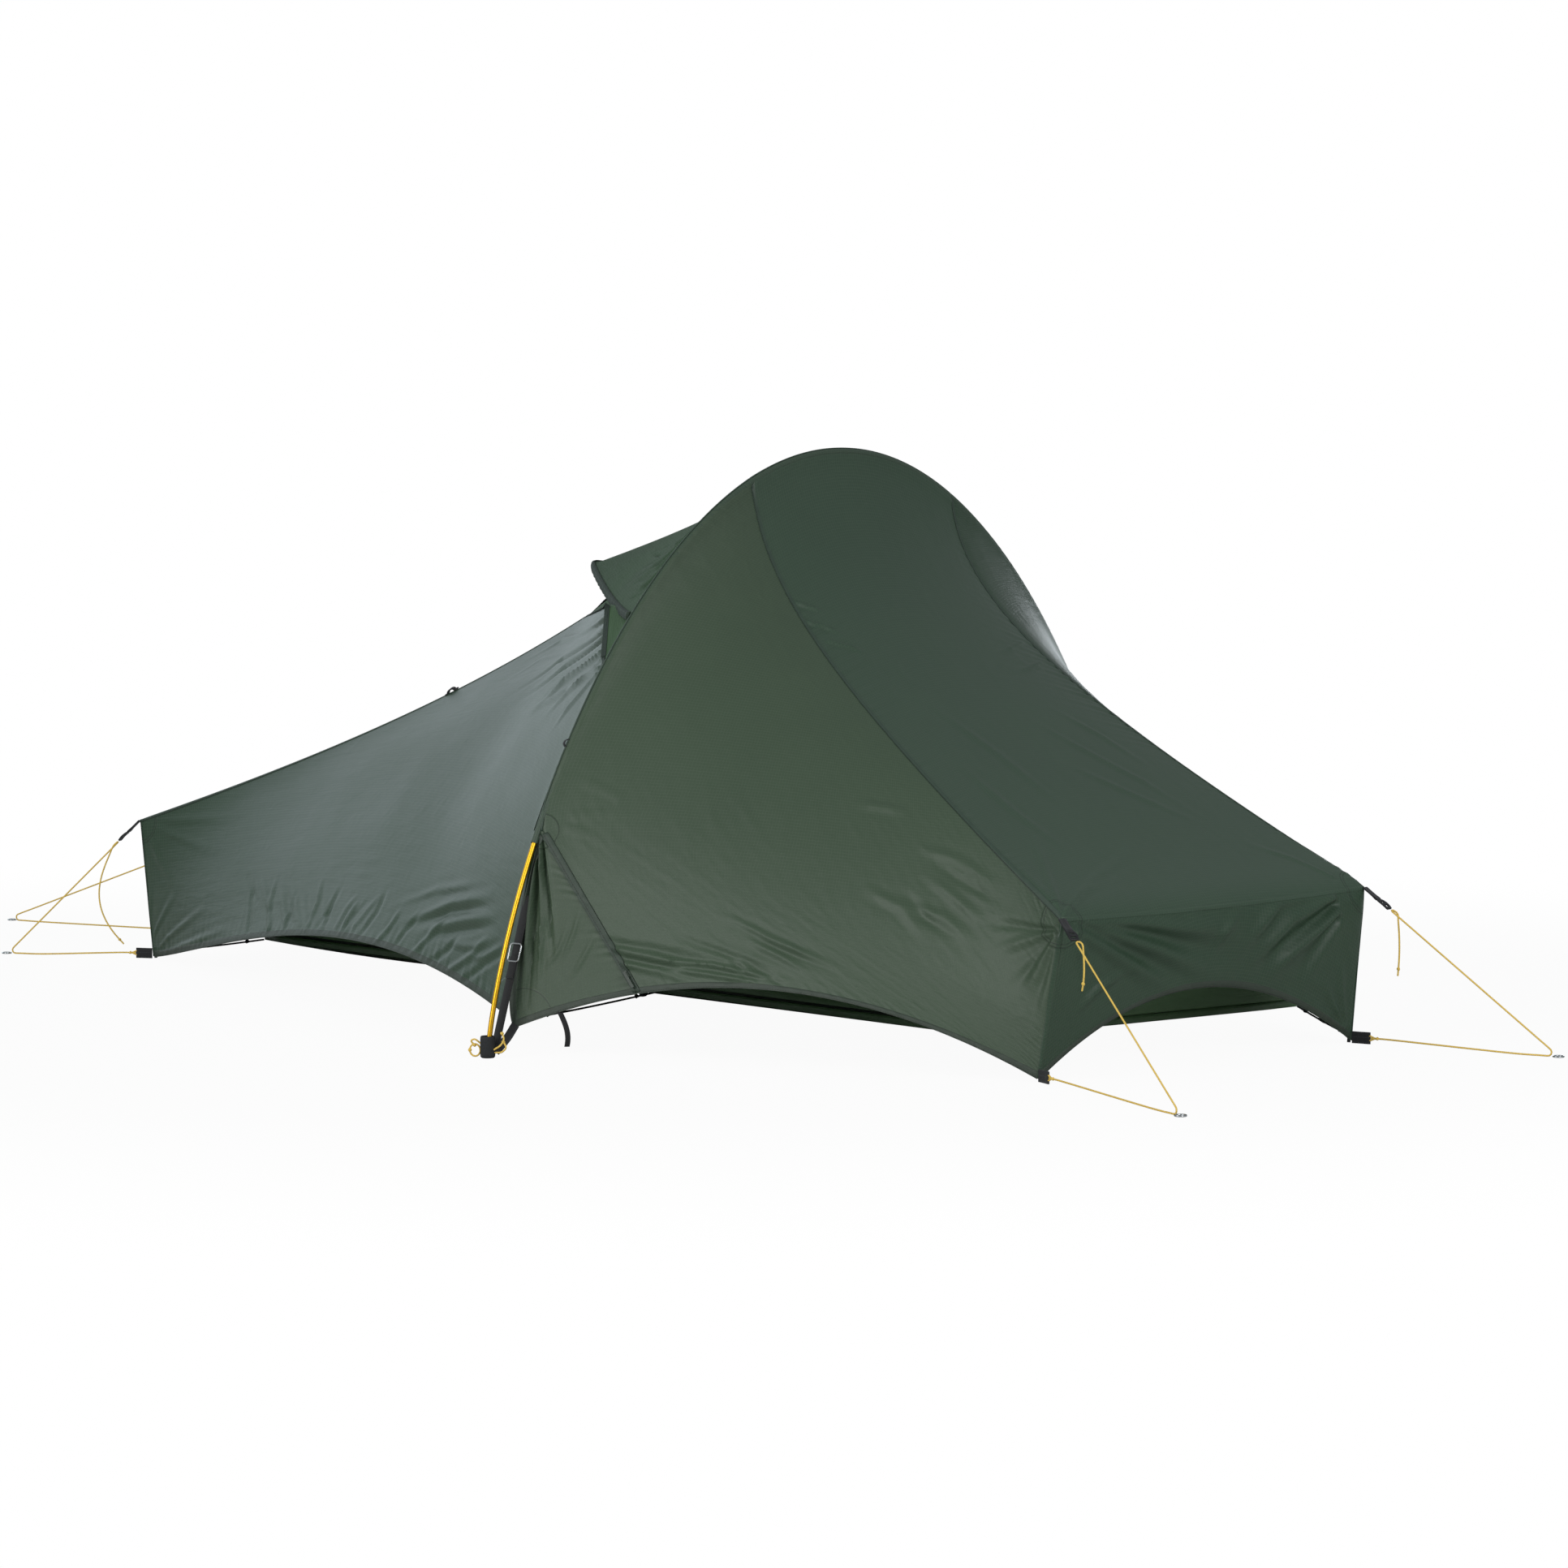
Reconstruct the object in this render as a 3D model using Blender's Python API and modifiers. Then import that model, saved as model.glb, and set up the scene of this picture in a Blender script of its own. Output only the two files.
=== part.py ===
"""One-hoop backpacking tent, pitched, built from separate cut panels, poles, webbing and cords.

Metres, +Z up. The origin is on the ground under the crown of the hoop. The hoop
stands in the plane x = 0, the narrow foot end is at -x, the wide head end at +x,
and the door side faces -y.
"""
import math

import bmesh
import bpy
from mathutils import Matrix, Vector

# Hoop, the arch that sets the whole shape
HOOP_HEIGHT = 0.995
HOOP_HALF_SPAN = 0.916
HOOP_SIDE_POWER = 2.016
HOOP_CROWN_POWER = 1.38
HOOP_SEGMENTS = 64
POLE_RADIUS = 0.00425
POLE_FOOT_CLEARANCE = 0.004
POLE_SECTIONS = 5
SECTION_GAP = 0.0003

# Sleeve that the hoop runs through
SLEEVE_CLEARANCE = 0.0006
SLEEVE_WALL = 0.0009
SLEEVE_END_Y = 0.793
SLEEVE_END_STEP = 0.002
BORE_OVERRUN = 0.010

# Cloth panels
CLOTH = 0.0008
SEAM_INSET = 0.0007
PANEL_ROWS = 10
PANEL_COLUMNS = 8
INSIDE_POINT = Vector((-0.2, 0.0, 0.2))

# Ground corners of the flysheet (x, y) and the tops of its upright corners (x, y, z)
HEM_CLEARANCE = 0.004
NEAR_FOOT_CORNER = (-1.620, -0.170)
FAR_FOOT_CORNER = (-1.620, 0.250)
NEAR_HEAD_CORNER = (0.881, -0.582)
FAR_HEAD_CORNER = (0.971, 0.171)
NEAR_FOOT_TOP = Vector((-1.655, -0.170, 0.272))
FAR_FOOT_TOP = Vector((-1.655, 0.250, 0.272))
NEAR_HEAD_TOP = Vector((0.900, -0.548, 0.257))
FAR_HEAD_TOP = Vector((0.975, 0.200, 0.262))

# Where the flysheet ends beside each pole foot
POLE_CORNER_Y = 0.850
FOOT_SIDE_CORNER = (-0.024, 0.066)
HEAD_SIDE_CORNER = (0.016, 0.052)

# Seams on the hoop, given by their distance from the crown
DOOR_SEAM_Y = -0.250
FAR_SEAM_Y = 0.307
VENT_FOOT_Y = 0.622
BRIM_FOOT_Y = 0.556

# Handles of the seam curves between the hoop, the spine and the corners
DOOR_SEAM_HANDLES = ((0.030, -0.262, 0.720), (0.450, -0.400, 0.500))
FAR_SEAM_HANDLES = ((0.025, 0.305, 0.690), (0.420, 0.262, 0.512))
NEAR_SPINE_HANDLES = ((-1.260, -0.145, 0.375), (-0.860, -0.110, 0.510))
FAR_SPINE_HANDLES = ((-1.260, 0.225, 0.375), (-0.860, 0.190, 0.510))
ZIP_TOP_STEP = Vector((0.004, 0.0, 0.0))

# Vent mouth: knee of its lip and end of the roof spine
LIP_KNEE = (-0.185, 0.400, 0.700)
SPINE_END = (-0.540, 0.080, 0.696)
SPINE_CENTRE_Y = 0.000
MESH_TOP_DROP = 0.005
MESH_LIP_SHIFT = 0.003
MESH_END_INSET = 0.012
MESH_SAG = 0.050

# Hood over the vent
BRIM_REACH = 0.600
BRIM_RISE = 0.074
BRIM_TIP_ROUNDING = 0.012
BRIM_RADIUS = 0.0055
BRIM_HOOP_GAP = 0.012
BRIM_STEPS = 28
HOOD_CREST_SAG = 0.020
HOOD_OVER_BRIM = (0.6, 0.9)
HOOD_FOLDS = 7
HOOD_FOLD_DEPTH = 0.004
HOOD_COLUMNS = 42

# Rise of each hem between its two ground corners
FOOT_SIDE_HEM_RISE = 0.088
FOOT_SIDE_HEM_SKEW = 1.25
DOOR_HEM_RISE = 0.098
HEAD_HEM_RISE = 0.118
FOOT_HEM_RISE = 0.045
HEAD_TOP_SAG = -0.006
ZIP_HEM_FRACTION = 0.232

# Inner tent: the lifted edge of its floor, and the flat middle that lies on the ground
TUB_RIM_HEIGHT = 0.048
TUB_FOLD_HEIGHT = 0.036
TUB_RIM_NEAR_FOOT = (-1.460, -0.020)
TUB_RIM_NEAR_HEAD = (0.640, -0.390)
TUB_RIM_FAR_HEAD = (0.768, 0.306)
TUB_RIM_FAR_FOOT = (-1.460, 0.220)
FLOOR_NEAR_FOOT = (-0.950, 0.090)
FLOOR_NEAR_HEAD = (0.380, -0.060)
FLOOR_FAR_HEAD = (0.420, 0.100)
FLOOR_FAR_FOOT = (-0.950, 0.160)
TUB_CLOTH = 0.0012
INNER_GAP = 0.0002
INNER_RIDGE_GAP = 0.0008
INNER_RIDGE = (
    (-1.450, 0.090, 0.250),
    (-0.900, 0.050, 0.455),
    (-0.420, 0.020, 0.620),
    (-0.060, 0.000, 0.870),
    (0.060, 0.000, 0.790),
    (0.260, -0.020, 0.570),
    (0.480, -0.060, 0.440),
    (0.712, -0.015, 0.250),
)

# Webbing, struts and fittings
FOOT_WEBBING = (0.034, 0.0024, 0.020)
FOOT_WEBBING_GAP = 0.0005
STRUT_RADIUS = 0.003
STRUT_GAP = 0.0006
STRUT_SEAM_SHARE = 0.1
STRUT_FOOT_CLEARANCE = 0.001
STRUT_TOP_CLEARANCE = 0.014
GUY_WEBBING = (0.034, 0.013, 0.0018)
GUY_WEBBING_GAP = 0.0006
TENSIONER = (0.024, 0.017, 0.0055)
FITTING_GAP = 0.0005
CUP_RADIUS = 0.0125
CUP_HEIGHT = 0.036
CUP_SEAT_GAP = 0.0015
CUP_STRAP_END = (0.003, 0.012)
STRAP = (0.017, 0.0016)
STRAP_TOP_SHARE = 0.645
STRAP_FOOT = (0.004, -0.876, 0.040)
RING_WIRE = 0.0014
RING_SIZE = (0.024, 0.030)
RING_CORNER = 0.005
RING_CORNER_STEPS = 4
RING_FRACTION = 0.42

# Cords
GUY_RADIUS = 0.00125
GUY_KNOT_RADIUS = 0.0030
GUY_GROUND_HEIGHT = 0.0016
GUY_KNOT_STEP = 0.012
GUY_BEND_STEP = 0.006
GUY_TURN_POINTS = 5
SHOCK_RADIUS = 0.0015
HOOK_RADIUS = 0.0040
TAIL_TURN = 0.0034
TAIL_POINTS = 9
TAIL_SWAY = 0.9
TAIL_FOOT_NEAR = (0.195, 0.034, 0.030)
TAIL_HEAD_NEAR = (0.072, 0.006, 0.004)
TAIL_HEAD_FAR = (0.105, 0.004, 0.000)
TAIL_FOOT_FAR = (0.110, 0.006, 0.004)
PEG_WIRE = 0.0016
PEG_RING_RADIUS = 0.0085
PEG_RING_TURNS = 16
PEG_GROUND_GAP = 0.0002
CORD_GAP = 0.0006

# Ground points of the four guy lines
PEG_NEAR_FOOT = (-1.912, -0.295)
PEG_FAR_FOOT = (-2.447, 0.182)
PEG_NEAR_HEAD = (1.292, -0.774)
PEG_FAR_HEAD = (1.343, 0.221)

# Zip fittings and door strap
SLIDER = (0.009, 0.0045, 0.014)
SLIDER_EDGE = 0.0010
PULL = (0.0055, 0.0014, 0.030)
PULL_EDGE = 0.0004
PULL_OVERLAP = 0.003
ZIP_START = 0.030
SLIDER_GAP = 0.0002
DOOR_STRAP = (0.0095, 0.0016)
DOOR_STRAP_HANG = 0.058
DOOR_STRAP_GAP = 0.0002
DOOR_STRAP_SHARE = 0.075
DOOR_STRAP_CURL = (0.016, 0.004, 2.2)
DOOR_STRAP_ACROSS = (0.35, 0.94, 0.0)
DOOR_STRAP_STEPS = 6

# Spare guy loop on the spine seam
GUY_LOOP_SHARE = 0.690
GUY_LOOP_STANDOFF = 0.0088
GUY_LOOP_WIRE = 0.0018
GUY_LOOP_SIZE = (0.008, 0.006)
GUY_LOOP_OUTWARD = Vector((0.0, -0.35, 0.9))
GUY_LOOP_TURNS = 12

# Stretch cords that draw the inner tent out to the corners
SHOCK_STEPS = 10
SHOCK_RIM_DROP = Vector((0.0, 0.0, -0.012))
SHOCK_RIM_GAP = 0.0020
SHOCK_STRUT_HEIGHT = 0.012
SHOCK_STRUT_GAP = 0.0008
SHOCK_DOOR_START = (0.005, 0.007)
SHOCK_DOOR_GAP = 0.0018
SHOCK_CORNER_HOOK = 0.5
SHOCK_DOOR_HOOK = 0.9
SHOCK_DOOR_SHARE = 0.585

# Cord loop at the near pole foot
FOOT_LOOP_CENTRE = (-0.021, 0.008, 0.012)
FOOT_LOOP_SIZE = Vector((0.008, 0.004, 0.010))
FOOT_LOOP_TURNS = 14

# Colours from the photograph (linear), roughness, metallic
GREEN_FLY = ((0.030, 0.070, 0.042), 0.45, 0.0)
GREEN_DOOR = ((0.044, 0.078, 0.038), 0.50, 0.0)
GREEN_INNER = ((0.022, 0.060, 0.030), 0.60, 0.0)
GREEN_MESH = ((0.060, 0.130, 0.060), 0.70, 0.0)
BLACK_WEB = ((0.014, 0.014, 0.016), 0.80, 0.0)
BLACK_PLASTIC = ((0.012, 0.012, 0.013), 0.45, 0.0)
YELLOW_CORD = ((0.720, 0.400, 0.055), 0.75, 0.0)
GOLD_TUBE = ((0.830, 0.450, 0.035), 0.25, 1.0)
STEEL = ((0.640, 0.650, 0.660), 0.25, 1.0)
CARBON = ((0.020, 0.020, 0.022), 0.40, 0.0)


# Scene, collections and materials

def new_collection(name):
    collection = bpy.data.collections.new(name)
    bpy.context.scene.collection.children.link(collection)
    return collection


def clear_scene():
    for item in list(bpy.data.objects):
        bpy.data.objects.remove(item, do_unlink=True)


clear_scene()
TENT = new_collection("tent")
CUTTERS = new_collection("cutters")


def material(name, look):
    found = bpy.data.materials.get(name)
    if found:
        return found
    colour, roughness, metallic = look
    made = bpy.data.materials.new(name)
    made.use_nodes = True
    shader = made.node_tree.nodes["Principled BSDF"]
    shader.inputs["Base Color"].default_value = (*colour, 1.0)
    shader.inputs["Roughness"].default_value = roughness
    shader.inputs["Metallic"].default_value = metallic
    made.diffuse_color = (*colour, 1.0)
    return made


def put(name, mesh, look, group=None):
    item = bpy.data.objects.new(name, mesh)
    (group or TENT).objects.link(item)
    mesh.materials.clear()
    mesh.materials.append(material(name + "_finish", look))
    return item


def bake(item):
    """Applies the modifiers of an object and leaves one clean mesh."""
    depsgraph = bpy.context.evaluated_depsgraph_get()
    result = bpy.data.meshes.new_from_object(item.evaluated_get(depsgraph))
    item.modifiers.clear()
    item.data = result
    return item


def face_outward(item):
    shape = bmesh.new()
    shape.from_mesh(item.data)
    bmesh.ops.recalc_face_normals(shape, faces=shape.faces)
    shape.to_mesh(item.data)
    shape.free()
    return item


# Building blocks

def panel(name, rails, look, rows=PANEL_ROWS, columns=PANEL_COLUMNS, bulge=0.0, folds=(0, 0.0)):
    """A cut panel between four edge functions of 0..1: bottom, top, left and right."""
    bottom, top, left, right = rails
    grid = []
    for i in range(rows + 1):
        v = i / rows
        line = []
        for j in range(columns + 1):
            u = j / columns
            ruled_v = bottom(u).lerp(top(u), v)
            ruled_u = left(v).lerp(right(v), u)
            low = bottom(0.0).lerp(bottom(1.0), u)
            high = top(0.0).lerp(top(1.0), u)
            line.append(ruled_v + ruled_u - low.lerp(high, v))
        grid.append(line)
    if bulge:
        centre = sum((p for line in grid for p in line), Vector()) / ((rows + 1) * (columns + 1))
        wide = grid[rows // 2][-1] - grid[rows // 2][0]
        tall = grid[-1][columns // 2] - grid[0][columns // 2]
        across = wide.cross(tall).normalized()
        if across.dot(centre - INSIDE_POINT) < 0:
            across.negate()
        count, depth = folds
        for i in range(rows + 1):
            for j in range(columns + 1):
                amount = math.sin(math.pi * i / rows) * math.sin(math.pi * j / columns)
                wave = depth * math.cos(2.0 * math.pi * count * j / columns)
                grid[i][j] = grid[i][j] + across * ((bulge + wave) * amount)
    inset_edges(grid)
    mesh = bpy.data.meshes.new(name)
    points = [p for line in grid for p in line]
    step = columns + 1
    faces = []
    for i in range(rows):
        for j in range(columns):
            a = i * step + j
            faces.append((a, a + 1, a + step + 1, a + step))
    mesh.from_pydata(points, [], faces)
    item = put(name, mesh, look)
    return thicken(item, CLOTH)


def inset_edges(grid):
    """Draws each edge of a grid in by the seam inset, so that sewn panels never share space."""
    last_row = len(grid) - 1
    last_column = len(grid[0]) - 1
    for j in range(last_column + 1):
        for edge, inner in ((0, 1), (last_row, last_row - 1)):
            step = grid[inner][j] - grid[edge][j]
            grid[edge][j] = grid[edge][j] + step.normalized() * SEAM_INSET
    for i in range(last_row + 1):
        for edge, inner in ((0, 1), (last_column, last_column - 1)):
            step = grid[i][inner] - grid[i][edge]
            grid[i][edge] = grid[i][edge] + step.normalized() * SEAM_INSET


def thicken(item, thickness):
    solid = item.modifiers.new("cloth", "SOLIDIFY")
    solid.thickness = thickness
    solid.offset = 0.0
    solid.use_even_offset = True
    bake(item)
    return face_outward(item)


def flat_panel(name, corners, look):
    """A flat cut panel from its corner points, drawn in by the seam inset."""
    centre = sum(corners, Vector()) / len(corners)
    mesh = bpy.data.meshes.new(name)
    inner = [p + (centre - p).normalized() * (2.0 * SEAM_INSET) for p in corners]
    mesh.from_pydata(inner, [], [tuple(range(len(inner)))])
    item = put(name, mesh, look)
    return thicken(item, CLOTH)


def rod(name, points, radius, look, sides=2, closed=False, radii=None, group=None):
    """A round rod or cord along points, with closed ends."""
    curve = bpy.data.curves.new(name, "CURVE")
    curve.dimensions = "3D"
    curve.bevel_depth = radius
    curve.bevel_resolution = sides
    curve.use_fill_caps = not closed
    spline = curve.splines.new("POLY")
    spline.points.add(len(points) - 1)
    for k, point in enumerate(points):
        spline.points[k].co = (*point, 1.0)
        spline.points[k].radius = radii[k] if radii else 1.0
    spline.use_cyclic_u = closed
    item = bpy.data.objects.new(name, curve)
    (group or TENT).objects.link(item)
    depsgraph = bpy.context.evaluated_depsgraph_get()
    mesh = bpy.data.meshes.new_from_object(item.evaluated_get(depsgraph))
    bpy.data.objects.remove(item, do_unlink=True)
    shape = bmesh.new()
    shape.from_mesh(mesh)
    bmesh.ops.remove_doubles(shape, verts=shape.verts, dist=1e-6)
    bmesh.ops.recalc_face_normals(shape, faces=shape.faces)
    shape.to_mesh(mesh)
    shape.free()
    return put(name, mesh, look, group)


def axes_along(direction, up):
    """Turns local X to the direction and local Z as near to up as it can be."""
    x = Vector(direction).normalized()
    y = Vector(up).cross(x).normalized()
    z = x.cross(y)
    return Matrix((x, y, z)).transposed()


def bar(name, start, direction, up, size, look, bevel=0.0, group=None):
    """A flat bar of size (length, width, thickness) that starts at a point."""
    length, width, thick = size
    shape = bmesh.new()
    bmesh.ops.create_cube(shape, size=1.0)
    bmesh.ops.scale(shape, vec=(length, width, thick), verts=shape.verts)
    bmesh.ops.translate(shape, vec=(length / 2.0, 0.0, 0.0), verts=shape.verts)
    turn = axes_along(direction, up).to_4x4()
    bmesh.ops.transform(shape, matrix=Matrix.Translation(Vector(start)) @ turn, verts=shape.verts)
    mesh = bpy.data.meshes.new(name)
    shape.to_mesh(mesh)
    shape.free()
    item = put(name, mesh, look, group)
    if bevel:
        edge = item.modifiers.new("edge", "BEVEL")
        edge.width = bevel
        edge.segments = 2
        bake(item)
    return face_outward(item)


def ribbon(name, points, across, width, thick, look):
    """A strap of constant width that bends along points."""
    mesh = bpy.data.meshes.new(name)
    half = Vector(across).normalized() * (width / 2.0)
    rows = []
    faces = []
    for point in points:
        rows.append(Vector(point) - half)
        rows.append(Vector(point) + half)
    for k in range(len(points) - 1):
        faces.append((2 * k, 2 * k + 1, 2 * k + 3, 2 * k + 2))
    mesh.from_pydata(rows, [], faces)
    item = put(name, mesh, look)
    return thicken(item, thick)


def cut(item, cutter):
    cutter.hide_render = True
    cutter.display_type = "WIRE"
    hole = item.modifiers.new("cut", "BOOLEAN")
    hole.operation = "DIFFERENCE"
    hole.solver = "EXACT"
    hole.object = cutter
    bake(item)
    return face_outward(item)


# Curves that the panels share

def line(a, b):
    a = Vector(a)
    b = Vector(b)
    return lambda t: a.lerp(b, t)


def bezier(a, b, c, d):
    a, b, c, d = (Vector(p) for p in (a, b, c, d))

    def at(t):
        s = 1.0 - t
        return a * s ** 3 + b * (3 * s * s * t) + c * (3 * s * t * t) + d * t ** 3

    return at


def chain(pieces):
    """Joins edge functions end to end, sharing 0..1 by their lengths."""
    lengths = []
    for piece in pieces:
        steps = [piece(k / 12) for k in range(13)]
        lengths.append(sum((q - p).length for p, q in zip(steps, steps[1:])))
    total = sum(lengths)

    def at(t):
        along = min(max(t, 0.0), 1.0) * total
        for piece, length in zip(pieces, lengths):
            if along <= length or piece is pieces[-1]:
                return piece(min(along / length, 1.0))
            along -= length

    return at


def reverse(edge):
    return lambda t: edge(1.0 - t)


def hoop_height(y):
    inside = max(1.0 - abs(y / HOOP_HALF_SPAN) ** HOOP_SIDE_POWER, 0.0)
    return HOOP_HEIGHT * inside ** (1.0 / HOOP_CROWN_POWER)


def hoop_point(y, x=0.0, drop=0.0):
    return Vector((x, y, hoop_height(y) - drop))


def hoop_edge(start_y, end_y, x, drop=0.0):
    start = math.asin(start_y / HOOP_HALF_SPAN)
    end = math.asin(end_y / HOOP_HALF_SPAN)
    return lambda t: hoop_point(HOOP_HALF_SPAN * math.sin(start + (end - start) * t), x, drop)


def hem(start, end, rise, skew=1.0):
    """A hem cut as a shallow arch between two low points."""
    a = Vector(start)
    b = Vector(end)

    def at(t):
        s = t ** skew
        return a.lerp(b, t) + Vector((0.0, 0.0, rise * 4.0 * s * (1.0 - s)))

    return at


def ground(corner):
    return Vector((corner[0], corner[1], HEM_CLEARANCE))


def mirrored(point):
    return Vector((point[0], -point[1], point[2]))


SLEEVE_BORE = POLE_RADIUS + SLEEVE_CLEARANCE
SLEEVE_RADIUS = SLEEVE_BORE + SLEEVE_WALL
SEAM_X = SLEEVE_RADIUS + CLOTH

near_pole_foot_side = Vector((FOOT_SIDE_CORNER[0], -POLE_CORNER_Y, FOOT_SIDE_CORNER[1]))
near_pole_head_side = Vector((HEAD_SIDE_CORNER[0], -POLE_CORNER_Y, HEAD_SIDE_CORNER[1]))
far_pole_foot_side = mirrored(near_pole_foot_side)
far_pole_head_side = mirrored(near_pole_head_side)

near_knee = Vector((LIP_KNEE[0], -LIP_KNEE[1], LIP_KNEE[2]))
far_knee = Vector(LIP_KNEE)
near_spine_end = Vector((SPINE_END[0], SPINE_CENTRE_Y - SPINE_END[1], SPINE_END[2]))
far_spine_end = Vector((SPINE_END[0], SPINE_CENTRE_Y + SPINE_END[1], SPINE_END[2]))

door_seam = bezier(hoop_point(DOOR_SEAM_Y, SEAM_X), *DOOR_SEAM_HANDLES, NEAR_HEAD_TOP)
far_seam = bezier(hoop_point(FAR_SEAM_Y, SEAM_X), *FAR_SEAM_HANDLES, FAR_HEAD_TOP)
near_spine_seam = bezier(NEAR_FOOT_TOP, *NEAR_SPINE_HANDLES, near_spine_end)
far_spine_seam = bezier(FAR_FOOT_TOP, *FAR_SPINE_HANDLES, far_spine_end)
door_hem = hem(near_pole_head_side, ground(NEAR_HEAD_CORNER), DOOR_HEM_RISE)
zip_foot = door_hem(ZIP_HEM_FRACTION)
near_sleeve_end = hoop_point(-SLEEVE_END_Y, SEAM_X)
zip_line = line(near_sleeve_end + ZIP_TOP_STEP, zip_foot)

# Corners with a strut: ground point, top point and a point on each of the two walls, low and high
STRUT_CORNERS = {
    "foot_near": (
        NEAR_FOOT_CORNER, NEAR_FOOT_TOP,
        (FAR_FOOT_CORNER, near_pole_foot_side),
        (FAR_FOOT_TOP, near_spine_seam(STRUT_SEAM_SHARE)),
    ),
    "foot_far": (
        FAR_FOOT_CORNER, FAR_FOOT_TOP,
        (NEAR_FOOT_CORNER, far_pole_foot_side),
        (NEAR_FOOT_TOP, far_spine_seam(STRUT_SEAM_SHARE)),
    ),
    "head_far": (
        FAR_HEAD_CORNER, FAR_HEAD_TOP,
        (NEAR_HEAD_CORNER, far_pole_head_side),
        (NEAR_HEAD_TOP, far_seam(1.0 - STRUT_SEAM_SHARE)),
    ),
}


# Flysheet

def build_flysheet():
    near_vent_foot = hoop_point(-VENT_FOOT_Y, -SEAM_X)
    far_vent_foot = hoop_point(VENT_FOOT_Y, -SEAM_X)
    near_side_edge = chain([
        line(near_pole_foot_side, hoop_point(-SLEEVE_END_Y, -SEAM_X)),
        hoop_edge(-SLEEVE_END_Y, -VENT_FOOT_Y, -SEAM_X),
        line(near_vent_foot, near_knee),
    ])
    panel(
        "foot_side_panel_near",
        (
            hem(ground(NEAR_FOOT_CORNER), near_pole_foot_side, FOOT_SIDE_HEM_RISE, FOOT_SIDE_HEM_SKEW),
            chain([near_spine_seam, line(near_spine_end, near_knee)]),
            line(ground(NEAR_FOOT_CORNER), NEAR_FOOT_TOP),
            near_side_edge,
        ),
        GREEN_FLY, rows=12, columns=14,
    )
    far_side_edge = chain([
        line(far_pole_foot_side, hoop_point(SLEEVE_END_Y, -SEAM_X)),
        hoop_edge(SLEEVE_END_Y, VENT_FOOT_Y, -SEAM_X),
        line(far_vent_foot, far_knee),
    ])
    panel(
        "foot_side_panel_far",
        (
            hem(ground(FAR_FOOT_CORNER), far_pole_foot_side, FOOT_SIDE_HEM_RISE, FOOT_SIDE_HEM_SKEW),
            chain([far_spine_seam, line(far_spine_end, far_knee)]),
            line(ground(FAR_FOOT_CORNER), FAR_FOOT_TOP),
            far_side_edge,
        ),
        GREEN_FLY, rows=12, columns=14,
    )
    panel(
        "roof_spine_panel",
        (
            near_spine_seam,
            far_spine_seam,
            line(NEAR_FOOT_TOP, FAR_FOOT_TOP),
            line(near_spine_end, far_spine_end),
        ),
        GREEN_FLY, rows=4, columns=14,
    )
    panel(
        "foot_end_panel",
        (
            hem(ground(NEAR_FOOT_CORNER), ground(FAR_FOOT_CORNER), FOOT_HEM_RISE),
            line(NEAR_FOOT_TOP, FAR_FOOT_TOP),
            line(ground(NEAR_FOOT_CORNER), NEAR_FOOT_TOP),
            line(ground(FAR_FOOT_CORNER), FAR_FOOT_TOP),
        ),
        GREEN_FLY, rows=5, columns=6,
    )
    door_side = chain([
        reverse(zip_line),
        hoop_edge(-SLEEVE_END_Y, DOOR_SEAM_Y, SEAM_X),
    ])
    panel(
        "door_panel",
        (
            lambda t: door_hem(ZIP_HEM_FRACTION + (1.0 - ZIP_HEM_FRACTION) * t),
            door_seam,
            door_side,
            line(ground(NEAR_HEAD_CORNER), NEAR_HEAD_TOP),
        ),
        GREEN_DOOR, rows=14, columns=12,
    )
    panel(
        "door_gore_panel",
        (
            lambda t: door_hem(ZIP_HEM_FRACTION * t),
            line(near_sleeve_end, near_sleeve_end + ZIP_TOP_STEP),
            line(near_pole_head_side, near_sleeve_end),
            reverse(zip_line),
        ),
        GREEN_DOOR, rows=8, columns=5,
    )
    head_top_edge = hem(NEAR_HEAD_TOP, FAR_HEAD_TOP, HEAD_TOP_SAG)
    panel(
        "head_roof_panel",
        (
            door_seam,
            far_seam,
            hoop_edge(DOOR_SEAM_Y, FAR_SEAM_Y, SEAM_X),
            head_top_edge,
        ),
        GREEN_FLY, rows=10, columns=14,
    )
    panel(
        "head_end_panel",
        (
            hem(ground(NEAR_HEAD_CORNER), ground(FAR_HEAD_CORNER), HEAD_HEM_RISE),
            head_top_edge,
            line(ground(NEAR_HEAD_CORNER), NEAR_HEAD_TOP),
            line(ground(FAR_HEAD_CORNER), FAR_HEAD_TOP),
        ),
        GREEN_FLY, rows=6, columns=12,
    )
    panel(
        "head_side_panel_far",
        (
            hem(far_pole_head_side, ground(FAR_HEAD_CORNER), DOOR_HEM_RISE),
            far_seam,
            chain([
                line(far_pole_head_side, hoop_point(SLEEVE_END_Y, SEAM_X)),
                hoop_edge(SLEEVE_END_Y, FAR_SEAM_Y, SEAM_X),
            ]),
            line(ground(FAR_HEAD_CORNER), FAR_HEAD_TOP),
        ),
        GREEN_FLY, rows=12, columns=12,
    )


# Hood, its stiff brim and the mesh below it

def brim_point(y):
    share = 1.0 - math.sqrt(y * y + BRIM_TIP_ROUNDING ** 2) / BRIM_FOOT_Y
    share = max(share, 0.0)
    x = -BRIM_HOOP_GAP - (BRIM_REACH - BRIM_HOOP_GAP) * share
    z = hoop_height(BRIM_FOOT_Y) + BRIM_RISE * share * share
    return Vector((x, y, z))


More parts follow.
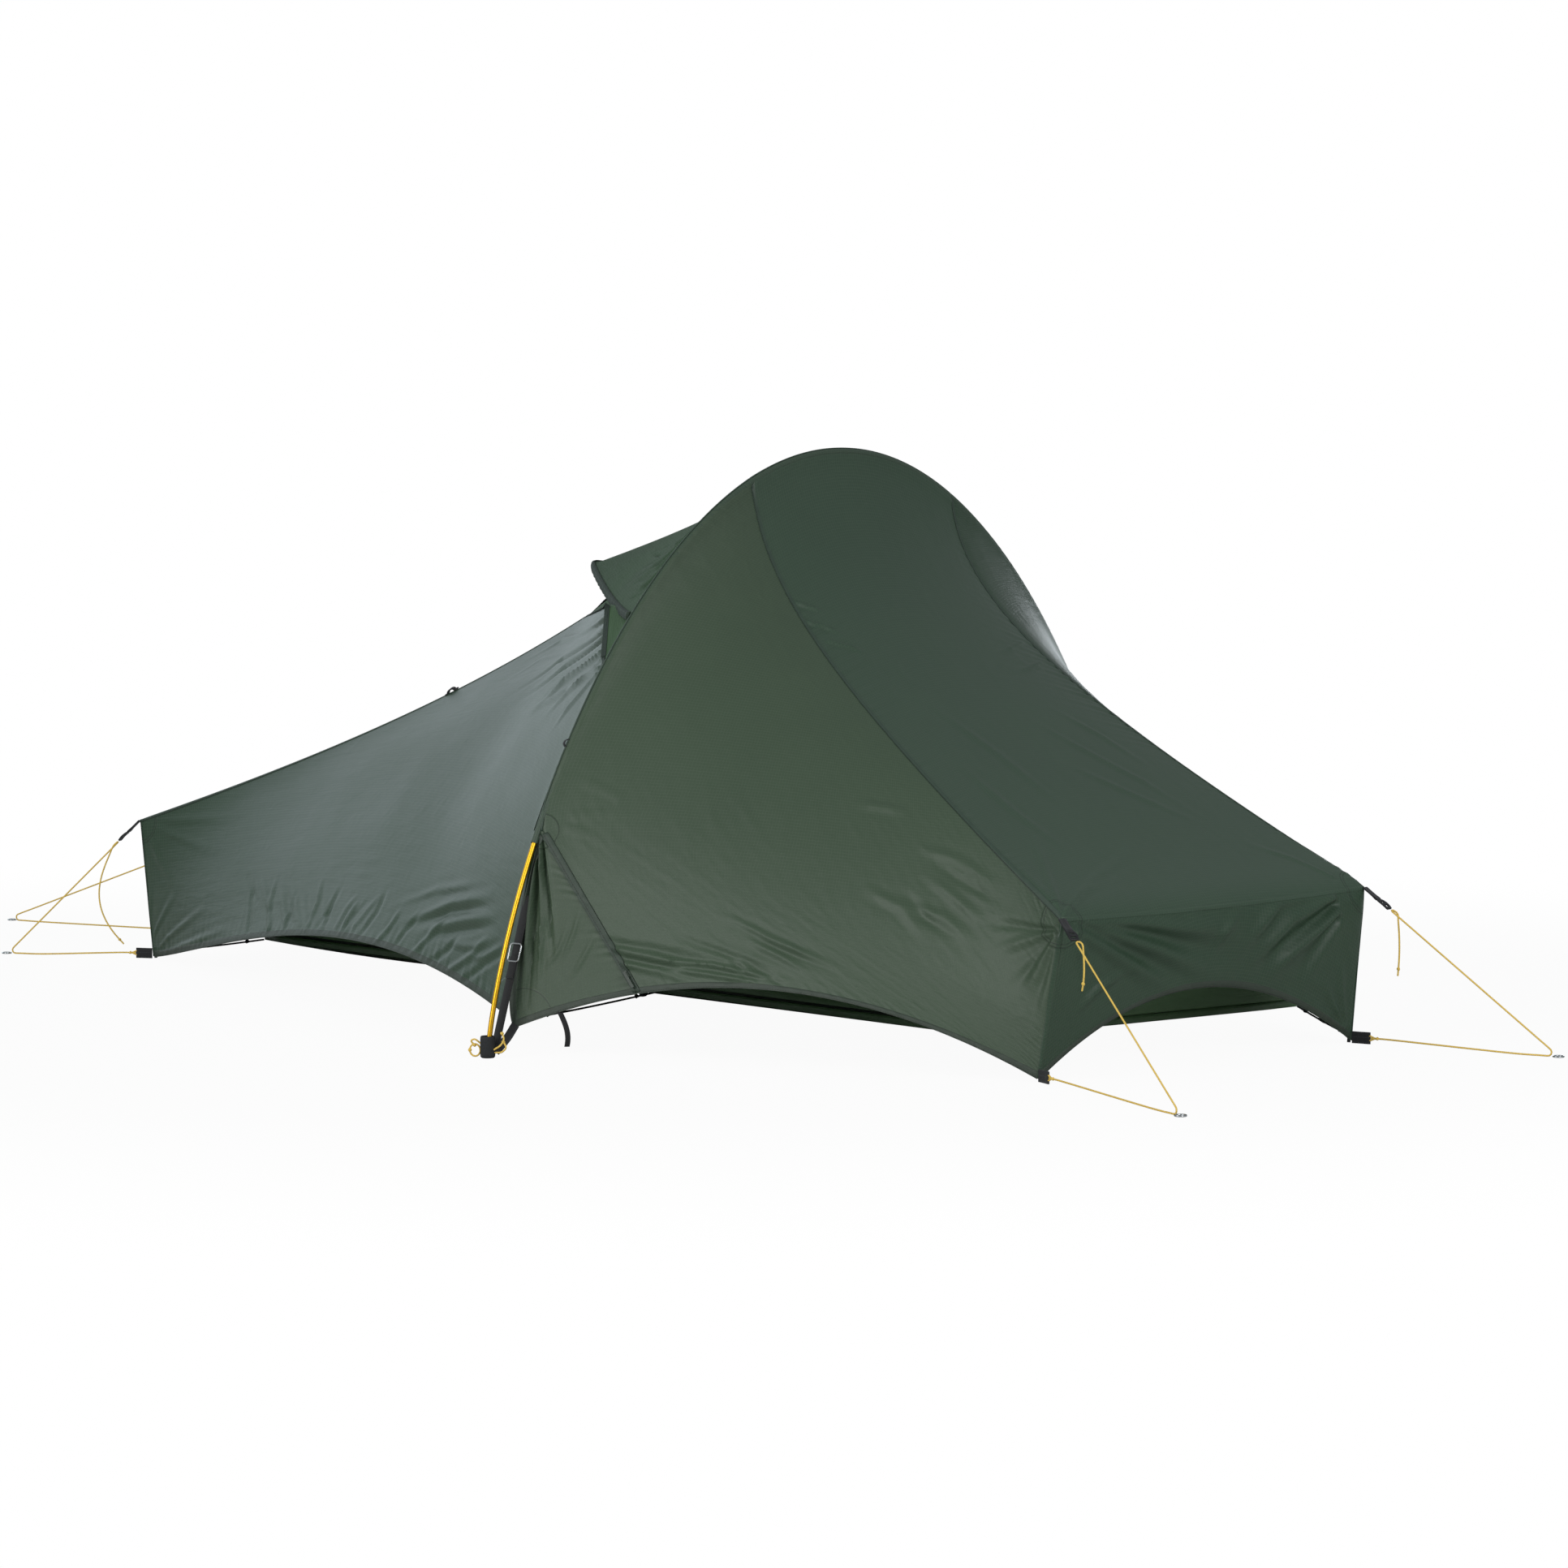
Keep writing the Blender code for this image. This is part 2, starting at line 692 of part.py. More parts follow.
def build_vent():
    half = BRIM_FOOT_Y
    path = [brim_point(-half + 2.0 * half * k / BRIM_STEPS) for k in range(BRIM_STEPS + 1)]
    brim = rod("hood_brim", path, BRIM_RADIUS, GREEN_FLY, sides=1)
    hinge = Vector((-BRIM_HOOP_GAP, 0.0, hoop_height(BRIM_FOOT_Y)))
    move_origin(brim, hinge)

    clear = BRIM_RADIUS + 2.0 * CORD_GAP
    above = Vector((clear * HOOD_OVER_BRIM[0], 0.0, clear * HOOD_OVER_BRIM[1]))
    arch = hoop_edge(-half, half, -SEAM_X)

    def rim(t):
        return brim_point(-half + 2.0 * half * t) + above

    sides = (line(rim(0.0), arch(0.0)), line(rim(1.0), arch(1.0)))
    panel(
        "vent_hood",
        (rim, arch, *sides),
        GREEN_FLY, rows=6, columns=HOOD_COLUMNS, bulge=-HOOD_CREST_SAG, folds=(HOOD_FOLDS, HOOD_FOLD_DEPTH),
    )

    end = VENT_FOOT_Y - MESH_END_INSET
    shift = Vector((MESH_LIP_SHIFT, 0.0, 0.0))
    lip = chain([
        line(hoop_point(-end, -SEAM_X), near_knee + shift),
        line(near_knee + shift, near_spine_end + shift),
        line(near_spine_end + shift, far_spine_end + shift),
        line(far_spine_end + shift, far_knee + shift),
        line(far_knee + shift, hoop_point(end, -SEAM_X)),
    ])
    inner_arch = hoop_edge(MESH_END_INSET - end, end - MESH_END_INSET, -SEAM_X, MESH_TOP_DROP)
    ends = (line(lip(0.0), inner_arch(0.0)), line(lip(1.0), inner_arch(1.0)))
    panel("vent_mesh", (lip, inner_arch, *ends), GREEN_MESH, rows=5, columns=20, bulge=-MESH_SAG)


def move_origin(item, point):
    item.data.transform(Matrix.Translation(-Vector(point)))
    item.location = Vector(point)
    bpy.context.view_layer.update()


# Hoop, sleeve, pole feet and their straps

def hoop_path():
    """Points of the hoop at even lengths, from the near foot to the far foot."""
    count = HOOP_SEGMENTS * 20
    fine = []
    for k in range(count + 1):
        fine.append(hoop_point(HOOP_HALF_SPAN * math.sin(math.pi * (k / count - 0.5))))
    along = [0.0]
    for p, q in zip(fine, fine[1:]):
        along.append(along[-1] + (q - p).length)
    start = POLE_FOOT_CLEARANCE
    total = along[-1] - 2.0 * start
    path = []
    k = 0
    for step in range(HOOP_SEGMENTS + 1):
        target = start + total * step / HOOP_SEGMENTS
        while along[k + 1] < target:
            k += 1
        share = (target - along[k]) / (along[k + 1] - along[k])
        path.append(fine[k].lerp(fine[k + 1], share))
    return path


def build_hoop():
    path = hoop_path()
    bounds = [round(HOOP_SEGMENTS * k / POLE_SECTIONS) for k in range(POLE_SECTIONS + 1)]
    for number in range(POLE_SECTIONS):
        piece = [p.copy() for p in path[bounds[number]:bounds[number + 1] + 1]]
        if number > 0:
            piece[0] = piece[0] + (piece[1] - piece[0]).normalized() * SECTION_GAP
        if number < POLE_SECTIONS - 1:
            piece[-1] = piece[-1] + (piece[-2] - piece[-1]).normalized() * SECTION_GAP
        rod("pole_section_" + str(number + 1), piece, POLE_RADIUS, GOLD_TUBE)
    inside = [p for p in path if p.z > hoop_height(SLEEVE_END_Y) + SLEEVE_END_STEP]
    sleeve = rod("pole_sleeve", inside, SLEEVE_RADIUS, GREEN_FLY)
    first = inside[0] - (inside[1] - inside[0]).normalized() * BORE_OVERRUN
    last = inside[-1] - (inside[-2] - inside[-1]).normalized() * BORE_OVERRUN
    bore = rod("sleeve_bore", [first] + inside + [last], SLEEVE_BORE, GREEN_FLY, group=CUTTERS)
    cut(sleeve, bore)
    for side, name in ((-1.0, "near"), (1.0, "far")):
        build_pole_foot(name, side, path)


def build_pole_foot(name, side, path):
    foot = path[0] if side < 0 else path[-1]
    nearby = path[1] if side < 0 else path[-2]
    lean = (nearby - foot).normalized()
    base = Vector((foot.x, foot.y, 0.0))
    cup = rod(name + "_pole_cup", [base, base + Vector((0.0, 0.0, CUP_HEIGHT))], CUP_RADIUS, BLACK_WEB)
    start = foot - lean * (POLE_FOOT_CLEARANCE - CUP_SEAT_GAP)
    bore = rod(name + "_cup_bore", [start, foot + lean * (CUP_HEIGHT + BORE_OVERRUN)],
               POLE_RADIUS + SLEEVE_CLEARANCE, BLACK_WEB, group=CUTTERS)
    cut(cup, bore)
    width, thick = STRAP
    hem_end = Vector((near_pole_foot_side.x, side * POLE_CORNER_Y, near_pole_foot_side.z))
    edge = line(hem_end, hoop_point(side * SLEEVE_END_Y, -SEAM_X))
    top = edge(STRAP_TOP_SHARE) + Vector((width / 2.0, 0.0, 0.0))
    low = Vector((STRAP_FOOT[0], side * -STRAP_FOOT[1], STRAP_FOOT[2]))
    beside_cup = CUP_RADIUS + thick / 2.0 + FITTING_GAP
    end = base + Vector((CUP_STRAP_END[0], -side * beside_cup, CUP_STRAP_END[1]))
    across = Vector((1.0, 0.0, 0.0))
    ribbon(name + "_pole_strap", [top, low, end], across, width, thick, BLACK_WEB)
    build_strap_ring(name, top, low)


def build_strap_ring(name, top, low):
    """A wire rectangle around the strap, hinged on its upper bar."""
    down = (low - top).normalized()
    centre = top.lerp(low, RING_FRACTION)
    across = Vector((1.0, 0.0, 0.0))
    out = across.cross(down).normalized()
    if out.z < 0:
        out.negate()
    width, height = RING_SIZE
    lift = STRAP[1] / 2.0 + RING_WIRE + FITTING_GAP
    middle = centre + out * lift
    corners = []
    for u, v in ((-1, -1), (1, -1), (1, 1), (-1, 1)):
        for turn in range(RING_CORNER_STEPS):
            angle = math.pi / 2.0 * turn / (RING_CORNER_STEPS - 1)
            arc = Vector((math.cos(angle), math.sin(angle)))
            if (u, v) == (1, -1):
                arc = Vector((arc.y, -arc.x))
            elif (u, v) == (-1, -1):
                arc = Vector((-arc.x, -arc.y))
            elif (u, v) == (-1, 1):
                arc = Vector((-arc.y, arc.x))
            place = middle + across * (u * (width / 2.0 - RING_CORNER) + arc.x * RING_CORNER)
            corners.append(place - down * (v * (height / 2.0 - RING_CORNER) + arc.y * RING_CORNER))
    ring = rod(name + "_strap_ring", corners, RING_WIRE, STEEL, closed=True)
    move_origin(ring, middle - down * (height / 2.0))


# Inner tent

def build_inner_tent():
    floor_corners = (FLOOR_NEAR_FOOT, FLOOR_NEAR_HEAD, FLOOR_FAR_HEAD, FLOOR_FAR_FOOT)
    rim_corners = (TUB_RIM_NEAR_FOOT, TUB_RIM_NEAR_HEAD, TUB_RIM_FAR_HEAD, TUB_RIM_FAR_FOOT)
    low = [Vector((*c, TUB_CLOTH / 2.0)) for c in floor_corners]
    fold = [Vector((*c, TUB_FOLD_HEIGHT)) for c in rim_corners]
    rim = [Vector((*c, TUB_RIM_HEIGHT)) for c in rim_corners]
    mesh = bpy.data.meshes.new("groundsheet")
    faces = [(0, 1, 2, 3)]
    for k in range(4):
        after = (k + 1) % 4
        faces.append((k, after, 4 + after))
        faces.append((k, 4 + after, 4 + k))
        faces.append((4 + k, 4 + after, 8 + after, 8 + k))
    mesh.from_pydata(low + fold + rim, [], faces)
    item = put("groundsheet", mesh, BLACK_WEB)
    tub = item.modifiers.new("cloth", "SOLIDIFY")
    tub.thickness = TUB_CLOTH
    tub.offset = 0.0
    tub.use_even_offset = True
    bake(item)
    face_outward(item)

    lift = Vector((0.0, 0.0, INNER_GAP + TUB_CLOTH / 2.0))
    near_foot, near_head, far_head, far_foot = (p + lift for p in rim)
    ridge_points = [Vector(p) for p in INNER_RIDGE]
    for name, side, foot, head in (("near", -1.0, near_foot, near_head), ("far", 1.0, far_foot, far_head)):
        apart = Vector((0.0, side * INNER_RIDGE_GAP, 0.0))
        points = [p + apart for p in ridge_points]
        ridge = chain([line(p, q) for p, q in zip(points, points[1:])])
        panel("inner_wall_" + name,
              (line(foot, head), ridge, line(foot, points[0]), line(head, points[-1])),
              GREEN_INNER, rows=3, columns=18)
    flat_panel("inner_foot_wall", [near_foot, far_foot, ridge_points[0]], GREEN_INNER)
    flat_panel("inner_head_wall", [near_head, far_head, ridge_points[-1]], GREEN_INNER)


# Corners: webbing, struts, tensioners, guy lines, peg rings

def strut_inset(corner, neighbours):
    """How far inward a strut stands so that it just clears the two cloth walls of its corner."""
    first, second = (Vector((n[0] - corner[0], n[1] - corner[1], 0.0)).normalized() for n in neighbours)
    half_angle = first.angle(second) / 2.0
    clear = STRUT_RADIUS + CLOTH / 2.0 + STRUT_GAP
    return (first + second).normalized() * (clear / math.sin(half_angle))


def strut_line(name):
    """Low and high end of the strut that stands in a corner."""
    corner, top, ground_walls, top_walls = STRUT_CORNERS[name]
    hem_point = ground(corner)
    lean = (top - hem_point) / (top.z - hem_point.z)
    low = hem_point - lean * (HEM_CLEARANCE - STRUT_FOOT_CLEARANCE) + strut_inset(corner, ground_walls)
    high = top - lean * STRUT_TOP_CLEARANCE + strut_inset(top, top_walls)
    return low, high


def build_corner(name, corner, top, peg, tail):
    foot = Vector((corner[0], corner[1], 0.0))
    ground_peg = Vector((peg[0], peg[1], 0.0))
    away = (ground_peg - foot).normalized()
    length, thick, height = FOOT_WEBBING
    lean = max(away.dot(top - foot) / top.z * height, 0.0)
    base = foot + away * (lean + FOOT_WEBBING_GAP) + Vector((0.0, 0.0, height / 2.0))
    bar(name + "_corner_webbing", base, away, (0, 0, 1), (length, thick, height), BLACK_WEB)
    if name in STRUT_CORNERS:
        rod(name + "_strut", strut_line(name), STRUT_RADIUS, CARBON)
    pull = (ground_peg - top).normalized()
    web_start = top + pull * (CLOTH + GUY_WEBBING_GAP)
    level = pull.cross(Vector((0, 0, 1))).normalized()
    up = level.cross(pull)
    bar(name + "_guy_webbing", web_start, pull, up, GUY_WEBBING, BLACK_WEB)
    grip_start = web_start + pull * (GUY_WEBBING[0] + FITTING_GAP)
    grip = bar(name + "_line_tensioner", grip_start, pull, up, TENSIONER, BLACK_PLASTIC, bevel=0.0012)
    move_origin(grip, grip_start)
    build_guy_line(name, base + away * (length + CORD_GAP), ground_peg, grip_start, pull, tail)
    build_peg_ring(name, ground_peg, away)


def build_guy_line(name, bridle, peg, grip, pull, tail):
    """One cord: knot at the corner webbing, through the peg ring, up to the tensioner, then a loose tail."""
    flat = peg - bridle
    flat.z = 0.0
    flat.normalize()
    knot = bridle + flat * GUY_KNOT_STEP
    low = peg + Vector((0.0, 0.0, GUY_GROUND_HEIGHT))
    low -= flat * (PEG_RING_RADIUS + PEG_WIRE + GUY_RADIUS + CORD_GAP)
    top = grip + pull * (TENSIONER[0] + TAIL_TURN + GUY_RADIUS + CORD_GAP)
    rise = (top - low).normalized()
    points = [bridle, knot, knot + flat * GUY_BEND_STEP]
    points += [low, low + rise * GUY_BEND_STEP]
    side = rise.cross(Vector((0.0, 0.0, 1.0))).normalized()
    for k in range(GUY_TURN_POINTS):
        angle = math.pi * k / (GUY_TURN_POINTS - 1)
        across = side * (TAIL_TURN * (1.0 - math.cos(angle)))
        points.append(top + across + rise * (TAIL_TURN * math.sin(angle)))
    length, bow, curl = tail
    hang = points[-1] - rise * GUY_BEND_STEP
    points.append(hang)
    out = Vector((pull.x, pull.y, 0.0)).normalized()
    for k in range(1, TAIL_POINTS + 1):
        t = k / TAIL_POINTS
        sway = out * (bow * math.sin(math.pi * t * TAIL_SWAY)) - out * (curl * t ** 4)
        points.append(hang + sway - Vector((0.0, 0.0, length * t)))
    radii = [1.0] * len(points)
    radii[1] = GUY_KNOT_RADIUS / GUY_RADIUS
    radii[-2] = GUY_KNOT_RADIUS / GUY_RADIUS
    rod(name + "_guy_line", points, GUY_RADIUS, YELLOW_CORD, radii=radii)


def build_peg_ring(name, peg, away):
    centre = peg + Vector((0.0, 0.0, PEG_WIRE + PEG_GROUND_GAP))
    side = Vector((-away.y, away.x, 0.0))
    loop = []
    for k in range(PEG_RING_TURNS):
        angle = 2.0 * math.pi * k / PEG_RING_TURNS
        loop.append(centre + (away * math.cos(angle) + side * math.sin(angle)) * PEG_RING_RADIUS)
    rod(name + "_peg_ring", loop, PEG_WIRE, STEEL, closed=True, sides=1)


def build_corners():
    corners = (
        ("foot_near", NEAR_FOOT_CORNER, NEAR_FOOT_TOP, PEG_NEAR_FOOT, TAIL_FOOT_NEAR),
        ("foot_far", FAR_FOOT_CORNER, FAR_FOOT_TOP, PEG_FAR_FOOT, TAIL_FOOT_FAR),
        ("head_near", NEAR_HEAD_CORNER, NEAR_HEAD_TOP, PEG_NEAR_HEAD, TAIL_HEAD_NEAR),
        ("head_far", FAR_HEAD_CORNER, FAR_HEAD_TOP, PEG_FAR_HEAD, TAIL_HEAD_FAR),
    )
    for name, corner, top, peg, tail in corners:
        build_corner(name, corner, top, peg, tail)


# Small cords and straps

def hooked_cord(name, start, end, hook_share):
    """A stretch cord with a moulded hook part of the way along."""
    points = [start.lerp(end, k / SHOCK_STEPS) for k in range(SHOCK_STEPS + 1)]
    radii = [1.0] * len(points)
    radii[round(SHOCK_STEPS * hook_share)] = HOOK_RADIUS / SHOCK_RADIUS
    rod(name, points, SHOCK_RADIUS, BLACK_PLASTIC, radii=radii)


def build_shock_cords():
    """Stretch cords from three flysheet corners to the rim of the tub floor."""
    near_foot = Vector((*TUB_RIM_NEAR_FOOT, TUB_RIM_HEIGHT)) + SHOCK_RIM_DROP
    near_head = Vector((*TUB_RIM_NEAR_HEAD, TUB_RIM_HEIGHT)) + SHOCK_RIM_DROP
    far_head = Vector((*TUB_RIM_FAR_HEAD, TUB_RIM_HEIGHT)) + SHOCK_RIM_DROP
    aside = Vector((SHOCK_RIM_GAP, 0.0, 0.0))
    foot_end = near_foot - aside
    hooked_cord("foot_shock_cord", beside_strut("foot_near", foot_end), foot_end, SHOCK_CORNER_HOOK)
    head_end = far_head + aside
    hooked_cord("head_shock_cord", beside_strut("head_far", head_end), head_end, SHOCK_CORNER_HOOK)
    hem_along = (zip_foot - near_pole_head_side).normalized()
    behind = Vector((-hem_along.y, hem_along.x, 0.0)).normalized()
    beside, lift = SHOCK_DOOR_START
    door_start = near_pole_head_side + behind * (CLOTH / 2.0 + SHOCK_RADIUS + SHOCK_DOOR_GAP)
    door_start += Vector((beside, 0.0, lift))
    door_end = near_foot.lerp(near_head, SHOCK_DOOR_SHARE) - Vector((0.0, SHOCK_RIM_GAP, 0.0))
    hooked_cord("door_shock_cord", door_start, door_end, SHOCK_DOOR_HOOK)


def beside_strut(name, target):
    """Where a cord that runs to a target starts from the strut of a corner."""
    low, high = strut_line(name)
    centre = low.lerp(high, SHOCK_STRUT_HEIGHT / (high.z - low.z))
    toward = (target - centre).normalized()
    return centre + toward * (STRUT_RADIUS + SHOCK_STRUT_GAP)


def build_foot_loop():
    """The knotted loop of cord that a peg holds beside the pole foot."""
    out, beside, lift = FOOT_LOOP_CENTRE
    centre = Vector((out, -HOOP_HALF_SPAN - beside, lift))
    loop = []
    for k in range(FOOT_LOOP_TURNS):
        angle = 2.0 * math.pi * k / FOOT_LOOP_TURNS
        turn = Vector((math.cos(angle), math.cos(angle), math.sin(angle)))
        loop.append(centre + turn * FOOT_LOOP_SIZE)
    swell = [1.0] * FOOT_LOOP_TURNS
    swell[FOOT_LOOP_TURNS // 2] = GUY_KNOT_RADIUS / GUY_RADIUS
    rod("pole_foot_cord_loop", loop, GUY_RADIUS, YELLOW_CORD, closed=True, radii=swell)


def build_spine_loop():
    """The spare guy loop sewn on the spine seam."""
    spot = near_spine_seam(GUY_LOOP_SHARE)
    out = GUY_LOOP_OUTWARD.normalized()
    along = (near_spine_seam(1.0) - near_spine_seam(GUY_LOOP_SHARE)).normalized()
    wide, tall = GUY_LOOP_SIZE
    ring = []
    for k in range(GUY_LOOP_TURNS):
        angle = 2.0 * math.pi * k / GUY_LOOP_TURNS
        height = GUY_LOOP_STANDOFF + math.cos(angle) * tall
        ring.append(spot + out * height + along * (math.sin(angle) * wide))
    rod("spine_guy_loop", ring, GUY_LOOP_WIRE, BLACK_WEB, closed=True, sides=1)


def build_door_strap():
    """The hanging strap that holds the rolled door."""
    width, thick = DOOR_STRAP
    sway, push, bend = DOOR_STRAP_CURL
    top = door_hem(DOOR_STRAP_SHARE) - Vector((0.0, 0.0, DOOR_STRAP_GAP))
    hang = []
    for k in range(DOOR_STRAP_STEPS + 1):
        t = k / DOOR_STRAP_STEPS
        hang.append(top + Vector((sway * math.sin(t * bend), push * t, -DOOR_STRAP_HANG * t)))
    ribbon("door_tie_strap", hang, DOOR_STRAP_ACROSS, width, thick, BLACK_WEB)


def build_zip():
    """The slider on the door zip, with its pull hanging from it."""
    wide, thick, tall = SLIDER
    along = (zip_line(0.0) - zip_line(1.0)).normalized()
    gore_face = (zip_foot - near_pole_head_side).cross(along).normalized()
    door_face = (ground(NEAR_HEAD_CORNER) - zip_foot).cross(along).normalized()
    outward = (gore_face + door_face).normalized()
    ridge = wide / 2.0 * math.tan(gore_face.angle(door_face) / 2.0)
    lift = outward * (thick / 2.0 + CLOTH + ridge + SLIDER_GAP)
    start = zip_line(1.0) + along * ZIP_START + lift
    size = (tall, wide, thick)
    slider = bar("zip_slider", start, along, outward, size, BLACK_PLASTIC, bevel=SLIDER_EDGE)
    move_origin(slider, start)
    pull_lift = outward * (thick / 2.0 + PULL[1] / 2.0 + FITTING_GAP)
    pull_start = start + along * (tall - PULL_OVERLAP) + pull_lift
    size = (PULL[2], PULL[0], PULL[1])
    tab = bar("zip_pull", pull_start, -along, outward, size, BLACK_PLASTIC, bevel=PULL_EDGE)
    move_origin(tab, pull_start)


build_flysheet()
build_vent()
build_hoop()
build_inner_tent()
build_corners()
build_shock_cords()
build_foot_loop()
build_spine_loop()
build_door_strap()
build_zip()
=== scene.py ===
"""A backpacking tent on one hoop: cloth, webbing, cords and fittings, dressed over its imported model."""
import itertools
import math

import bmesh
import bpy
import numpy as np
from mathutils import Euler, Matrix, Vector


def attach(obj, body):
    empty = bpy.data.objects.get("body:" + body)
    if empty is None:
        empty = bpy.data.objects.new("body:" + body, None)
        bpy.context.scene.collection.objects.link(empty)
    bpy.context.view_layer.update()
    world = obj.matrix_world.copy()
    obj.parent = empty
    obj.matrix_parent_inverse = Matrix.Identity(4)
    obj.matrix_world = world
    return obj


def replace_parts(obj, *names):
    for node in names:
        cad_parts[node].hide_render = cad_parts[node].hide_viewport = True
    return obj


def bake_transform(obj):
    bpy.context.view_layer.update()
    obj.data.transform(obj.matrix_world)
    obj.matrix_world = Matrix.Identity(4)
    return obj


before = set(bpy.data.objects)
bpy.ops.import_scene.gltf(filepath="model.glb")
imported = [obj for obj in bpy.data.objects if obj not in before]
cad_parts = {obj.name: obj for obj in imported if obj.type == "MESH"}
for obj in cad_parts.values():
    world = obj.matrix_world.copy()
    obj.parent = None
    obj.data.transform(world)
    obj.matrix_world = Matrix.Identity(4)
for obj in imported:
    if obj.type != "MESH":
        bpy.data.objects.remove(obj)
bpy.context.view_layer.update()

# Hoop, the arch that sets the whole shape
HOOP_HEIGHT = 0.995
HOOP_HALF_SPAN = 0.916
HOOP_SIDE_POWER = 2.016
HOOP_CROWN_POWER = 1.38
HOOP_SEGMENTS = 64
POLE_RADIUS = 0.00425
POLE_FOOT_CLEARANCE = 0.004
POLE_SECTIONS = 5
SECTION_GAP = 0.0003
POLE_END_SHARE = 0.9

# Sleeve that the hoop runs through
SLEEVE_CLEARANCE = 0.0006
SLEEVE_WALL = 0.0009
SLEEVE_END_Y = 0.793
SLEEVE_END_STEP = 0.002
SLEEVE_LONGER = 0.026

# Cloth panels: the thickness that the sizes allow for, and that of the cloth shown
CLOTH = 0.0008
CLOTH_SHOWN = 0.0005
INSIDE_POINT = Vector((-0.2, 0.0, 0.2))

# Ground corners of the flysheet (x, y) and the tops of its upright corners (x, y, z)
HEM_CLEARANCE = 0.004
NEAR_FOOT_CORNER = (-1.62, -0.17)
FAR_FOOT_CORNER = (-1.62, 0.25)
NEAR_HEAD_CORNER = (0.881, -0.582)
FAR_HEAD_CORNER = (0.971, 0.171)
NEAR_FOOT_TOP = Vector((-1.655, -0.17, 0.272))
FAR_FOOT_TOP = Vector((-1.655, 0.25, 0.272))
NEAR_HEAD_TOP = Vector((0.9, -0.548, 0.257))
FAR_HEAD_TOP = Vector((0.975, 0.2, 0.262))

# Where the flysheet ends beside each pole foot
POLE_CORNER_Y = 0.85
FOOT_SIDE_CORNER = (-0.024, 0.066)
HEAD_SIDE_CORNER = (0.016, 0.052)

# Seams on the hoop, given by their distance from the crown
DOOR_SEAM_Y = -0.25
FAR_SEAM_Y = 0.307
VENT_FOOT_Y = 0.622
BRIM_FOOT_Y = 0.556

# Handles of the seam curves between the hoop, the spine and the corners
DOOR_SEAM_HANDLES = ((0.03, -0.262, 0.72), (0.45, -0.4, 0.5))
FAR_SEAM_HANDLES = ((0.025, 0.305, 0.69), (0.42, 0.262, 0.512))
NEAR_SPINE_HANDLES = ((-1.26, -0.145, 0.375), (-0.86, -0.11, 0.51))
FAR_SPINE_HANDLES = ((-1.26, 0.225, 0.375), (-0.86, 0.19, 0.51))
ZIP_TOP_STEP = Vector((0.004, 0.0, 0.0))

# Vent mouth: knee of its lip and end of the roof spine
LIP_KNEE = (-0.185, 0.4, 0.7)
SPINE_END = (-0.54, 0.08, 0.696)
SPINE_CENTRE_Y = 0.0
MESH_TOP_DROP = 0.005
MESH_LIP_SHIFT = 0.003
MESH_SAG = 0.05
MESH_FOOT_GAP = 0.002
MESH_TENT = (0.036, 0.07, 0.1)
# Under tension the vent corners stand a little higher and further back than they are cut
NEAR_KNEE_SHIFT = Vector((-0.007, -0.0075, 0.029))
FAR_KNEE_SHIFT = Vector((-0.009, 0.0075, 0.008))

# Hood over the vent
BRIM_REACH = 0.6
BRIM_RISE = 0.074
BRIM_TIP_ROUNDING = 0.012
BRIM_RADIUS = 0.0055
# The drawn hood pulls the brim a little further out and straighter than it is cut
BRIM_STRETCH, BRIM_SWEEP = 0.006, 1.65
BRIM_HOOP_GAP = 0.012
HOOD_CREST_SAG = 0.012
HOOD_OVER_BRIM = (0.6, 0.9)

# Rise of each hem between its two ground corners
FOOT_SIDE_HEM_RISE = 0.088
FOOT_SIDE_HEM_SKEW = 1.25
DOOR_HEM_RISE = 0.098
HEAD_HEM_RISE = 0.118
FOOT_HEM_RISE = 0.045
HEAD_TOP_SAG = -0.006
ZIP_HEM_FRACTION = 0.232

# Inner tent: the lifted edge of its floor, and the flat middle that lies on the ground
TUB_RIM_HEIGHT = 0.048
TUB_FOLD_HEIGHT = 0.036
TUB_RIM_NEAR_FOOT = (-1.46, -0.02)
TUB_RIM_NEAR_HEAD = (0.64, -0.39)
TUB_RIM_FAR_HEAD = (0.768, 0.306)
TUB_RIM_FAR_FOOT = (-1.46, 0.22)
FLOOR_NEAR_FOOT = (-0.95, 0.09)
FLOOR_NEAR_HEAD = (0.38, -0.06)
FLOOR_FAR_HEAD = (0.42, 0.1)
FLOOR_FAR_FOOT = (-0.95, 0.16)
TUB_CLOTH = 0.0012
INNER_GAP = 0.0002
INNER_RIDGE_GAP = 0.0008
INNER_RIDGE = (
    (-1.45, 0.09, 0.25),
    (-0.9, 0.05, 0.455),
    (-0.42, 0.02, 0.62),
    (-0.06, 0.0, 0.87),
    (0.06, 0.0, 0.79),
    (0.26, -0.02, 0.57),
    (0.48, -0.06, 0.44),
    (0.712, -0.015, 0.25),
)

# Webbing, struts and fittings
FOOT_WEBBING = (0.034, 0.0024, 0.02)
FOOT_WEBBING_GAP = 0.0005
STRUT_RADIUS = 0.003
STRUT_GAP = 0.0006
STRUT_SEAM_SHARE = 0.1
STRUT_FOOT_CLEARANCE = 0.001
STRUT_TOP_CLEARANCE = 0.014
GUY_WEBBING = (0.034, 0.013, 0.0018)
GUY_WEBBING_GAP = 0.0006
TENSIONER = (0.024, 0.017, 0.0055)
FITTING_GAP = 0.0005
CUP_RADIUS = 0.0125
CUP_HEIGHT = 0.036
CUP_STRAP_END = (0.003, 0.012)
STRAP = (0.017, 0.0016)
STRAP_TOP_SHARE = 0.645
STRAP_FOOT = (0.004, -0.876, 0.04)
RING_WIRE = 0.0014
RING_SIZE = (0.024, 0.03)
RING_CORNER = 0.005
RING_FRACTION = 0.42

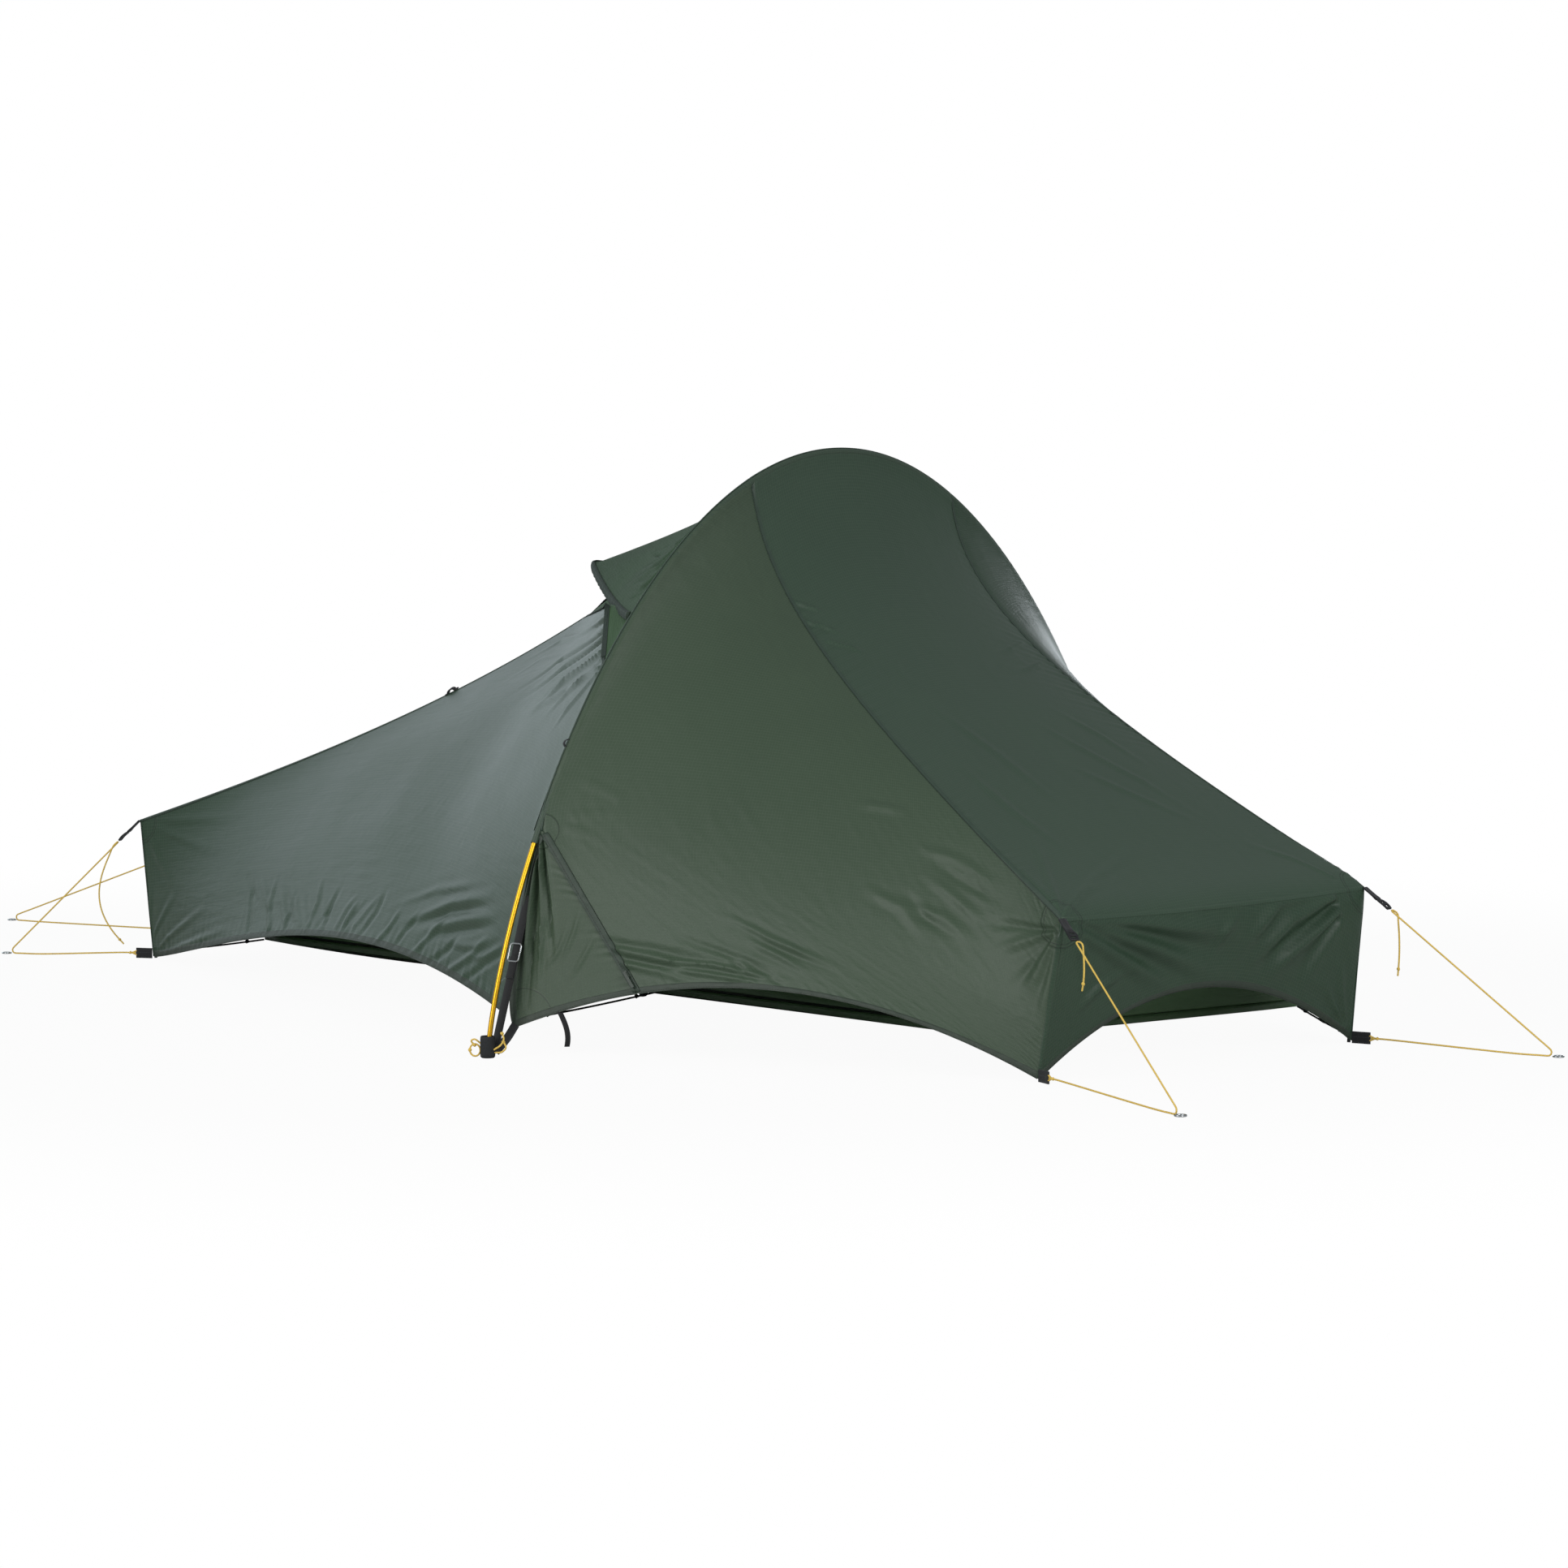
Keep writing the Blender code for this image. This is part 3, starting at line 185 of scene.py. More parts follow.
# Cords, whose woven cover stands a little proud of the core
GUY_RADIUS = 0.0015
GUY_GROUND_HEIGHT = 0.0016
GUY_KNOT_STEP = 0.012
GUY_TURN_ROOM = 0.002
GUY_BEND_STEP = 0.006
SHOCK_RADIUS = 0.0015 * 1.2
TAIL_TURN = 0.0034
TAIL_POINTS = 9
TAIL_SWAY = 0.9
CORD_BEND = 0.0062
CORD_STEP = 0.004
KNOT_SIZE = 0.0016
KNOT_POINTS = 36
PEG_WIRE = 0.0016
PEG_RING_RADIUS = 0.0085
PEG_GROUND_GAP = 0.0002
CORD_GAP = 0.0006

# The corners: name, ground point, top, ground point of the peg, and the guy line's tail (drop, bow, curl)
CORNERS = (
    ("foot_near", NEAR_FOOT_CORNER, NEAR_FOOT_TOP, (-1.912, -0.295), (0.195, 0.034, 0.03)),
    ("foot_far", FAR_FOOT_CORNER, FAR_FOOT_TOP, (-2.447, 0.182), (0.11, 0.006, 0.004)),
    ("head_near", NEAR_HEAD_CORNER, NEAR_HEAD_TOP, (1.292, -0.774), (0.072, 0.006, 0.004)),
    ("head_far", FAR_HEAD_CORNER, FAR_HEAD_TOP, (1.343, 0.221), (0.105, 0.004, 0.0)),
)

# Door strap
DOOR_STRAP = (0.0095, 0.0016)
DOOR_STRAP_HANG = 0.058
DOOR_STRAP_GAP = 0.0002
DOOR_STRAP_SHARE = 0.075
DOOR_STRAP_CURL = (0.016, 0.004, 2.2)
DOOR_STRAP_ACROSS = (0.35, 0.94, 0.0)

# Spare guy loop on the spine seam, and the tabs on the sleeve
TAB_Y = 0.714
GUY_LOOP_SHARE = 0.69
GUY_LOOP_OUTWARD = Vector((0.0, -0.35, 0.9))

# Stretch cords that draw the inner tent out to the corners
SHOCK_STEPS = 10
SHOCK_RIM_DROP = Vector((0.0, 0.0, -0.012))
SHOCK_RIM_GAP = 0.002
SHOCK_STRUT_HEIGHT = 0.012
SHOCK_STRUT_GAP = 0.0008
SHOCK_DOOR_START = (0.005, 0.007)
SHOCK_DOOR_GAP = 0.0018
SHOCK_CORNER_HOOK = 0.5
SHOCK_DOOR_HOOK = 0.9
SHOCK_DOOR_SHARE = 0.585

# Cord loop at the near pole foot
FOOT_LOOP_CENTRE = (-0.021, 0.008, 0.012)
FOOT_LOOP_SIZE = Vector((0.008, 0.004, 0.01))


# Curves that the panels share

def line(a, b):
    a = Vector(a)
    b = Vector(b)
    return lambda t: a.lerp(b, t)


def bezier(a, b, c, d):
    a, b, c, d = (Vector(p) for p in (a, b, c, d))

    def at(t):
        s = 1.0 - t
        return a * s ** 3 + b * (3 * s * s * t) + c * (3 * s * t * t) + d * t ** 3

    return at


def route_length(points):
    return sum((q - p).length for p, q in zip(points, points[1:]))


def edge_lengths(pieces):
    return [route_length([piece(k / 12) for k in range(13)]) for piece in pieces]


def piece_shares(pieces):
    """Where each piece of a chained edge starts, as a share of the whole."""
    lengths = edge_lengths(pieces)
    total = sum(lengths)
    return [sum(lengths[:k]) / total for k in range(len(pieces) + 1)]


def chain(pieces):
    """Joins edge functions end to end, sharing 0..1 by their lengths."""
    lengths = edge_lengths(pieces)
    total = sum(lengths)

    def at(t):
        along = min(max(t, 0.0), 1.0) * total
        for piece, length in zip(pieces, lengths):
            if along <= length or piece is pieces[-1]:
                return piece(min(along / length, 1.0))
            along -= length

    return at


def reverse(edge):
    return lambda t: edge(1.0 - t)


def hoop_height(y):
    inside = max(1.0 - abs(y / HOOP_HALF_SPAN) ** HOOP_SIDE_POWER, 0.0)
    return HOOP_HEIGHT * inside ** (1.0 / HOOP_CROWN_POWER)


def hoop_point(y, x=0.0, drop=0.0):
    return Vector((x, y, hoop_height(y) - drop))


def hoop_edge(start_y, end_y, x, drop=0.0):
    start = math.asin(start_y / HOOP_HALF_SPAN)
    end = math.asin(end_y / HOOP_HALF_SPAN)
    return lambda t: hoop_point(HOOP_HALF_SPAN * math.sin(start + (end - start) * t), x, drop)


def hem(start, end, rise, skew=1.0):
    """A hem cut as a shallow arch between two low points."""
    a = Vector(start)
    b = Vector(end)

    def at(t):
        s = t ** skew
        return a.lerp(b, t) + Vector((0.0, 0.0, rise * 4.0 * s * (1.0 - s)))

    return at


def ground(corner):
    return Vector((corner[0], corner[1], HEM_CLEARANCE))


def mirrored(point):
    return Vector((point[0], -point[1], point[2]))


SLEEVE_BORE = POLE_RADIUS + SLEEVE_CLEARANCE
SLEEVE_RADIUS = SLEEVE_BORE + SLEEVE_WALL
SEAM_X = SLEEVE_RADIUS + CLOTH

near_pole_foot_side = Vector((FOOT_SIDE_CORNER[0], -POLE_CORNER_Y, FOOT_SIDE_CORNER[1]))
near_pole_head_side = Vector((HEAD_SIDE_CORNER[0], -POLE_CORNER_Y, HEAD_SIDE_CORNER[1]))
far_pole_foot_side = mirrored(near_pole_foot_side)
far_pole_head_side = mirrored(near_pole_head_side)

near_knee = mirrored(LIP_KNEE) + NEAR_KNEE_SHIFT
far_knee = Vector(LIP_KNEE) + FAR_KNEE_SHIFT
near_spine_end = Vector((SPINE_END[0], SPINE_CENTRE_Y - SPINE_END[1], SPINE_END[2]))
far_spine_end = Vector((SPINE_END[0], SPINE_CENTRE_Y + SPINE_END[1], SPINE_END[2]))

door_seam = bezier(hoop_point(DOOR_SEAM_Y, SEAM_X), *DOOR_SEAM_HANDLES, NEAR_HEAD_TOP)
far_seam = bezier(hoop_point(FAR_SEAM_Y, SEAM_X), *FAR_SEAM_HANDLES, FAR_HEAD_TOP)
near_spine_seam = bezier(NEAR_FOOT_TOP, *NEAR_SPINE_HANDLES, near_spine_end)
far_spine_seam = bezier(FAR_FOOT_TOP, *FAR_SPINE_HANDLES, far_spine_end)
door_hem = hem(near_pole_head_side, ground(NEAR_HEAD_CORNER), DOOR_HEM_RISE)
zip_foot = door_hem(ZIP_HEM_FRACTION)
near_sleeve_end = hoop_point(-SLEEVE_END_Y, SEAM_X)
zip_line = line(near_sleeve_end + ZIP_TOP_STEP, zip_foot)

# Corners where a cord starts from the strut: ground point, top, and a point on each of the two walls, low
# and high
STRUT_CORNERS = {
    "foot_near": (
        NEAR_FOOT_CORNER, NEAR_FOOT_TOP,
        (FAR_FOOT_CORNER, near_pole_foot_side),
        (FAR_FOOT_TOP, near_spine_seam(STRUT_SEAM_SHARE)),
    ),
    "head_far": (
        FAR_HEAD_CORNER, FAR_HEAD_TOP,
        (NEAR_HEAD_CORNER, far_pole_head_side),
        (NEAR_HEAD_TOP, far_seam(1.0 - STRUT_SEAM_SHARE)),
    ),
}

# Camera, at the photograph's place, angle and lens

PHOTO = 1932
LENS = 111.8
SENSOR = 36.0
CAMERA_AT = Vector((5.4982, -6.6832, 0.9727))
CAMERA_DOWN, CAMERA_ROUND = 3.755, 40.1301
CAMERA_TURN = Euler((math.radians(90.0 - CAMERA_DOWN), 0.0, math.radians(CAMERA_ROUND)))

camera_data = bpy.data.cameras.new("camera")
camera_data.lens = LENS
camera_data.sensor_width = SENSOR
camera_data.clip_end = 60.0
camera = bpy.data.objects.new("camera", camera_data)
camera.location = CAMERA_AT
camera.rotation_euler = CAMERA_TURN
bpy.context.scene.collection.objects.link(camera)
bpy.context.scene.camera = camera


def photo_place(points):
    """Where points of the tent lie in the photograph, in its pixels."""
    local = (points - np.array(CAMERA_AT)) @ np.array(CAMERA_TURN.to_matrix())
    reach = LENS / SENSOR * PHOTO
    return PHOTO / 2.0 + reach * np.stack([local[..., 0], -local[..., 1]], -1) / -local[..., 2:3]


# Making meshes

UPRIGHT = Vector((0.0, 0.0, 1.0))
SAME_PLACE = 1e-6


def as_mesh(shape, name):
    """Ends the work on a shape and gives it as a mesh."""
    mesh = bpy.data.meshes.new(name)
    shape.to_mesh(mesh)
    shape.free()
    return mesh


def weld(shape, capped=True):
    """Joins points in the same place, closes open rims and turns all faces outward."""
    bmesh.ops.remove_doubles(shape, verts=shape.verts, dist=SAME_PLACE)
    rims = [e for e in shape.edges if e.is_boundary]
    if rims and capped:
        bmesh.ops.holes_fill(shape, edges=rims, sides=0)
    bmesh.ops.recalc_face_normals(shape, faces=shape.faces)


def weld_mesh(mesh, capped=True):
    shape = bmesh.new()
    shape.from_mesh(mesh)
    weld(shape, capped)
    shape.to_mesh(mesh)
    shape.free()


def thicken(item, thick, offset=-1.0):
    """Gives a sheet the thickness of its cloth, inward unless the offset says otherwise."""
    wall = item.modifiers.new("cloth", "SOLIDIFY")
    wall.thickness = thick
    wall.offset = offset


def link(name, mesh, finish, slot, body="shelter"):
    """Puts a mesh in the scene as one smooth piece with its finish, and lets it ride on its body."""
    item = bpy.data.objects.new(name, mesh)
    bpy.context.scene.collection.objects.link(item)
    mesh.materials.clear()
    mesh.materials.append(finish)
    mesh.shade_smooth()
    mesh.set_sharp_from_angle(angle=math.radians(50.0))
    if body:
        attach(item, body)
    return item


def surface(name, points, uv, closed=False, capped=True):
    """A smooth mesh from rows and columns of points, with a UV map in metres."""
    points = np.asarray(points, dtype=float)
    uv = np.asarray(uv, dtype=float)
    rows, columns = points.shape[0] - 1, points.shape[1] - 1
    shape = bmesh.new()
    bmesh.ops.create_grid(shape, x_segments=columns, y_segments=rows, size=0.5)
    mesh = as_mesh(shape, name)
    flat = np.empty(len(mesh.vertices) * 3)
    mesh.vertices.foreach_get("co", flat)
    share = flat.reshape(-1, 3)[:, :2] + 0.5
    j = np.rint(share[:, 0] * columns).astype(int)
    i = np.rint(share[:, 1] * rows).astype(int)
    mesh.vertices.foreach_set("co", points[i, j].ravel())
    loops = np.empty(len(mesh.loops), dtype=int)
    mesh.loops.foreach_get("vertex_index", loops)
    layer = mesh.uv_layers.new(name="metres")
    layer.data.foreach_set("uv", uv[i[loops], j[loops]].ravel())
    if closed:
        weld_mesh(mesh, capped)
    mesh.update()
    return mesh


def between(a, b, low, high, t):
    return a * ((high - t) / (high - low)) + b * ((t - low) / (high - low))


def smooth_route(points, step):
    """A smooth curve through points, at about even steps."""
    points = [Vector(p) for p in points]
    ends = [points[0] * 2.0 - points[1]] + points + [points[-1] * 2.0 - points[-2]]
    fine = []
    for k in range(len(points) - 1):
        a, b, c, d = ends[k:k + 4]
        t1 = max((b - a).length, 1e-6) ** 0.5
        t2 = t1 + max((c - b).length, 1e-6) ** 0.5
        t3 = t2 + max((d - c).length, 1e-6) ** 0.5
        for n in range(16):
            t = t1 + (t2 - t1) * n / 16
            ab, bc, cd = between(a, b, 0.0, t1, t), between(b, c, t1, t2, t), between(c, d, t2, t3, t)
            fine.append(between(between(ab, bc, 0.0, t2, t), between(bc, cd, t1, t3, t), t1, t2, t))
    fine.append(points[-1])
    return even(fine, step)


def even(points, step):
    """The same route with its points at even lengths."""
    data = np.array([tuple(p) for p in points])
    along = np.concatenate([[0.0], np.cumsum(np.linalg.norm(np.diff(data, axis=0), axis=1))])
    count = max(int(round(along[-1] / step)), 2)
    want = np.linspace(0.0, along[-1], count + 1)
    return [Vector([np.interp(w, along, data[:, axis]) for axis in range(3)]) for w in want]


def round_section(radius, sides):
    turns = [2.0 * math.pi * k / sides for k in range(sides)]
    return [(radius * math.cos(a), radius * math.sin(a)) for a in turns]


def flat_section(width, thick):
    """The section of a strap: a flat band with rounded edges."""
    w, t = width / 2.0, thick / 2.0
    e = t * 0.35
    return [(-w + e, -t), (-w * 0.5, -t), (0.0, -t), (w * 0.5, -t), (w - e, -t), (w, -t + e), (w, t - e),
            (w - e, t), (w * 0.5, t), (0.0, t), (-w * 0.5, t), (-w + e, t), (-w, t - e), (-w, -t + e)]


def girth(section):
    """The way along a section at each of its points."""
    way = [0.0]
    for (a, b), (c, d) in zip(section, section[1:]):
        way.append(way[-1] + math.hypot(c - a, d - b))
    return way


def headings(path):
    """The direction of a route at each of its points."""
    last = len(path) - 1
    return [(path[min(k + 1, last)] - path[max(k - 1, 0)]).normalized() for k in range(last + 1)]


def sweep(name, path, section, across=None, swell=None, ring=False, capped=True):
    """A section drawn along a path: a cord, a tube or a strap."""
    count = len(path)
    heads = headings([path[-1]] + list(path) + [path[0]])[1:-1] if ring else headings(path)
    side = Vector(across) if across else heads[0].orthogonal()
    rows, uv = [], []
    along = 0.0
    wrap = list(section) + [section[0]]
    around = girth(wrap)
    for k in range(count):
        if across:
            side = Vector(across)
        side = (side - heads[k] * side.dot(heads[k])).normalized()
        up = heads[k].cross(side)
        size = swell[k] if swell else 1.0
        if k:
            along += (path[k] - path[k - 1]).length
        rows.append([tuple(path[k] + side * (a * size) + up * (b * size)) for a, b in wrap])
        uv.append([(along, w) for w in around])
    if ring:
        rows.append(rows[0])
        uv.append([(along + (path[0] - path[-1]).length, w) for w in around])
    return surface(name, rows, uv, closed=True, capped=capped)


def round_piece(name, path, radius, finish, slot="guy_cord", sides=8, body="shelter", **how):
    """A cord, tube or wire along a path, as one piece."""
    return link(name, sweep(name, path, round_section(radius, sides), **how), finish, slot, body)


def knot(name, place, heading, size, radius, finish):
    """A small overhand knot, drawn as a three-lobed loop."""
    z = Vector(heading).normalized()
    x = z.orthogonal().normalized()
    y = z.cross(x)
    loop = []
    for k in range(KNOT_POINTS):
        t = 2.0 * math.pi * k / KNOT_POINTS
        flat = x * (math.sin(t) + 2.0 * math.sin(2.0 * t)) + y * (math.cos(t) - 2.0 * math.cos(2.0 * t))
        loop.append(Vector(place) + (flat * 0.33 - z * (math.sin(3.0 * t) * 0.8)) * size)
    return round_piece(name, loop, radius, finish, ring=True)


# Finishes

def linear(code):
    """An sRGB hex colour as the linear colour that a shader takes."""
    parts = [int(code[k:k + 2], 16) / 255.0 for k in (1, 3, 5)]
    return (*(p / 12.92 if p <= 0.04045 else ((p + 0.055) / 1.055) ** 2.4 for p in parts), 1.0)


def feed(tree, node, inputs):
    """Gives inputs of a node their values, or links them to what another node gives."""
    for name, value in inputs.items():
        socket = node.inputs[name]
        if isinstance(value, bpy.types.NodeSocket):
            tree.links.new(value, socket)
        else:
            socket.default_value = value


def add(tree, kind, inputs=None, **settings):
    """Adds one node with its settings, and what feeds its inputs."""
    node = tree.nodes.new(kind)
    for name, value in settings.items():
        setattr(node, name, value)
    feed(tree, node, inputs or {})
    return node


def new_finish(name):
    finish = bpy.data.materials.new(name)
    finish.use_nodes = True
    tree = finish.node_tree
    return finish, tree, tree.nodes["Principled BSDF"]


def metres(tree):
    """The place on the cloth, in metres along and across it."""
    return add(tree, "ShaderNodeUVMap", uv_map="metres").outputs[0]


def split(tree, vector):
    return add(tree, "ShaderNodeSeparateXYZ", {"Vector": vector}).outputs


def in_space(tree):
    """The place in the tent's own frame."""
    return add(tree, "ShaderNodeTexCoord").outputs["Object"]


def noise(tree, vector, scale, detail, rough=0.5, distortion=0.0, **settings):
    inputs = {"Vector": vector, "Scale": scale, "Detail": detail, "Roughness": rough, "Distortion": distortion}
    return add(tree, "ShaderNodeTexNoise", inputs, **settings).outputs[0]


def stretched(tree, vector, along, across):
    """A place whose two directions have frequencies of their own."""
    return add(tree, "ShaderNodeMapping", {"Vector": vector, "Scale": (along, across, 1.0)}).outputs[0]


def ramp(tree, value, low, high, start=0.0, end=1.0, **settings):
    """Takes the range from low to high over to the range from start to end."""
    inputs = {"Value": value, "From Min": low, "From Max": high, "To Min": start, "To Max": end}
    return add(tree, "ShaderNodeMapRange", inputs, **settings).outputs[0]


def sums(tree, operation, first, second=0.0):
    return add(tree, "ShaderNodeMath", {0: first, 1: second}, operation=operation).outputs[0]


def waves(tree, value, frequency):
    """Ridges that rise and fall from 0 to 0.5 along a value."""
    return sums(tree, "PINGPONG", sums(tree, "MULTIPLY", value, frequency), 0.5)


def close_to(tree, value, middle, reach):
    """1 where a value lies within reach of a middle, else 0."""
    return sums(tree, "LESS_THAN", sums(tree, "ABSOLUTE", sums(tree, "SUBTRACT", value, middle)), reach)


def tint(tree, share, low, high):
    """A colour between two, each a hex colour or what another node gives, by a share from 0 to 1."""
    low, high = (linear(c) if isinstance(c, str) else c for c in (low, high))
    return add(tree, "ShaderNodeMix", {0: share, 6: low, 7: high}, data_type="RGBA").outputs[2]


def relief(tree, *layers):
    """The normal of a surface from layers of height, each with its depth in metres."""
    normal = None
    for height, depth in layers:
        inputs = {"Height": height, "Distance": depth, "Strength": 1.0}
        if normal is not None:
            inputs["Normal"] = normal
        normal = add(tree, "ShaderNodeBump", inputs).outputs[0]
    return normal


def stitches(tree, along, across, rows):
    """A mask of stitch rows: dashes of thread at distances across a strip, in metres."""
    dash = sums(tree, "LESS_THAN", sums(tree, "FRACT", sums(tree, "DIVIDE", along, STITCH_PITCH)), STITCH_SHARE)
    total = 0.0
    for row in rows:
        total = sums(tree, "MAXIMUM", total, close_to(tree, across, row, THREAD / 2.0))
    return sums(tree, "MULTIPLY", dash, total)


STITCH_PITCH, STITCH_SHARE, THREAD = 0.0045, 0.66, 0.0008
RIPSTOP_PITCH_MM = 6.0
CRINKLE_MM = 30.0
PATCH_THREAD, PATCH_EDGE = 0.0009, 0.0025


def coated_ripstop(name, low, high, rough, crinkle=1.0, lines=(7.0, 42.0), patches=()):
    """Ripstop nylon with a silicone coat: smooth dark cloth with a broad pale gloss, a raised grid of
    thicker threads and the fine crinkle of thin coated cloth under tension. Lines holds the frequency
    of the long creases along and across its pull; patches are sewn-on corners, each with its centre
    and radius."""
    finish, tree, shader = new_finish(name)
    cloth, place = metres(tree), in_space(tree)
    drift = noise(tree, place, 5.0, 3.0)
    grid = add(tree, "ShaderNodeTexBrick",
               {"Vector": cloth, "Scale": 1000.0 / RIPSTOP_PITCH_MM * 0.5, "Mortar Size": 0.035, "Mortar Smooth": 0.6,
                "Brick Width": 0.5, "Row Height": 0.5}, offset=0.0, squash=1.0).outputs["Fac"]
    colour = tint(tree, sums(tree, "MULTIPLY", grid, 0.18), tint(tree, drift, low, high), "#6c7a68")
    creases = noise(tree, stretched(tree, cloth, *lines), 1.0, 3.0, 0.55, 0.35)
    fine = noise(tree, cloth, 1000.0 / CRINKLE_MM, 4.0, 0.62, 0.5, noise_type="RIDGED_MULTIFRACTAL")
    layers = [(creases, 0.0014 * crinkle), (fine, 0.00035 * crinkle), (grid, 0.00008)]
    rims = steps = 0.0
    for centre, radius in patches:
        away = add(tree, "ShaderNodeVectorMath", {0: place, 1: tuple(centre)}, operation="DISTANCE").outputs["Value"]
        rims = sums(tree, "MAXIMUM", rims, close_to(tree, away, radius, PATCH_THREAD))
        steps = sums(tree, "MAXIMUM", steps, ramp(tree, away, radius, radius + PATCH_EDGE, 1.0, 0.0))
    if patches:
        colour = tint(tree, sums(tree, "MULTIPLY", rims, 0.55), colour, "#1c261e")
        layers.append((steps, 0.0007))
    feed(tree, shader, {"Base Color": colour, "Normal": relief(tree, *layers), "IOR": 1.5,
                        "Roughness": ramp(tree, drift, 0.0, 1.0, rough - 0.05, rough + 0.05)})
    return finish


CORNER_PATCHES = [(top, radius) for top in (NEAR_FOOT_TOP, FAR_FOOT_TOP, NEAR_HEAD_TOP, FAR_HEAD_TOP)
                  for radius in (0.046, 0.041)]
POLE_PATCHES = [(near_pole_foot_side, 0.06), (far_pole_foot_side, 0.06)]
DOOR_PATCHES = [(NEAR_HEAD_TOP, 0.046), (NEAR_HEAD_TOP, 0.041), (near_pole_head_side, 0.058),
                (near_sleeve_end, 0.03)]
FLY_CLOTH = coated_ripstop("silicone_ripstop_green", "#29402e", "#324a36", 0.44,
                           patches=CORNER_PATCHES + POLE_PATCHES)
SPINE_CLOTH = coated_ripstop("silicone_ripstop_green_spine", "#283e2d", "#2f4634", 0.44, 0.7,
                             patches=CORNER_PATCHES)
DOOR_CLOTH = coated_ripstop("silicone_ripstop_olive", "#3a4c39", "#425440", 0.5, 0.6, (14.0, 14.0), DOOR_PATCHES)
ROOF_CLOTH = coated_ripstop("silicone_ripstop_roof", "#334938", "#3b513f", 0.46, 0.6, (6.0, 16.0), CORNER_PATCHES)
HOOD_CLOTH = coated_ripstop("silicone_ripstop_hood", "#29402a", "#345434", 0.8, 1.3, (12.0, 60.0))
# The green hue is the cloth's own, but its brightness is raised well above the cloth's dark green: painted light, for
# the light that comes through the fly into the shaded inner tent
INNER_CLOTH = coated_ripstop("breathable_ripstop_dark_green", "#70946a", "#7da276", 0.5, 1.1)
SLEEVE_CLOTH = coated_ripstop("silicone_ripstop_green_sleeve", "#36493a", "#3e5040", 0.5, 0.5, (14.0, 14.0))
BRIM_CLOTH = coated_ripstop("silicone_ripstop_green_brim", "#203027", "#29392f", 0.82, 0.4, (12.0, 12.0))


def binding_tape(name, low, high, rows):
    """Folded binding tape, woven from the same nylon: a little paler than the cloth, ribbed, with one
    row of lockstitch along each edge."""
    finish, tree, shader = new_finish(name)
    along, across = split(tree, metres(tree))[:2]
    drift = noise(tree, in_space(tree), 60.0, 3.0)
    seam_rows = stitches(tree, along, across, rows)
    layers = (waves(tree, along, 700.0), 0.0001), (drift, 0.0012), (sums(tree, "SUBTRACT", 1.0, seam_rows), 0.0004)
    feed(tree, shader, {"Base Color": tint(tree, seam_rows, tint(tree, drift, low, high), "#1b231c"),
                        "Normal": relief(tree, *layers), "Roughness": 0.55})
    return finish


HEM_TAPE = binding_tape("nylon_hem_tape", "#303b31", "#3b473b", (0.0075, 0.0165))
SEAM_TAPE = binding_tape("felled_seam", "#304236", "#3b4e40", (0.0018, 0.0082))
ZIP_TAPE = binding_tape("woven_zip_tape", "#2c3b2f", "#37473a", (0.0016, 0.0078))


def webbing(name, low, high, rows):
    """Woven polyester strap, matt black, with a visible herringbone rib and its rows of stitches."""
    finish, tree, shader = new_finish(name)
    along, across = split(tree, metres(tree))[:2]
    slant = sums(tree, "ABSOLUTE", sums(tree, "SUBTRACT", across, 0.006))
    rib = waves(tree, sums(tree, "ADD", along, slant), 420.0)
    wear = noise(tree, in_space(tree), 140.0, 4.0)
    cloth = tint(tree, sums(tree, "MULTIPLY", rib, wear), low, high)
    feed(tree, shader, {"Base Color": tint(tree, stitches(tree, along, across, rows), cloth, "#3a3d40"),
                        "Normal": relief(tree, (rib, 0.0003), (wear, 0.0002)), "Roughness": 0.72,
                        "Sheen Weight": 0.15})
    return finish


BLACK_WEBBING = webbing("woven_webbing_black", "#131416", "#34373a", (0.002, 0.011))
STRAP_WEBBING = webbing("woven_strap_black", "#121315", "#303336", (0.0022, 0.0148))


def braided(name, low, high, strand_mm):
    """Braided sheath of a thin cord: crossing strands whose crowns catch the light. The crowns are painted paler and
    the gaps between the strands darker: painted highlight and painted shade, over the bump of the same weave.
    """
    finish, tree, shader = new_finish(name)
    along, across = split(tree, metres(tree))[:2]
    one, two = (waves(tree, sums(tree, way, along, across), 1000.0 / strand_mm) for way in ("ADD", "SUBTRACT"))
    weave = sums(tree, "ADD", one, two)
    # The colour follows the weave: painted shade in the gaps between strands, painted highlight on their crowns
    feed(tree, shader, {"Base Color": tint(tree, weave, low, high), "Normal": relief(tree, (weave, 0.0004)),
                        "Roughness": 0.6})
    return finish


YELLOW_CORD = braided("braided_cord_yellow", "#f0b726", "#ffe886", 2.2)
BLACK_CORD = braided("braided_stretch_cord_black", "#101112", "#2c2f31", 1.8)


def anodised(name, low, high, rough):
    """Anodised aluminium tube: satin, drawn along its length, so highlights run as long bright lines."""
    finish, tree, shader = new_finish(name)
    grain = noise(tree, stretched(tree, metres(tree), 3.0, 260.0), 1.0, 3.0)
    feed(tree, shader, {"Base Color": tint(tree, grain, low, high), "Normal": relief(tree, (grain, 0.000002)),
                        "Metallic": 1.0, "Roughness": rough})
    return finish


GOLD_TUBE = anodised("anodised_aluminium_gold", "#e3a01c", "#f6c93e", 0.34)


def hard_finish(name, low, high, rough, metal, grain_mm, depth=0.00004):
    """Wire, rod and moulded parts, which have no cloth to follow and read their place in space."""
    finish, tree, shader = new_finish(name)
    grain = noise(tree, in_space(tree), 1000.0 / grain_mm, 3.0)
    feed(tree, shader, {"Base Color": tint(tree, grain, low, high), "Normal": relief(tree, (grain, depth)),
                        "Metallic": metal, "Roughness": rough})
    return finish


# Bright plated wire, with the faint ripple of bending
STEEL_WIRE = hard_finish("nickel_plated_steel", "#b4b8ba", "#d3d6d7", 0.24, 1.0, 4.0)
# Pulled glass fibre in resin: black, half gloss
STRUT_ROD = hard_finish("pulled_glass_fibre", "#131415", "#232527", 0.38, 0.0, 2.0)
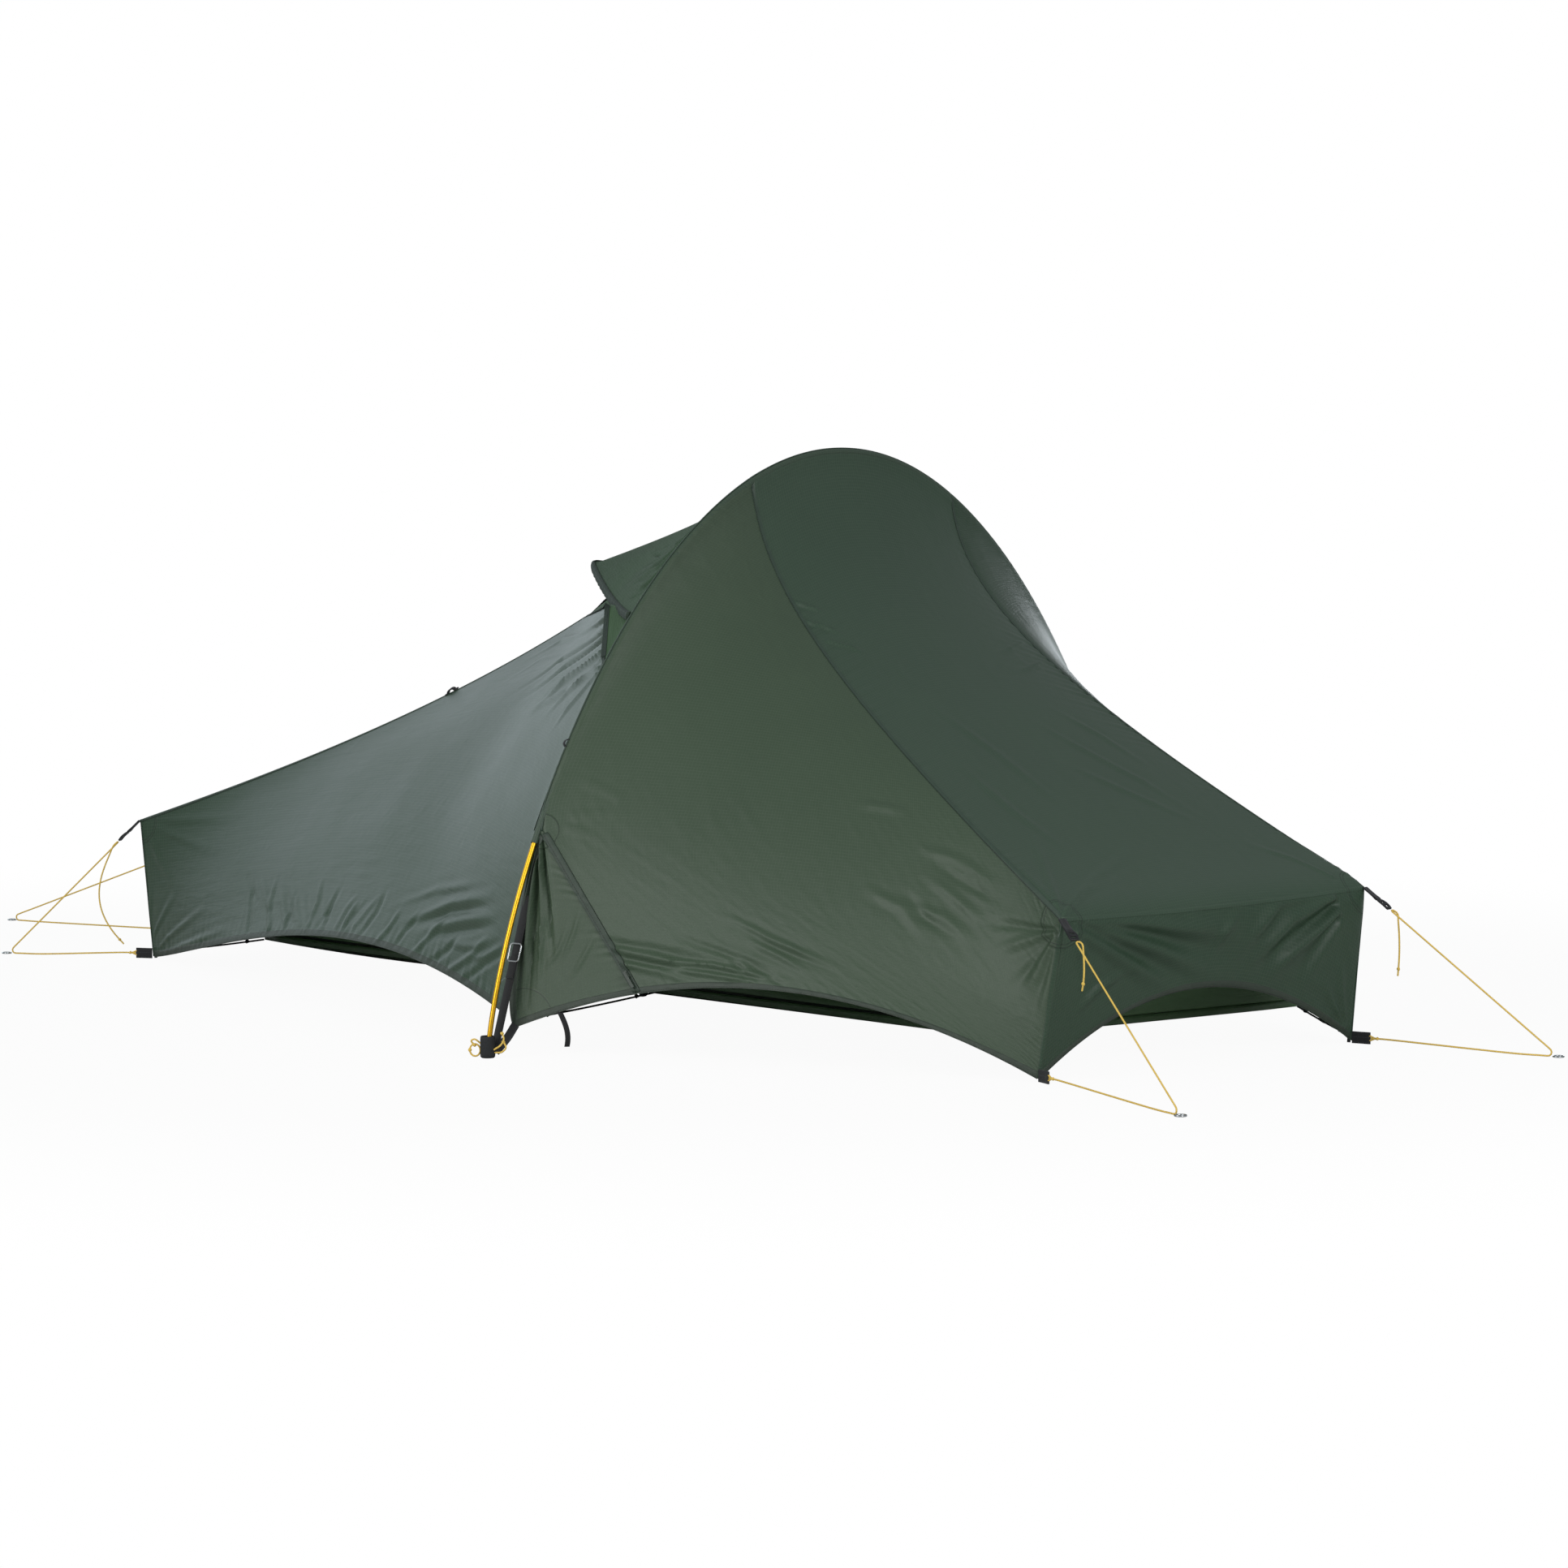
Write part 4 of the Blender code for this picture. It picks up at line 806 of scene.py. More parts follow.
# Painted zinc casting of the zip slider: dark olive, half gloss
ZIP_METAL = hard_finish("painted_zinc_olive", "#2c372d", "#3a463b", 0.42, 0.0, 1.0)
# Injection-moulded nylon: black with a fine spark texture
MOULDED_NYLON = hard_finish("moulded_nylon_black", "#121314", "#202224", 0.46, 0.0, 0.8, 0.00008)
# Heavy webbing of the pole cups: black and coarse
CUP_WEBBING = hard_finish("woven_cup_webbing", "#131416", "#2b2e31", 0.75, 0.0, 1.6, 0.0003)


def floor_cloth():
    """Proofed floor cloth, denser and shinier than the walls. Only its lowest strip is black: the
    lifted edge above it is green wall cloth."""
    finish, tree, shader = new_finish("proofed_floor_nylon")
    place = in_space(tree)
    folds, grain = noise(tree, place, 14.0, 4.0), noise(tree, place, 400.0, 2.0)
    wall = ramp(tree, split(tree, place)[2], 0.0225, 0.0235)
    # The green of the lifted edge is raised like that of the inner walls: painted light, for light through the fly
    # into the shaded tent
    black, green = tint(tree, grain, "#0f1210", "#1b201c"), tint(tree, grain, "#5d7f58", "#6a8d62")
    feed(tree, shader, {"Base Color": tint(tree, wall, black, green), "Roughness": 0.36,
                        "Normal": relief(tree, (folds, 0.004), (grain, 0.0001))})
    return finish


def insect_mesh():
    """Knitted insect mesh: fine open holes between green yarns, drawn at 3 mm so that they show. The holes are painted
    dark: painted shade of the tent's inside seen through them.
    """
    finish, tree, shader = new_finish("knitted_insect_mesh")
    yarn = sums(tree, "MAXIMUM", *(waves(tree, way, 333.0) for way in split(tree, metres(tree))[:2]))
    # Pale yarns, dark holes: the holes' colour is painted shade of the inside seen through the mesh
    feed(tree, shader, {"Base Color": tint(tree, yarn, "#2c452c", "#527d49"),
                        "Normal": relief(tree, (yarn, 0.0005)), "Roughness": 0.7})
    return finish


FLOOR_CLOTH = floor_cloth()
INSECT_MESH = insect_mesh()

# Cords: four guy lines, three stretch cords and the knotted loop at the pole foot

def turn_back(start, heading, side, radius, angle, count=9):
    """An arc that leaves a point along a heading and turns towards a side."""
    turns = [angle * k / count for k in range(1, count + 1)]
    return [start + heading * (radius * math.sin(a)) + side * (radius * (1.0 - math.cos(a))) for a in turns]


def corner_lines(corner, top, peg):
    """The frame of a corner: its peg, the way to it, where the webbing at the hem starts, and the pull of
    the guy line with the place where the upper webbing starts."""
    foot, peg = Vector((*corner, 0.0)), Vector((*peg, 0.0))
    away = (peg - foot).normalized()
    height = FOOT_WEBBING[2]
    lean = max(away.dot(top - foot) / top.z * height, 0.0)
    base = foot + away * (lean + FOOT_WEBBING_GAP) + Vector((0.0, 0.0, height / 2.0))
    pull = (peg - top).normalized()
    return peg, away, base, pull, top + pull * (CLOTH + GUY_WEBBING_GAP)


def declare_cord(path):
    route_length(path)


def guy_line(name, corner, top, peg, tail):
    """Knot at the corner webbing, along the ground, round the peg ring, up to the tensioner, then a tail."""
    peg, away, base, pull, _ = corner_lines(corner, top, peg)
    bridle = base + away * (FOOT_WEBBING[0] + CORD_GAP)
    grip = top + pull * (CLOTH + GUY_WEBBING_GAP + GUY_WEBBING[0] + FITTING_GAP)
    flat = peg - bridle
    flat.z = 0.0
    flat.normalize()
    low = peg + Vector((0.0, 0.0, GUY_GROUND_HEIGHT)) - flat * (PEG_RING_RADIUS + PEG_WIRE + GUY_RADIUS + CORD_GAP)
    head = grip + pull * (TENSIONER[0] + TAIL_TURN + GUY_RADIUS + CORD_GAP)
    rise = (head - low).normalized()
    side = rise.cross(UPRIGHT).normalized()
    angle = math.pi - math.atan2(rise.z, -rise.dot(flat))
    around = turn_back(low - flat * CORD_BEND, flat, UPRIGHT, CORD_BEND, angle)
    knot_at = bridle + flat * GUY_KNOT_STEP
    run = [bridle, knot_at, knot_at + flat * GUY_KNOT_STEP]
    run += [low - flat * back for back in (0.06, 0.02, CORD_BEND)] + around
    up_end = around[-1] + (head - around[-1]).normalized() * ((head - around[-1]).length - GUY_TURN_ROOM)
    run += [around[-1].lerp(up_end, s) for s in (0.08, 0.3, 0.6, 0.9, 0.97)] + [up_end]
    run += turn_back(up_end, (up_end - around[-1]).normalized(), side, TAIL_TURN + 0.0008, math.pi)
    drop, bow, curl = tail
    hang = run[-1] - rise * GUY_BEND_STEP
    run.append(hang)
    out = Vector((pull.x, pull.y, 0.0)).normalized()
    for t in (k / TAIL_POINTS for k in range(1, TAIL_POINTS + 1)):
        sway = out * (bow * math.sin(math.pi * t * TAIL_SWAY)) - out * (curl * t ** 4)
        run.append(hang + sway - Vector((0.0, 0.0, drop * t)))
    path = smooth_route(run, CORD_STEP)
    item = round_piece(name + "_guy_cord", path, GUY_RADIUS, YELLOW_CORD)
    pieces = [
        knot(name + "_bridle_knot", knot_at, flat, KNOT_SIZE, GUY_RADIUS, YELLOW_CORD),
        knot(name + "_tail_knot", path[-4], path[-4] - path[-1], KNOT_SIZE, GUY_RADIUS, YELLOW_CORD),
    ]
    # The loop of the bridle, tied through the end of the corner webbing
    loop = []
    for t in (k / 14.0 for k in range(15)):
        back = 0.02 * (1.0 - abs(2.0 * t - 1.0) ** 1.6)
        wide = 0.0055 * math.sin(2.0 * math.pi * t)
        loop.append(knot_at - flat * back + UPRIGHT * wide * math.sin(math.pi * t))
    pieces.append(round_piece(name + "_bridle_loop", smooth_route(loop, 0.002), GUY_RADIUS, YELLOW_CORD))
    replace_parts(item, name + "_guy_line")
    declare_cord(path)


for corner_row in CORNERS:
    guy_line(*corner_row)


def cord_hook(name, place, heading):
    """A moulded hook on a stretch cord: a barrel and an open claw."""
    heading = Vector(heading).normalized()
    up = (UPRIGHT - heading * UPRIGHT.dot(heading)).normalized()
    claw = [place - heading * 0.016, place - heading * 0.006, place + heading * 0.004 + up * 0.0005]
    for a in (math.pi * 1.1 * k / 8 for k in range(1, 9)):
        claw.append(place + heading * (0.004 + 0.0062 * math.sin(a)) + up * (0.0058 * (1.0 - math.cos(a))))
    swell = [1.0 + 0.9 * math.exp(-((k - 2) / 2.5) ** 2) for k in range(len(claw))]
    return round_piece(name, claw, 0.0026, MOULDED_NYLON, "moulded_plastic", 10, swell=swell)


def stretch_cord(name, start, end, hook_share):
    """A stretch cord with its moulded hook, taut but for a slight sag."""
    run = []
    for t in (k / SHOCK_STEPS for k in range(SHOCK_STEPS + 1)):
        run.append(start.lerp(end, t) - Vector((0.0, 0.0, 0.0015 * math.sin(math.pi * t))))
    path = smooth_route(run, CORD_STEP)
    item = round_piece(name + "_braid", path, SHOCK_RADIUS, BLACK_CORD, "shock_cord")
    pieces = [cord_hook(name + "_hook", start.lerp(end, hook_share) + Vector((0.0, 0.0, 0.001)), end - start)]
    for number, share in enumerate((0.16, 0.84)):
        pieces.append(knot(name + "_knot_%d" % number, start.lerp(end, share), end - start, 0.0026, SHOCK_RADIUS,
                           BLACK_CORD))
    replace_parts(item, name)
    declare_cord(path)


def strut_inset(corner, neighbours):
    """How far inward a strut stands so that it just clears the two cloth walls of its corner."""
    first, second = (Vector((n[0] - corner[0], n[1] - corner[1], 0.0)).normalized() for n in neighbours)
    half_angle = first.angle(second) / 2.0
    clear = STRUT_RADIUS + CLOTH / 2.0 + STRUT_GAP
    return (first + second).normalized() * (clear / math.sin(half_angle))


def beside_strut(name, target):
    """Where a cord that runs to a target starts from the strut of a corner."""
    corner, top, ground_walls, top_walls = STRUT_CORNERS[name]
    hem_point = ground(corner)
    lean = (top - hem_point) / (top.z - hem_point.z)
    low = hem_point - lean * (HEM_CLEARANCE - STRUT_FOOT_CLEARANCE) + strut_inset(corner, ground_walls)
    high = top - lean * STRUT_TOP_CLEARANCE + strut_inset(top, top_walls)
    centre = low.lerp(high, SHOCK_STRUT_HEIGHT / (high.z - low.z))
    return centre + (target - centre).normalized() * (STRUT_RADIUS + SHOCK_STRUT_GAP)


tub_near_foot, tub_near_head, tub_far_head = (
    Vector((*c, TUB_RIM_HEIGHT)) + SHOCK_RIM_DROP for c in (TUB_RIM_NEAR_FOOT, TUB_RIM_NEAR_HEAD, TUB_RIM_FAR_HEAD))
rim_aside = Vector((SHOCK_RIM_GAP, 0.0, 0.0))
foot_end = tub_near_foot - rim_aside
head_end = tub_far_head + rim_aside
for name, strut, end in (("foot_shock_cord", "foot_near", foot_end), ("head_shock_cord", "head_far", head_end)):
    stretch_cord(name, beside_strut(strut, end), end, SHOCK_CORNER_HOOK)
hem_along = (zip_foot - near_pole_head_side).normalized()
behind = Vector((-hem_along.y, hem_along.x, 0.0)).normalized()
door_start = near_pole_head_side + behind * (CLOTH / 2.0 + SHOCK_RADIUS + SHOCK_DOOR_GAP)
door_start += Vector((SHOCK_DOOR_START[0], 0.0, SHOCK_DOOR_START[1]))
door_end = tub_near_foot.lerp(tub_near_head, SHOCK_DOOR_SHARE) - Vector((0.0, SHOCK_RIM_GAP, 0.0))
stretch_cord("door_shock_cord", door_start, door_end, SHOCK_DOOR_HOOK)


def foot_loop():
    """The knotted loop of cord beside the pole foot, from its knot round and back."""
    out, beside, lift = FOOT_LOOP_CENTRE
    centre = Vector((out, -HOOP_HALF_SPAN - beside, lift))
    loop = []
    for angle in (math.pi + 2.0 * math.pi * (0.02 + 0.96 * k / 16) for k in range(17)):
        loop.append(centre + Vector((math.cos(angle), math.cos(angle), math.sin(angle))) * FOOT_LOOP_SIZE)
    path = smooth_route(loop, 0.0025)
    item = round_piece("foot_loop_cord", path, GUY_RADIUS, YELLOW_CORD)
    tie = knot("foot_loop_knot", (path[0] + path[-1]) / 2.0, Vector((1.0, 0.5, 0.2)), 0.0018, GUY_RADIUS, YELLOW_CORD)
    # Loose ends and small loops of the same cord, with their knots
    for number, offsets in enumerate((
        ((-0.01, -0.004, 0.014), (-0.02, -0.01, 0.022), (-0.026, -0.012, 0.019), (-0.022, -0.008, 0.012)),
        ((0.012, 0.002, 0.006), (0.022, 0.008, 0.014), (0.026, 0.011, 0.024), (0.023, 0.01, 0.033)),
        ((0.012, 0.004, 0.001), (0.022, 0.01, 0.002), (0.028, 0.014, 0.01), (0.024, 0.012, 0.019)),
    )):
        ends = [Vector((0.0, -HOOP_HALF_SPAN, 0.008)) + Vector(o) for o in offsets]
        round_piece("foot_loop_end_%d" % number, smooth_route(ends, 0.002), GUY_RADIUS, YELLOW_CORD)
        knot("foot_loop_end_knot_%d" % number, ends[-1], ends[-1] - ends[-2], KNOT_SIZE, GUY_RADIUS,
                           YELLOW_CORD)
    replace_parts(item, "pole_foot_cord_loop")
    declare_cord(path)


foot_loop()

# Cloth panels: each is one curved sheet between its four edges, with the folds of the real cloth

def shares(count):
    """Shares from 0 to 1 that stand closer together near both ends."""
    t = np.linspace(0.0, 1.0, count + 1)
    return t - 0.085 * np.sin(2.0 * math.pi * t)


class Cut:
    """A cut panel between four edge functions of 0..1: bottom, top, left and right."""

    def __init__(self, rails, columns, rows, smoothing=160):
        bottom, top, left, right = rails
        self.us, self.vs = shares(columns), shares(rows)
        low = np.array([tuple(bottom(u)) for u in self.us])
        high = np.array([tuple(top(u)) for u in self.us])
        start = np.array([tuple(left(v)) for v in self.vs])
        end = np.array([tuple(right(v)) for v in self.vs])
        u, v = self.us[None, :, None], self.vs[:, None, None]
        ruled_v = low[None] * (1.0 - v) + high[None] * v
        ruled_u = start[:, None] * (1.0 - u) + end[:, None] * u
        corners = (low[0] * (1 - u) + low[-1] * u) * (1 - v) + (high[0] * (1 - u) + high[-1] * u) * v
        self.points = ruled_v + ruled_u - corners
        self.relax(smoothing)
        steps_v = np.linalg.norm(np.diff(self.points, axis=0), axis=2)
        steps_u = np.linalg.norm(np.diff(self.points, axis=1), axis=2)
        zero_v, zero_u = np.zeros((1, columns + 1)), np.zeros((rows + 1, 1))
        self.from_bottom = np.concatenate([zero_v, np.cumsum(steps_v, axis=0)])
        self.from_left = np.concatenate([zero_u, np.cumsum(steps_u, axis=1)], axis=1)
        self.away = {
            "bottom": self.from_bottom, "top": self.from_bottom[-1:] - self.from_bottom,
            "left": self.from_left, "right": self.from_left[:, -1:] - self.from_left,
        }
        self.uv = np.stack([self.from_left, self.from_bottom], -1)
        origin = self.points[:-1, :-1]
        cell = np.linalg.norm(np.cross(self.points[1:, :-1] - origin, self.points[:-1, 1:] - origin), axis=2)
        self.area = float(cell.sum())
        self.flat = (float(self.from_left[:, -1].max()), float(self.from_bottom[-1].max()))
        self.height = np.zeros(self.points.shape[:2])

    def relax(self, rounds):
        """Pulls the cloth smooth between its fixed edges, as tension does."""
        p = self.points
        for _ in range(rounds):
            p[1:-1, 1:-1] = (p[:-2, 1:-1] + p[2:, 1:-1] + p[1:-1, :-2] + p[1:-1, 2:]) / 4.0
        self.refresh()

    def refresh(self):
        across = np.cross(np.gradient(self.points, axis=1), np.gradient(self.points, axis=0))
        normals = across / np.maximum(np.linalg.norm(across, axis=2, keepdims=True), 1e-12)
        middle = (self.points - np.array(INSIDE_POINT)).reshape(-1, 3).mean(0)
        self.flipped = bool(normals.reshape(-1, 3).mean(0) @ middle < 0)
        self.normals = -normals if self.flipped else normals

    def bow(self, height):
        """Moves the cloth out by a height at each point, before its folds are drawn."""
        self.points = self.points + self.normals * height[..., None]
        self.refresh()

    def spot(self, x, y):
        """The point of the panel that the photograph shows at a pixel."""
        seen = photo_place(self.points)
        k = np.argmin(((seen - np.array([x, y])) ** 2).sum(2))
        return self.points.reshape(-1, 3)[k]

    def at(self, u, v):
        """A point of the panel by its shares along and across."""
        j = np.abs(self.us - u).argmin()
        i = np.abs(self.vs - v).argmin()
        return self.points[i, j]

    def fold(self, spots, width, depth, fan=0.0, held=""):
        """A fold along points of the cloth: a crest with a hollow at each side. It fades out at its ends,
        but for the end that is held."""
        nearest = np.full(self.points.shape[:2], 1e9)
        along = np.zeros(self.points.shape[:2])
        spots = [np.array(s) for s in spots]
        lengths = [np.linalg.norm(b - a) for a, b in zip(spots, spots[1:])]
        done = 0.0
        for a, b, length in zip(spots, spots[1:], lengths):
            t = np.clip(((self.points - a) @ (b - a)) / max(length ** 2, 1e-12), 0.0, 1.0)
            away = np.linalg.norm(self.points - a - t[..., None] * (b - a), axis=2)
            nearer = away < nearest
            nearest = np.where(nearer, away, nearest)
            along = np.where(nearer, (done + t * length) / sum(lengths), along)
            done += length
        size = width * (1.0 + fan * along)
        fade = np.ones_like(along)
        if held != "start":
            fade = fade * np.clip(along / 0.3, 0.0, 1.0) ** 1.5
        if held != "end":
            fade = fade * np.clip((1.0 - along) / 0.4, 0.0, 1.0) ** 1.5
        share = (nearest / size) ** 2
        self.height += depth * (1.0 - 1.3 * share) * np.exp(-share) * fade

    def photo_folds(self, width, depth, lines, fan=0.0, held=""):
        """Folds whose ends and bends are given by the pixels (x, y, x, y, ...) where the photograph shows them."""
        for pixels in lines:
            self.fold([self.spot(x, y) for x, y in zip(pixels[::2], pixels[1::2])], width, depth, fan, held)

    def pucker(self, side, depth, reach, pitch, seed, most=None):
        """Short gathers that a sewn seam pulls into the cloth beside it. Most says where along the seam they
        are strongest, and over which length."""
        away = self.away[side]
        run = self.from_left if side in ("bottom", "top") else self.from_bottom
        turn = np.random.default_rng(seed).uniform(0.0, 6.28, 4)
        wave = np.sin(2 * math.pi * run / pitch + turn[0])
        wave = wave + 0.7 * np.sin(2 * math.pi * run / (pitch * 1.62) + turn[1])
        gate = 0.55 + 0.45 * np.sin(2 * math.pi * run / (pitch * 7.3) + turn[2])
        if most:
            gate = (0.7 + 0.3 * gate) * np.exp(-((run - most[0]) / most[1]) ** 2)
        self.height += depth * (1.0 - np.exp(-away / 0.003)) * np.exp(-away / reach) * wave * gate * 0.6

    def round_edge(self, side, rise, reach):
        """Bows the cloth out beside an edge, so that it rolls over softly into the next panel."""
        away = self.away[side]
        self.height += rise * (away / reach) * np.exp(1.0 - away / reach)

    def crumple(self, depth, across, spread, pitch, seed, gate=None):
        """Soft uneven creases that run about along one direction of the cloth."""
        rng = np.random.default_rng(seed)
        total = np.zeros_like(self.height)
        for _ in range(12):
            angle = across + rng.normal(0.0, spread)
            size = pitch * rng.uniform(0.6, 1.9)
            along = self.uv[..., 0] * math.cos(angle) + self.uv[..., 1] * math.sin(angle)
            beside = self.uv[..., 1] * math.cos(angle) - self.uv[..., 0] * math.sin(angle)
            phase = rng.uniform(0.0, 6.28, 3)
            slow = 0.5 + 0.5 * np.sin(2 * math.pi * beside / (size * 5.0) + phase[1])
            slow = slow * (0.5 + 0.5 * np.sin(2 * math.pi * along / (size * 6.5) + phase[2]))
            ridge = 1.0 - np.abs(np.sin(math.pi * along / size + phase[0]))
            total += ridge ** 3 * slow
        total = (total - total.mean()) / 3.0
        self.height += depth * total * (1.0 if gate is None else gate)

    def gather(self, grip, *seams):
        """Gathers the cloth along its seams, each with its side and numbers, and lets it settle."""
        for numbers in seams:
            self.pucker(*numbers)
        self.settle(grip)

    def settle(self, grip=0.006):
        """Moves the cloth out by its folds, which die away at the sewn edges."""
        edge = np.minimum.reduce(list(self.away.values()))
        self.bow(self.height * (1.0 - np.exp(-edge / grip)))

    def line_in(self, side, share):
        """The cloth's points and normals from a place on one edge straight inward."""
        points, normals, steps = self.points, self.normals, self.vs
        if side in ("bottom", "top"):
            points, normals, steps = points.swapaxes(0, 1), normals.swapaxes(0, 1), self.us
        x = np.interp(share, steps, np.arange(len(steps)))
        k = int(min(x, len(steps) - 2))
        part = x - k
        run = points[k] * (1 - part) + points[k + 1] * part
        out = normals[k] * (1 - part) + normals[k + 1] * part
        if side in ("top", "right"):
            run, out = run[::-1], out[::-1]
        return run, out

    def beside(self, side, share, distance, lift):
        """A point over the cloth at a distance in from an edge; a negative distance lies outside it."""
        run, out = self.line_in(side, share)
        along = np.concatenate([[0.0], np.cumsum(np.linalg.norm(np.diff(run, axis=0), axis=1))])
        if distance < 0:
            way = (run[0] - run[2]) / max(np.linalg.norm(run[0] - run[2]), 1e-9)
            return run[0] - way * distance + out[2] * lift
        point = np.array([np.interp(distance, along, run[:, axis]) for axis in range(3)])
        normal = np.array([np.interp(distance, along, out[:, axis]) for axis in range(3)])
        return point + normal / max(np.linalg.norm(normal), 1e-9) * lift

    def sew(self, name, finish, slot, node, body="shelter"):
        points, uv = (self.points[:, ::-1], self.uv[:, ::-1]) if self.flipped else (self.points, self.uv)
        item = link(name, surface(name, points, uv), finish, slot, body)
        thicken(item, CLOTH_SHOWN)
        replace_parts(item, node)
        width, height = (round(side, 3) for side in self.flat)
        area = min(max(self.area, 0.31 * width * height), width * height)
        return item


def strip_shares(edge_at, start, end, step):
    """Shares from start to end along an edge, about one step of length apart."""
    edge = [Vector(edge_at(start + (end - start) * k / 60)) for k in range(61)]
    count = max(int(route_length(edge) / step), 4)
    return [start + (end - start) * k / count for k in range(count + 1)]


def lengths_along(spots):
    """The length from the first point of a route to each of its points."""
    return [0.0] + list(itertools.accumulate((q - p).length for p, q in zip(spots, spots[1:])))


def band(name, cut, side, profile, finish, slot="fly_cloth", start=0.0, end=1.0, close=True):
    """A strip folded over an edge, from its profile of distances in from the edge and lifts off the cloth."""
    wrap = list(profile) + [profile[0]] if close else profile
    width = girth(wrap)
    shares = strip_shares(lambda share: cut.beside(side, share, 0.0, 0.0), start, end, STRIP_STEP)
    spots = [Vector(cut.beside(side, share, 0.0, 0.0)) for share in shares]
    grid = [[tuple(cut.beside(side, share, distance, lift)) for distance, lift in wrap] for share in shares]
    uv = [[(along, w) for w in width] for along in lengths_along(spots)]
    return link(name, surface(name, grid, uv, close), finish, slot)


STRIP_STEP = 0.006
HEM_PROFILE = (
    (0.011, -0.0008), (0.0055, -0.0011), (0.0, -0.0013), (-0.0011, -0.0008), (-0.0014, 0.0), (-0.0011, 0.0008),
    (0.0, 0.0011), (0.003, 0.0009), (0.006, 0.0011), (0.0095, 0.0009), (0.0112, 0.0001),
)


def seam(name, first, second, finish=None, width=0.005, lift=0.0009, start=0.0, end=1.0, step=STRIP_STEP):
    """A felled seam: a raised strip that covers the shared edge of two panels. Each side is a panel, the
    name of its edge and the part of that edge that the seam takes up, from its start."""
    sides = first, second

    def beside(k, t, distance, height):
        cut, side, part = sides[k]
        return cut.beside(side, t * part, distance, height)

    reach = ((width, 0.0001), (width * 0.92, lift), (width * 0.5, lift * 1.15), (width * 0.12, lift * 0.85))
    grid = []
    for t in strip_shares(lambda share: beside(0, share, 0.0, 0.0), start, end, step):
        row = [beside(0, t, d, h) for d, h in reach] + [beside(1, t, d, h) for d, h in reversed(reach)]
        grid.append([tuple(p) for p in row])
    spots = [Vector(row[len(reach) - 1]) for row in grid]
    uv = [[(along, w * width / 4.0) for w in range(2 * len(reach))] for along in lengths_along(spots)]
    item = link(name, surface(name, grid, uv), finish or SEAM_TAPE, "fly_cloth")
    face = item.data.polygons[len(item.data.polygons) // 2]
    _, out = first[0].line_in(first[1], (start + end) / 2 * first[2])
    if face.normal.dot(Vector(out[2])) < 0:
        item.data.flip_normals()
    thicken(item, TAPE_THICK)


TAPE_THICK = 0.0004

# Flysheet

def lifted(edge, rise):
    """A roof edge whose middle stands higher, where the cloth is drawn tight."""
    return lambda t: edge(t) + Vector((0.0, 0.0, rise * math.sin(math.pi * t) ** 0.8))


near_spine_seam, far_spine_seam = lifted(near_spine_seam, 0.011), lifted(far_spine_seam, 0.011)


def hoop_pieces(side, pole_foot, knee):
    """The hoop edge of a side wall: up beside the pole, along the hoop, then the lip of the vent."""
    return [
        line(pole_foot, hoop_point(side * SLEEVE_END_Y, -SEAM_X)),
        hoop_edge(side * SLEEVE_END_Y, side * VENT_FOOT_Y, -SEAM_X),
        line(hoop_point(side * VENT_FOOT_Y, -SEAM_X), knee),
    ]


def side_wall(corner, top, pole_foot, seam_line, spine_end, knee, side, columns, rows):
    pieces = hoop_pieces(side, pole_foot, knee)
    return Cut((
        hem(ground(corner), pole_foot, FOOT_SIDE_HEM_RISE, FOOT_SIDE_HEM_SKEW),
        chain([seam_line, line(spine_end, knee)]),
        line(ground(corner), top),
        chain(pieces),
    ), columns, rows), piece_shares(pieces)


foot_near, near_shares = side_wall(NEAR_FOOT_CORNER, NEAR_FOOT_TOP, near_pole_foot_side, near_spine_seam,
                                   near_spine_end, near_knee, -1.0, 320, 140)
# Hard folds that run from the vent corner down into the side wall
foot_near.photo_folds(0.009, -0.007, [
    (750, 776, 690, 813, 622, 860), (748, 786, 694, 825, 628, 868)], fan=0.3, held="start")
foot_near.photo_folds(0.008, 0.0062, [
    (746, 800, 698, 836, 650, 880), (751, 760, 694, 788, 640, 818)], fan=0.6, held="start")
foot_near.photo_folds(0.008, 0.0032, [
    (742, 812, 700, 850, 662, 892), (751, 768, 668, 812, 604, 852), (739, 822, 686, 858, 632, 884),
    (736, 830, 700, 872, 676, 902)], fan=0.4, held="start")
# Long soft waves that the pole foot pulls across the lower wall
foot_near.photo_folds(0.013, 0.0036, [
    (612, 1102, 560, 1112, 486, 1138), (618, 1128, 566, 1136, 504, 1153)])
foot_near.photo_folds(0.011, -0.0034, [
    (612, 1115, 556, 1124, 480, 1148), (614, 1141, 570, 1146, 520, 1153)])
foot_near.photo_folds(0.01, 0.0026, [
    (616, 1152, 580, 1166, 540, 1160), (624, 1166, 596, 1180, 570, 1178), (600, 1088, 540, 1096, 470, 1120)])
# Pleats of the hem, which lean over towards the pole foot
for number, (x, y) in enumerate((
    (306, 1150), (330, 1148), (352, 1147), (376, 1148), (398, 1150), (420, 1154), (442, 1159), (463, 1164),
    (486, 1171), (508, 1179), (530, 1189), (552, 1200), (572, 1211),
)):
    lean, reach = math.radians(84.0 - 3.9 * number), 66.0 + 14.0 * math.sin(2.3 * number)
    tip = (x + reach * math.cos(lean), y - reach * math.sin(lean))
    middle = ((x + tip[0]) / 2.0 - 4.0 * math.sin(1.7 * number), (y + tip[1]) / 2.0)
    foot_near.photo_folds(0.01, 0.0026 * (1.0 if number % 2 else -0.9), [(*tip, *middle, x, y - 3)], held="end")
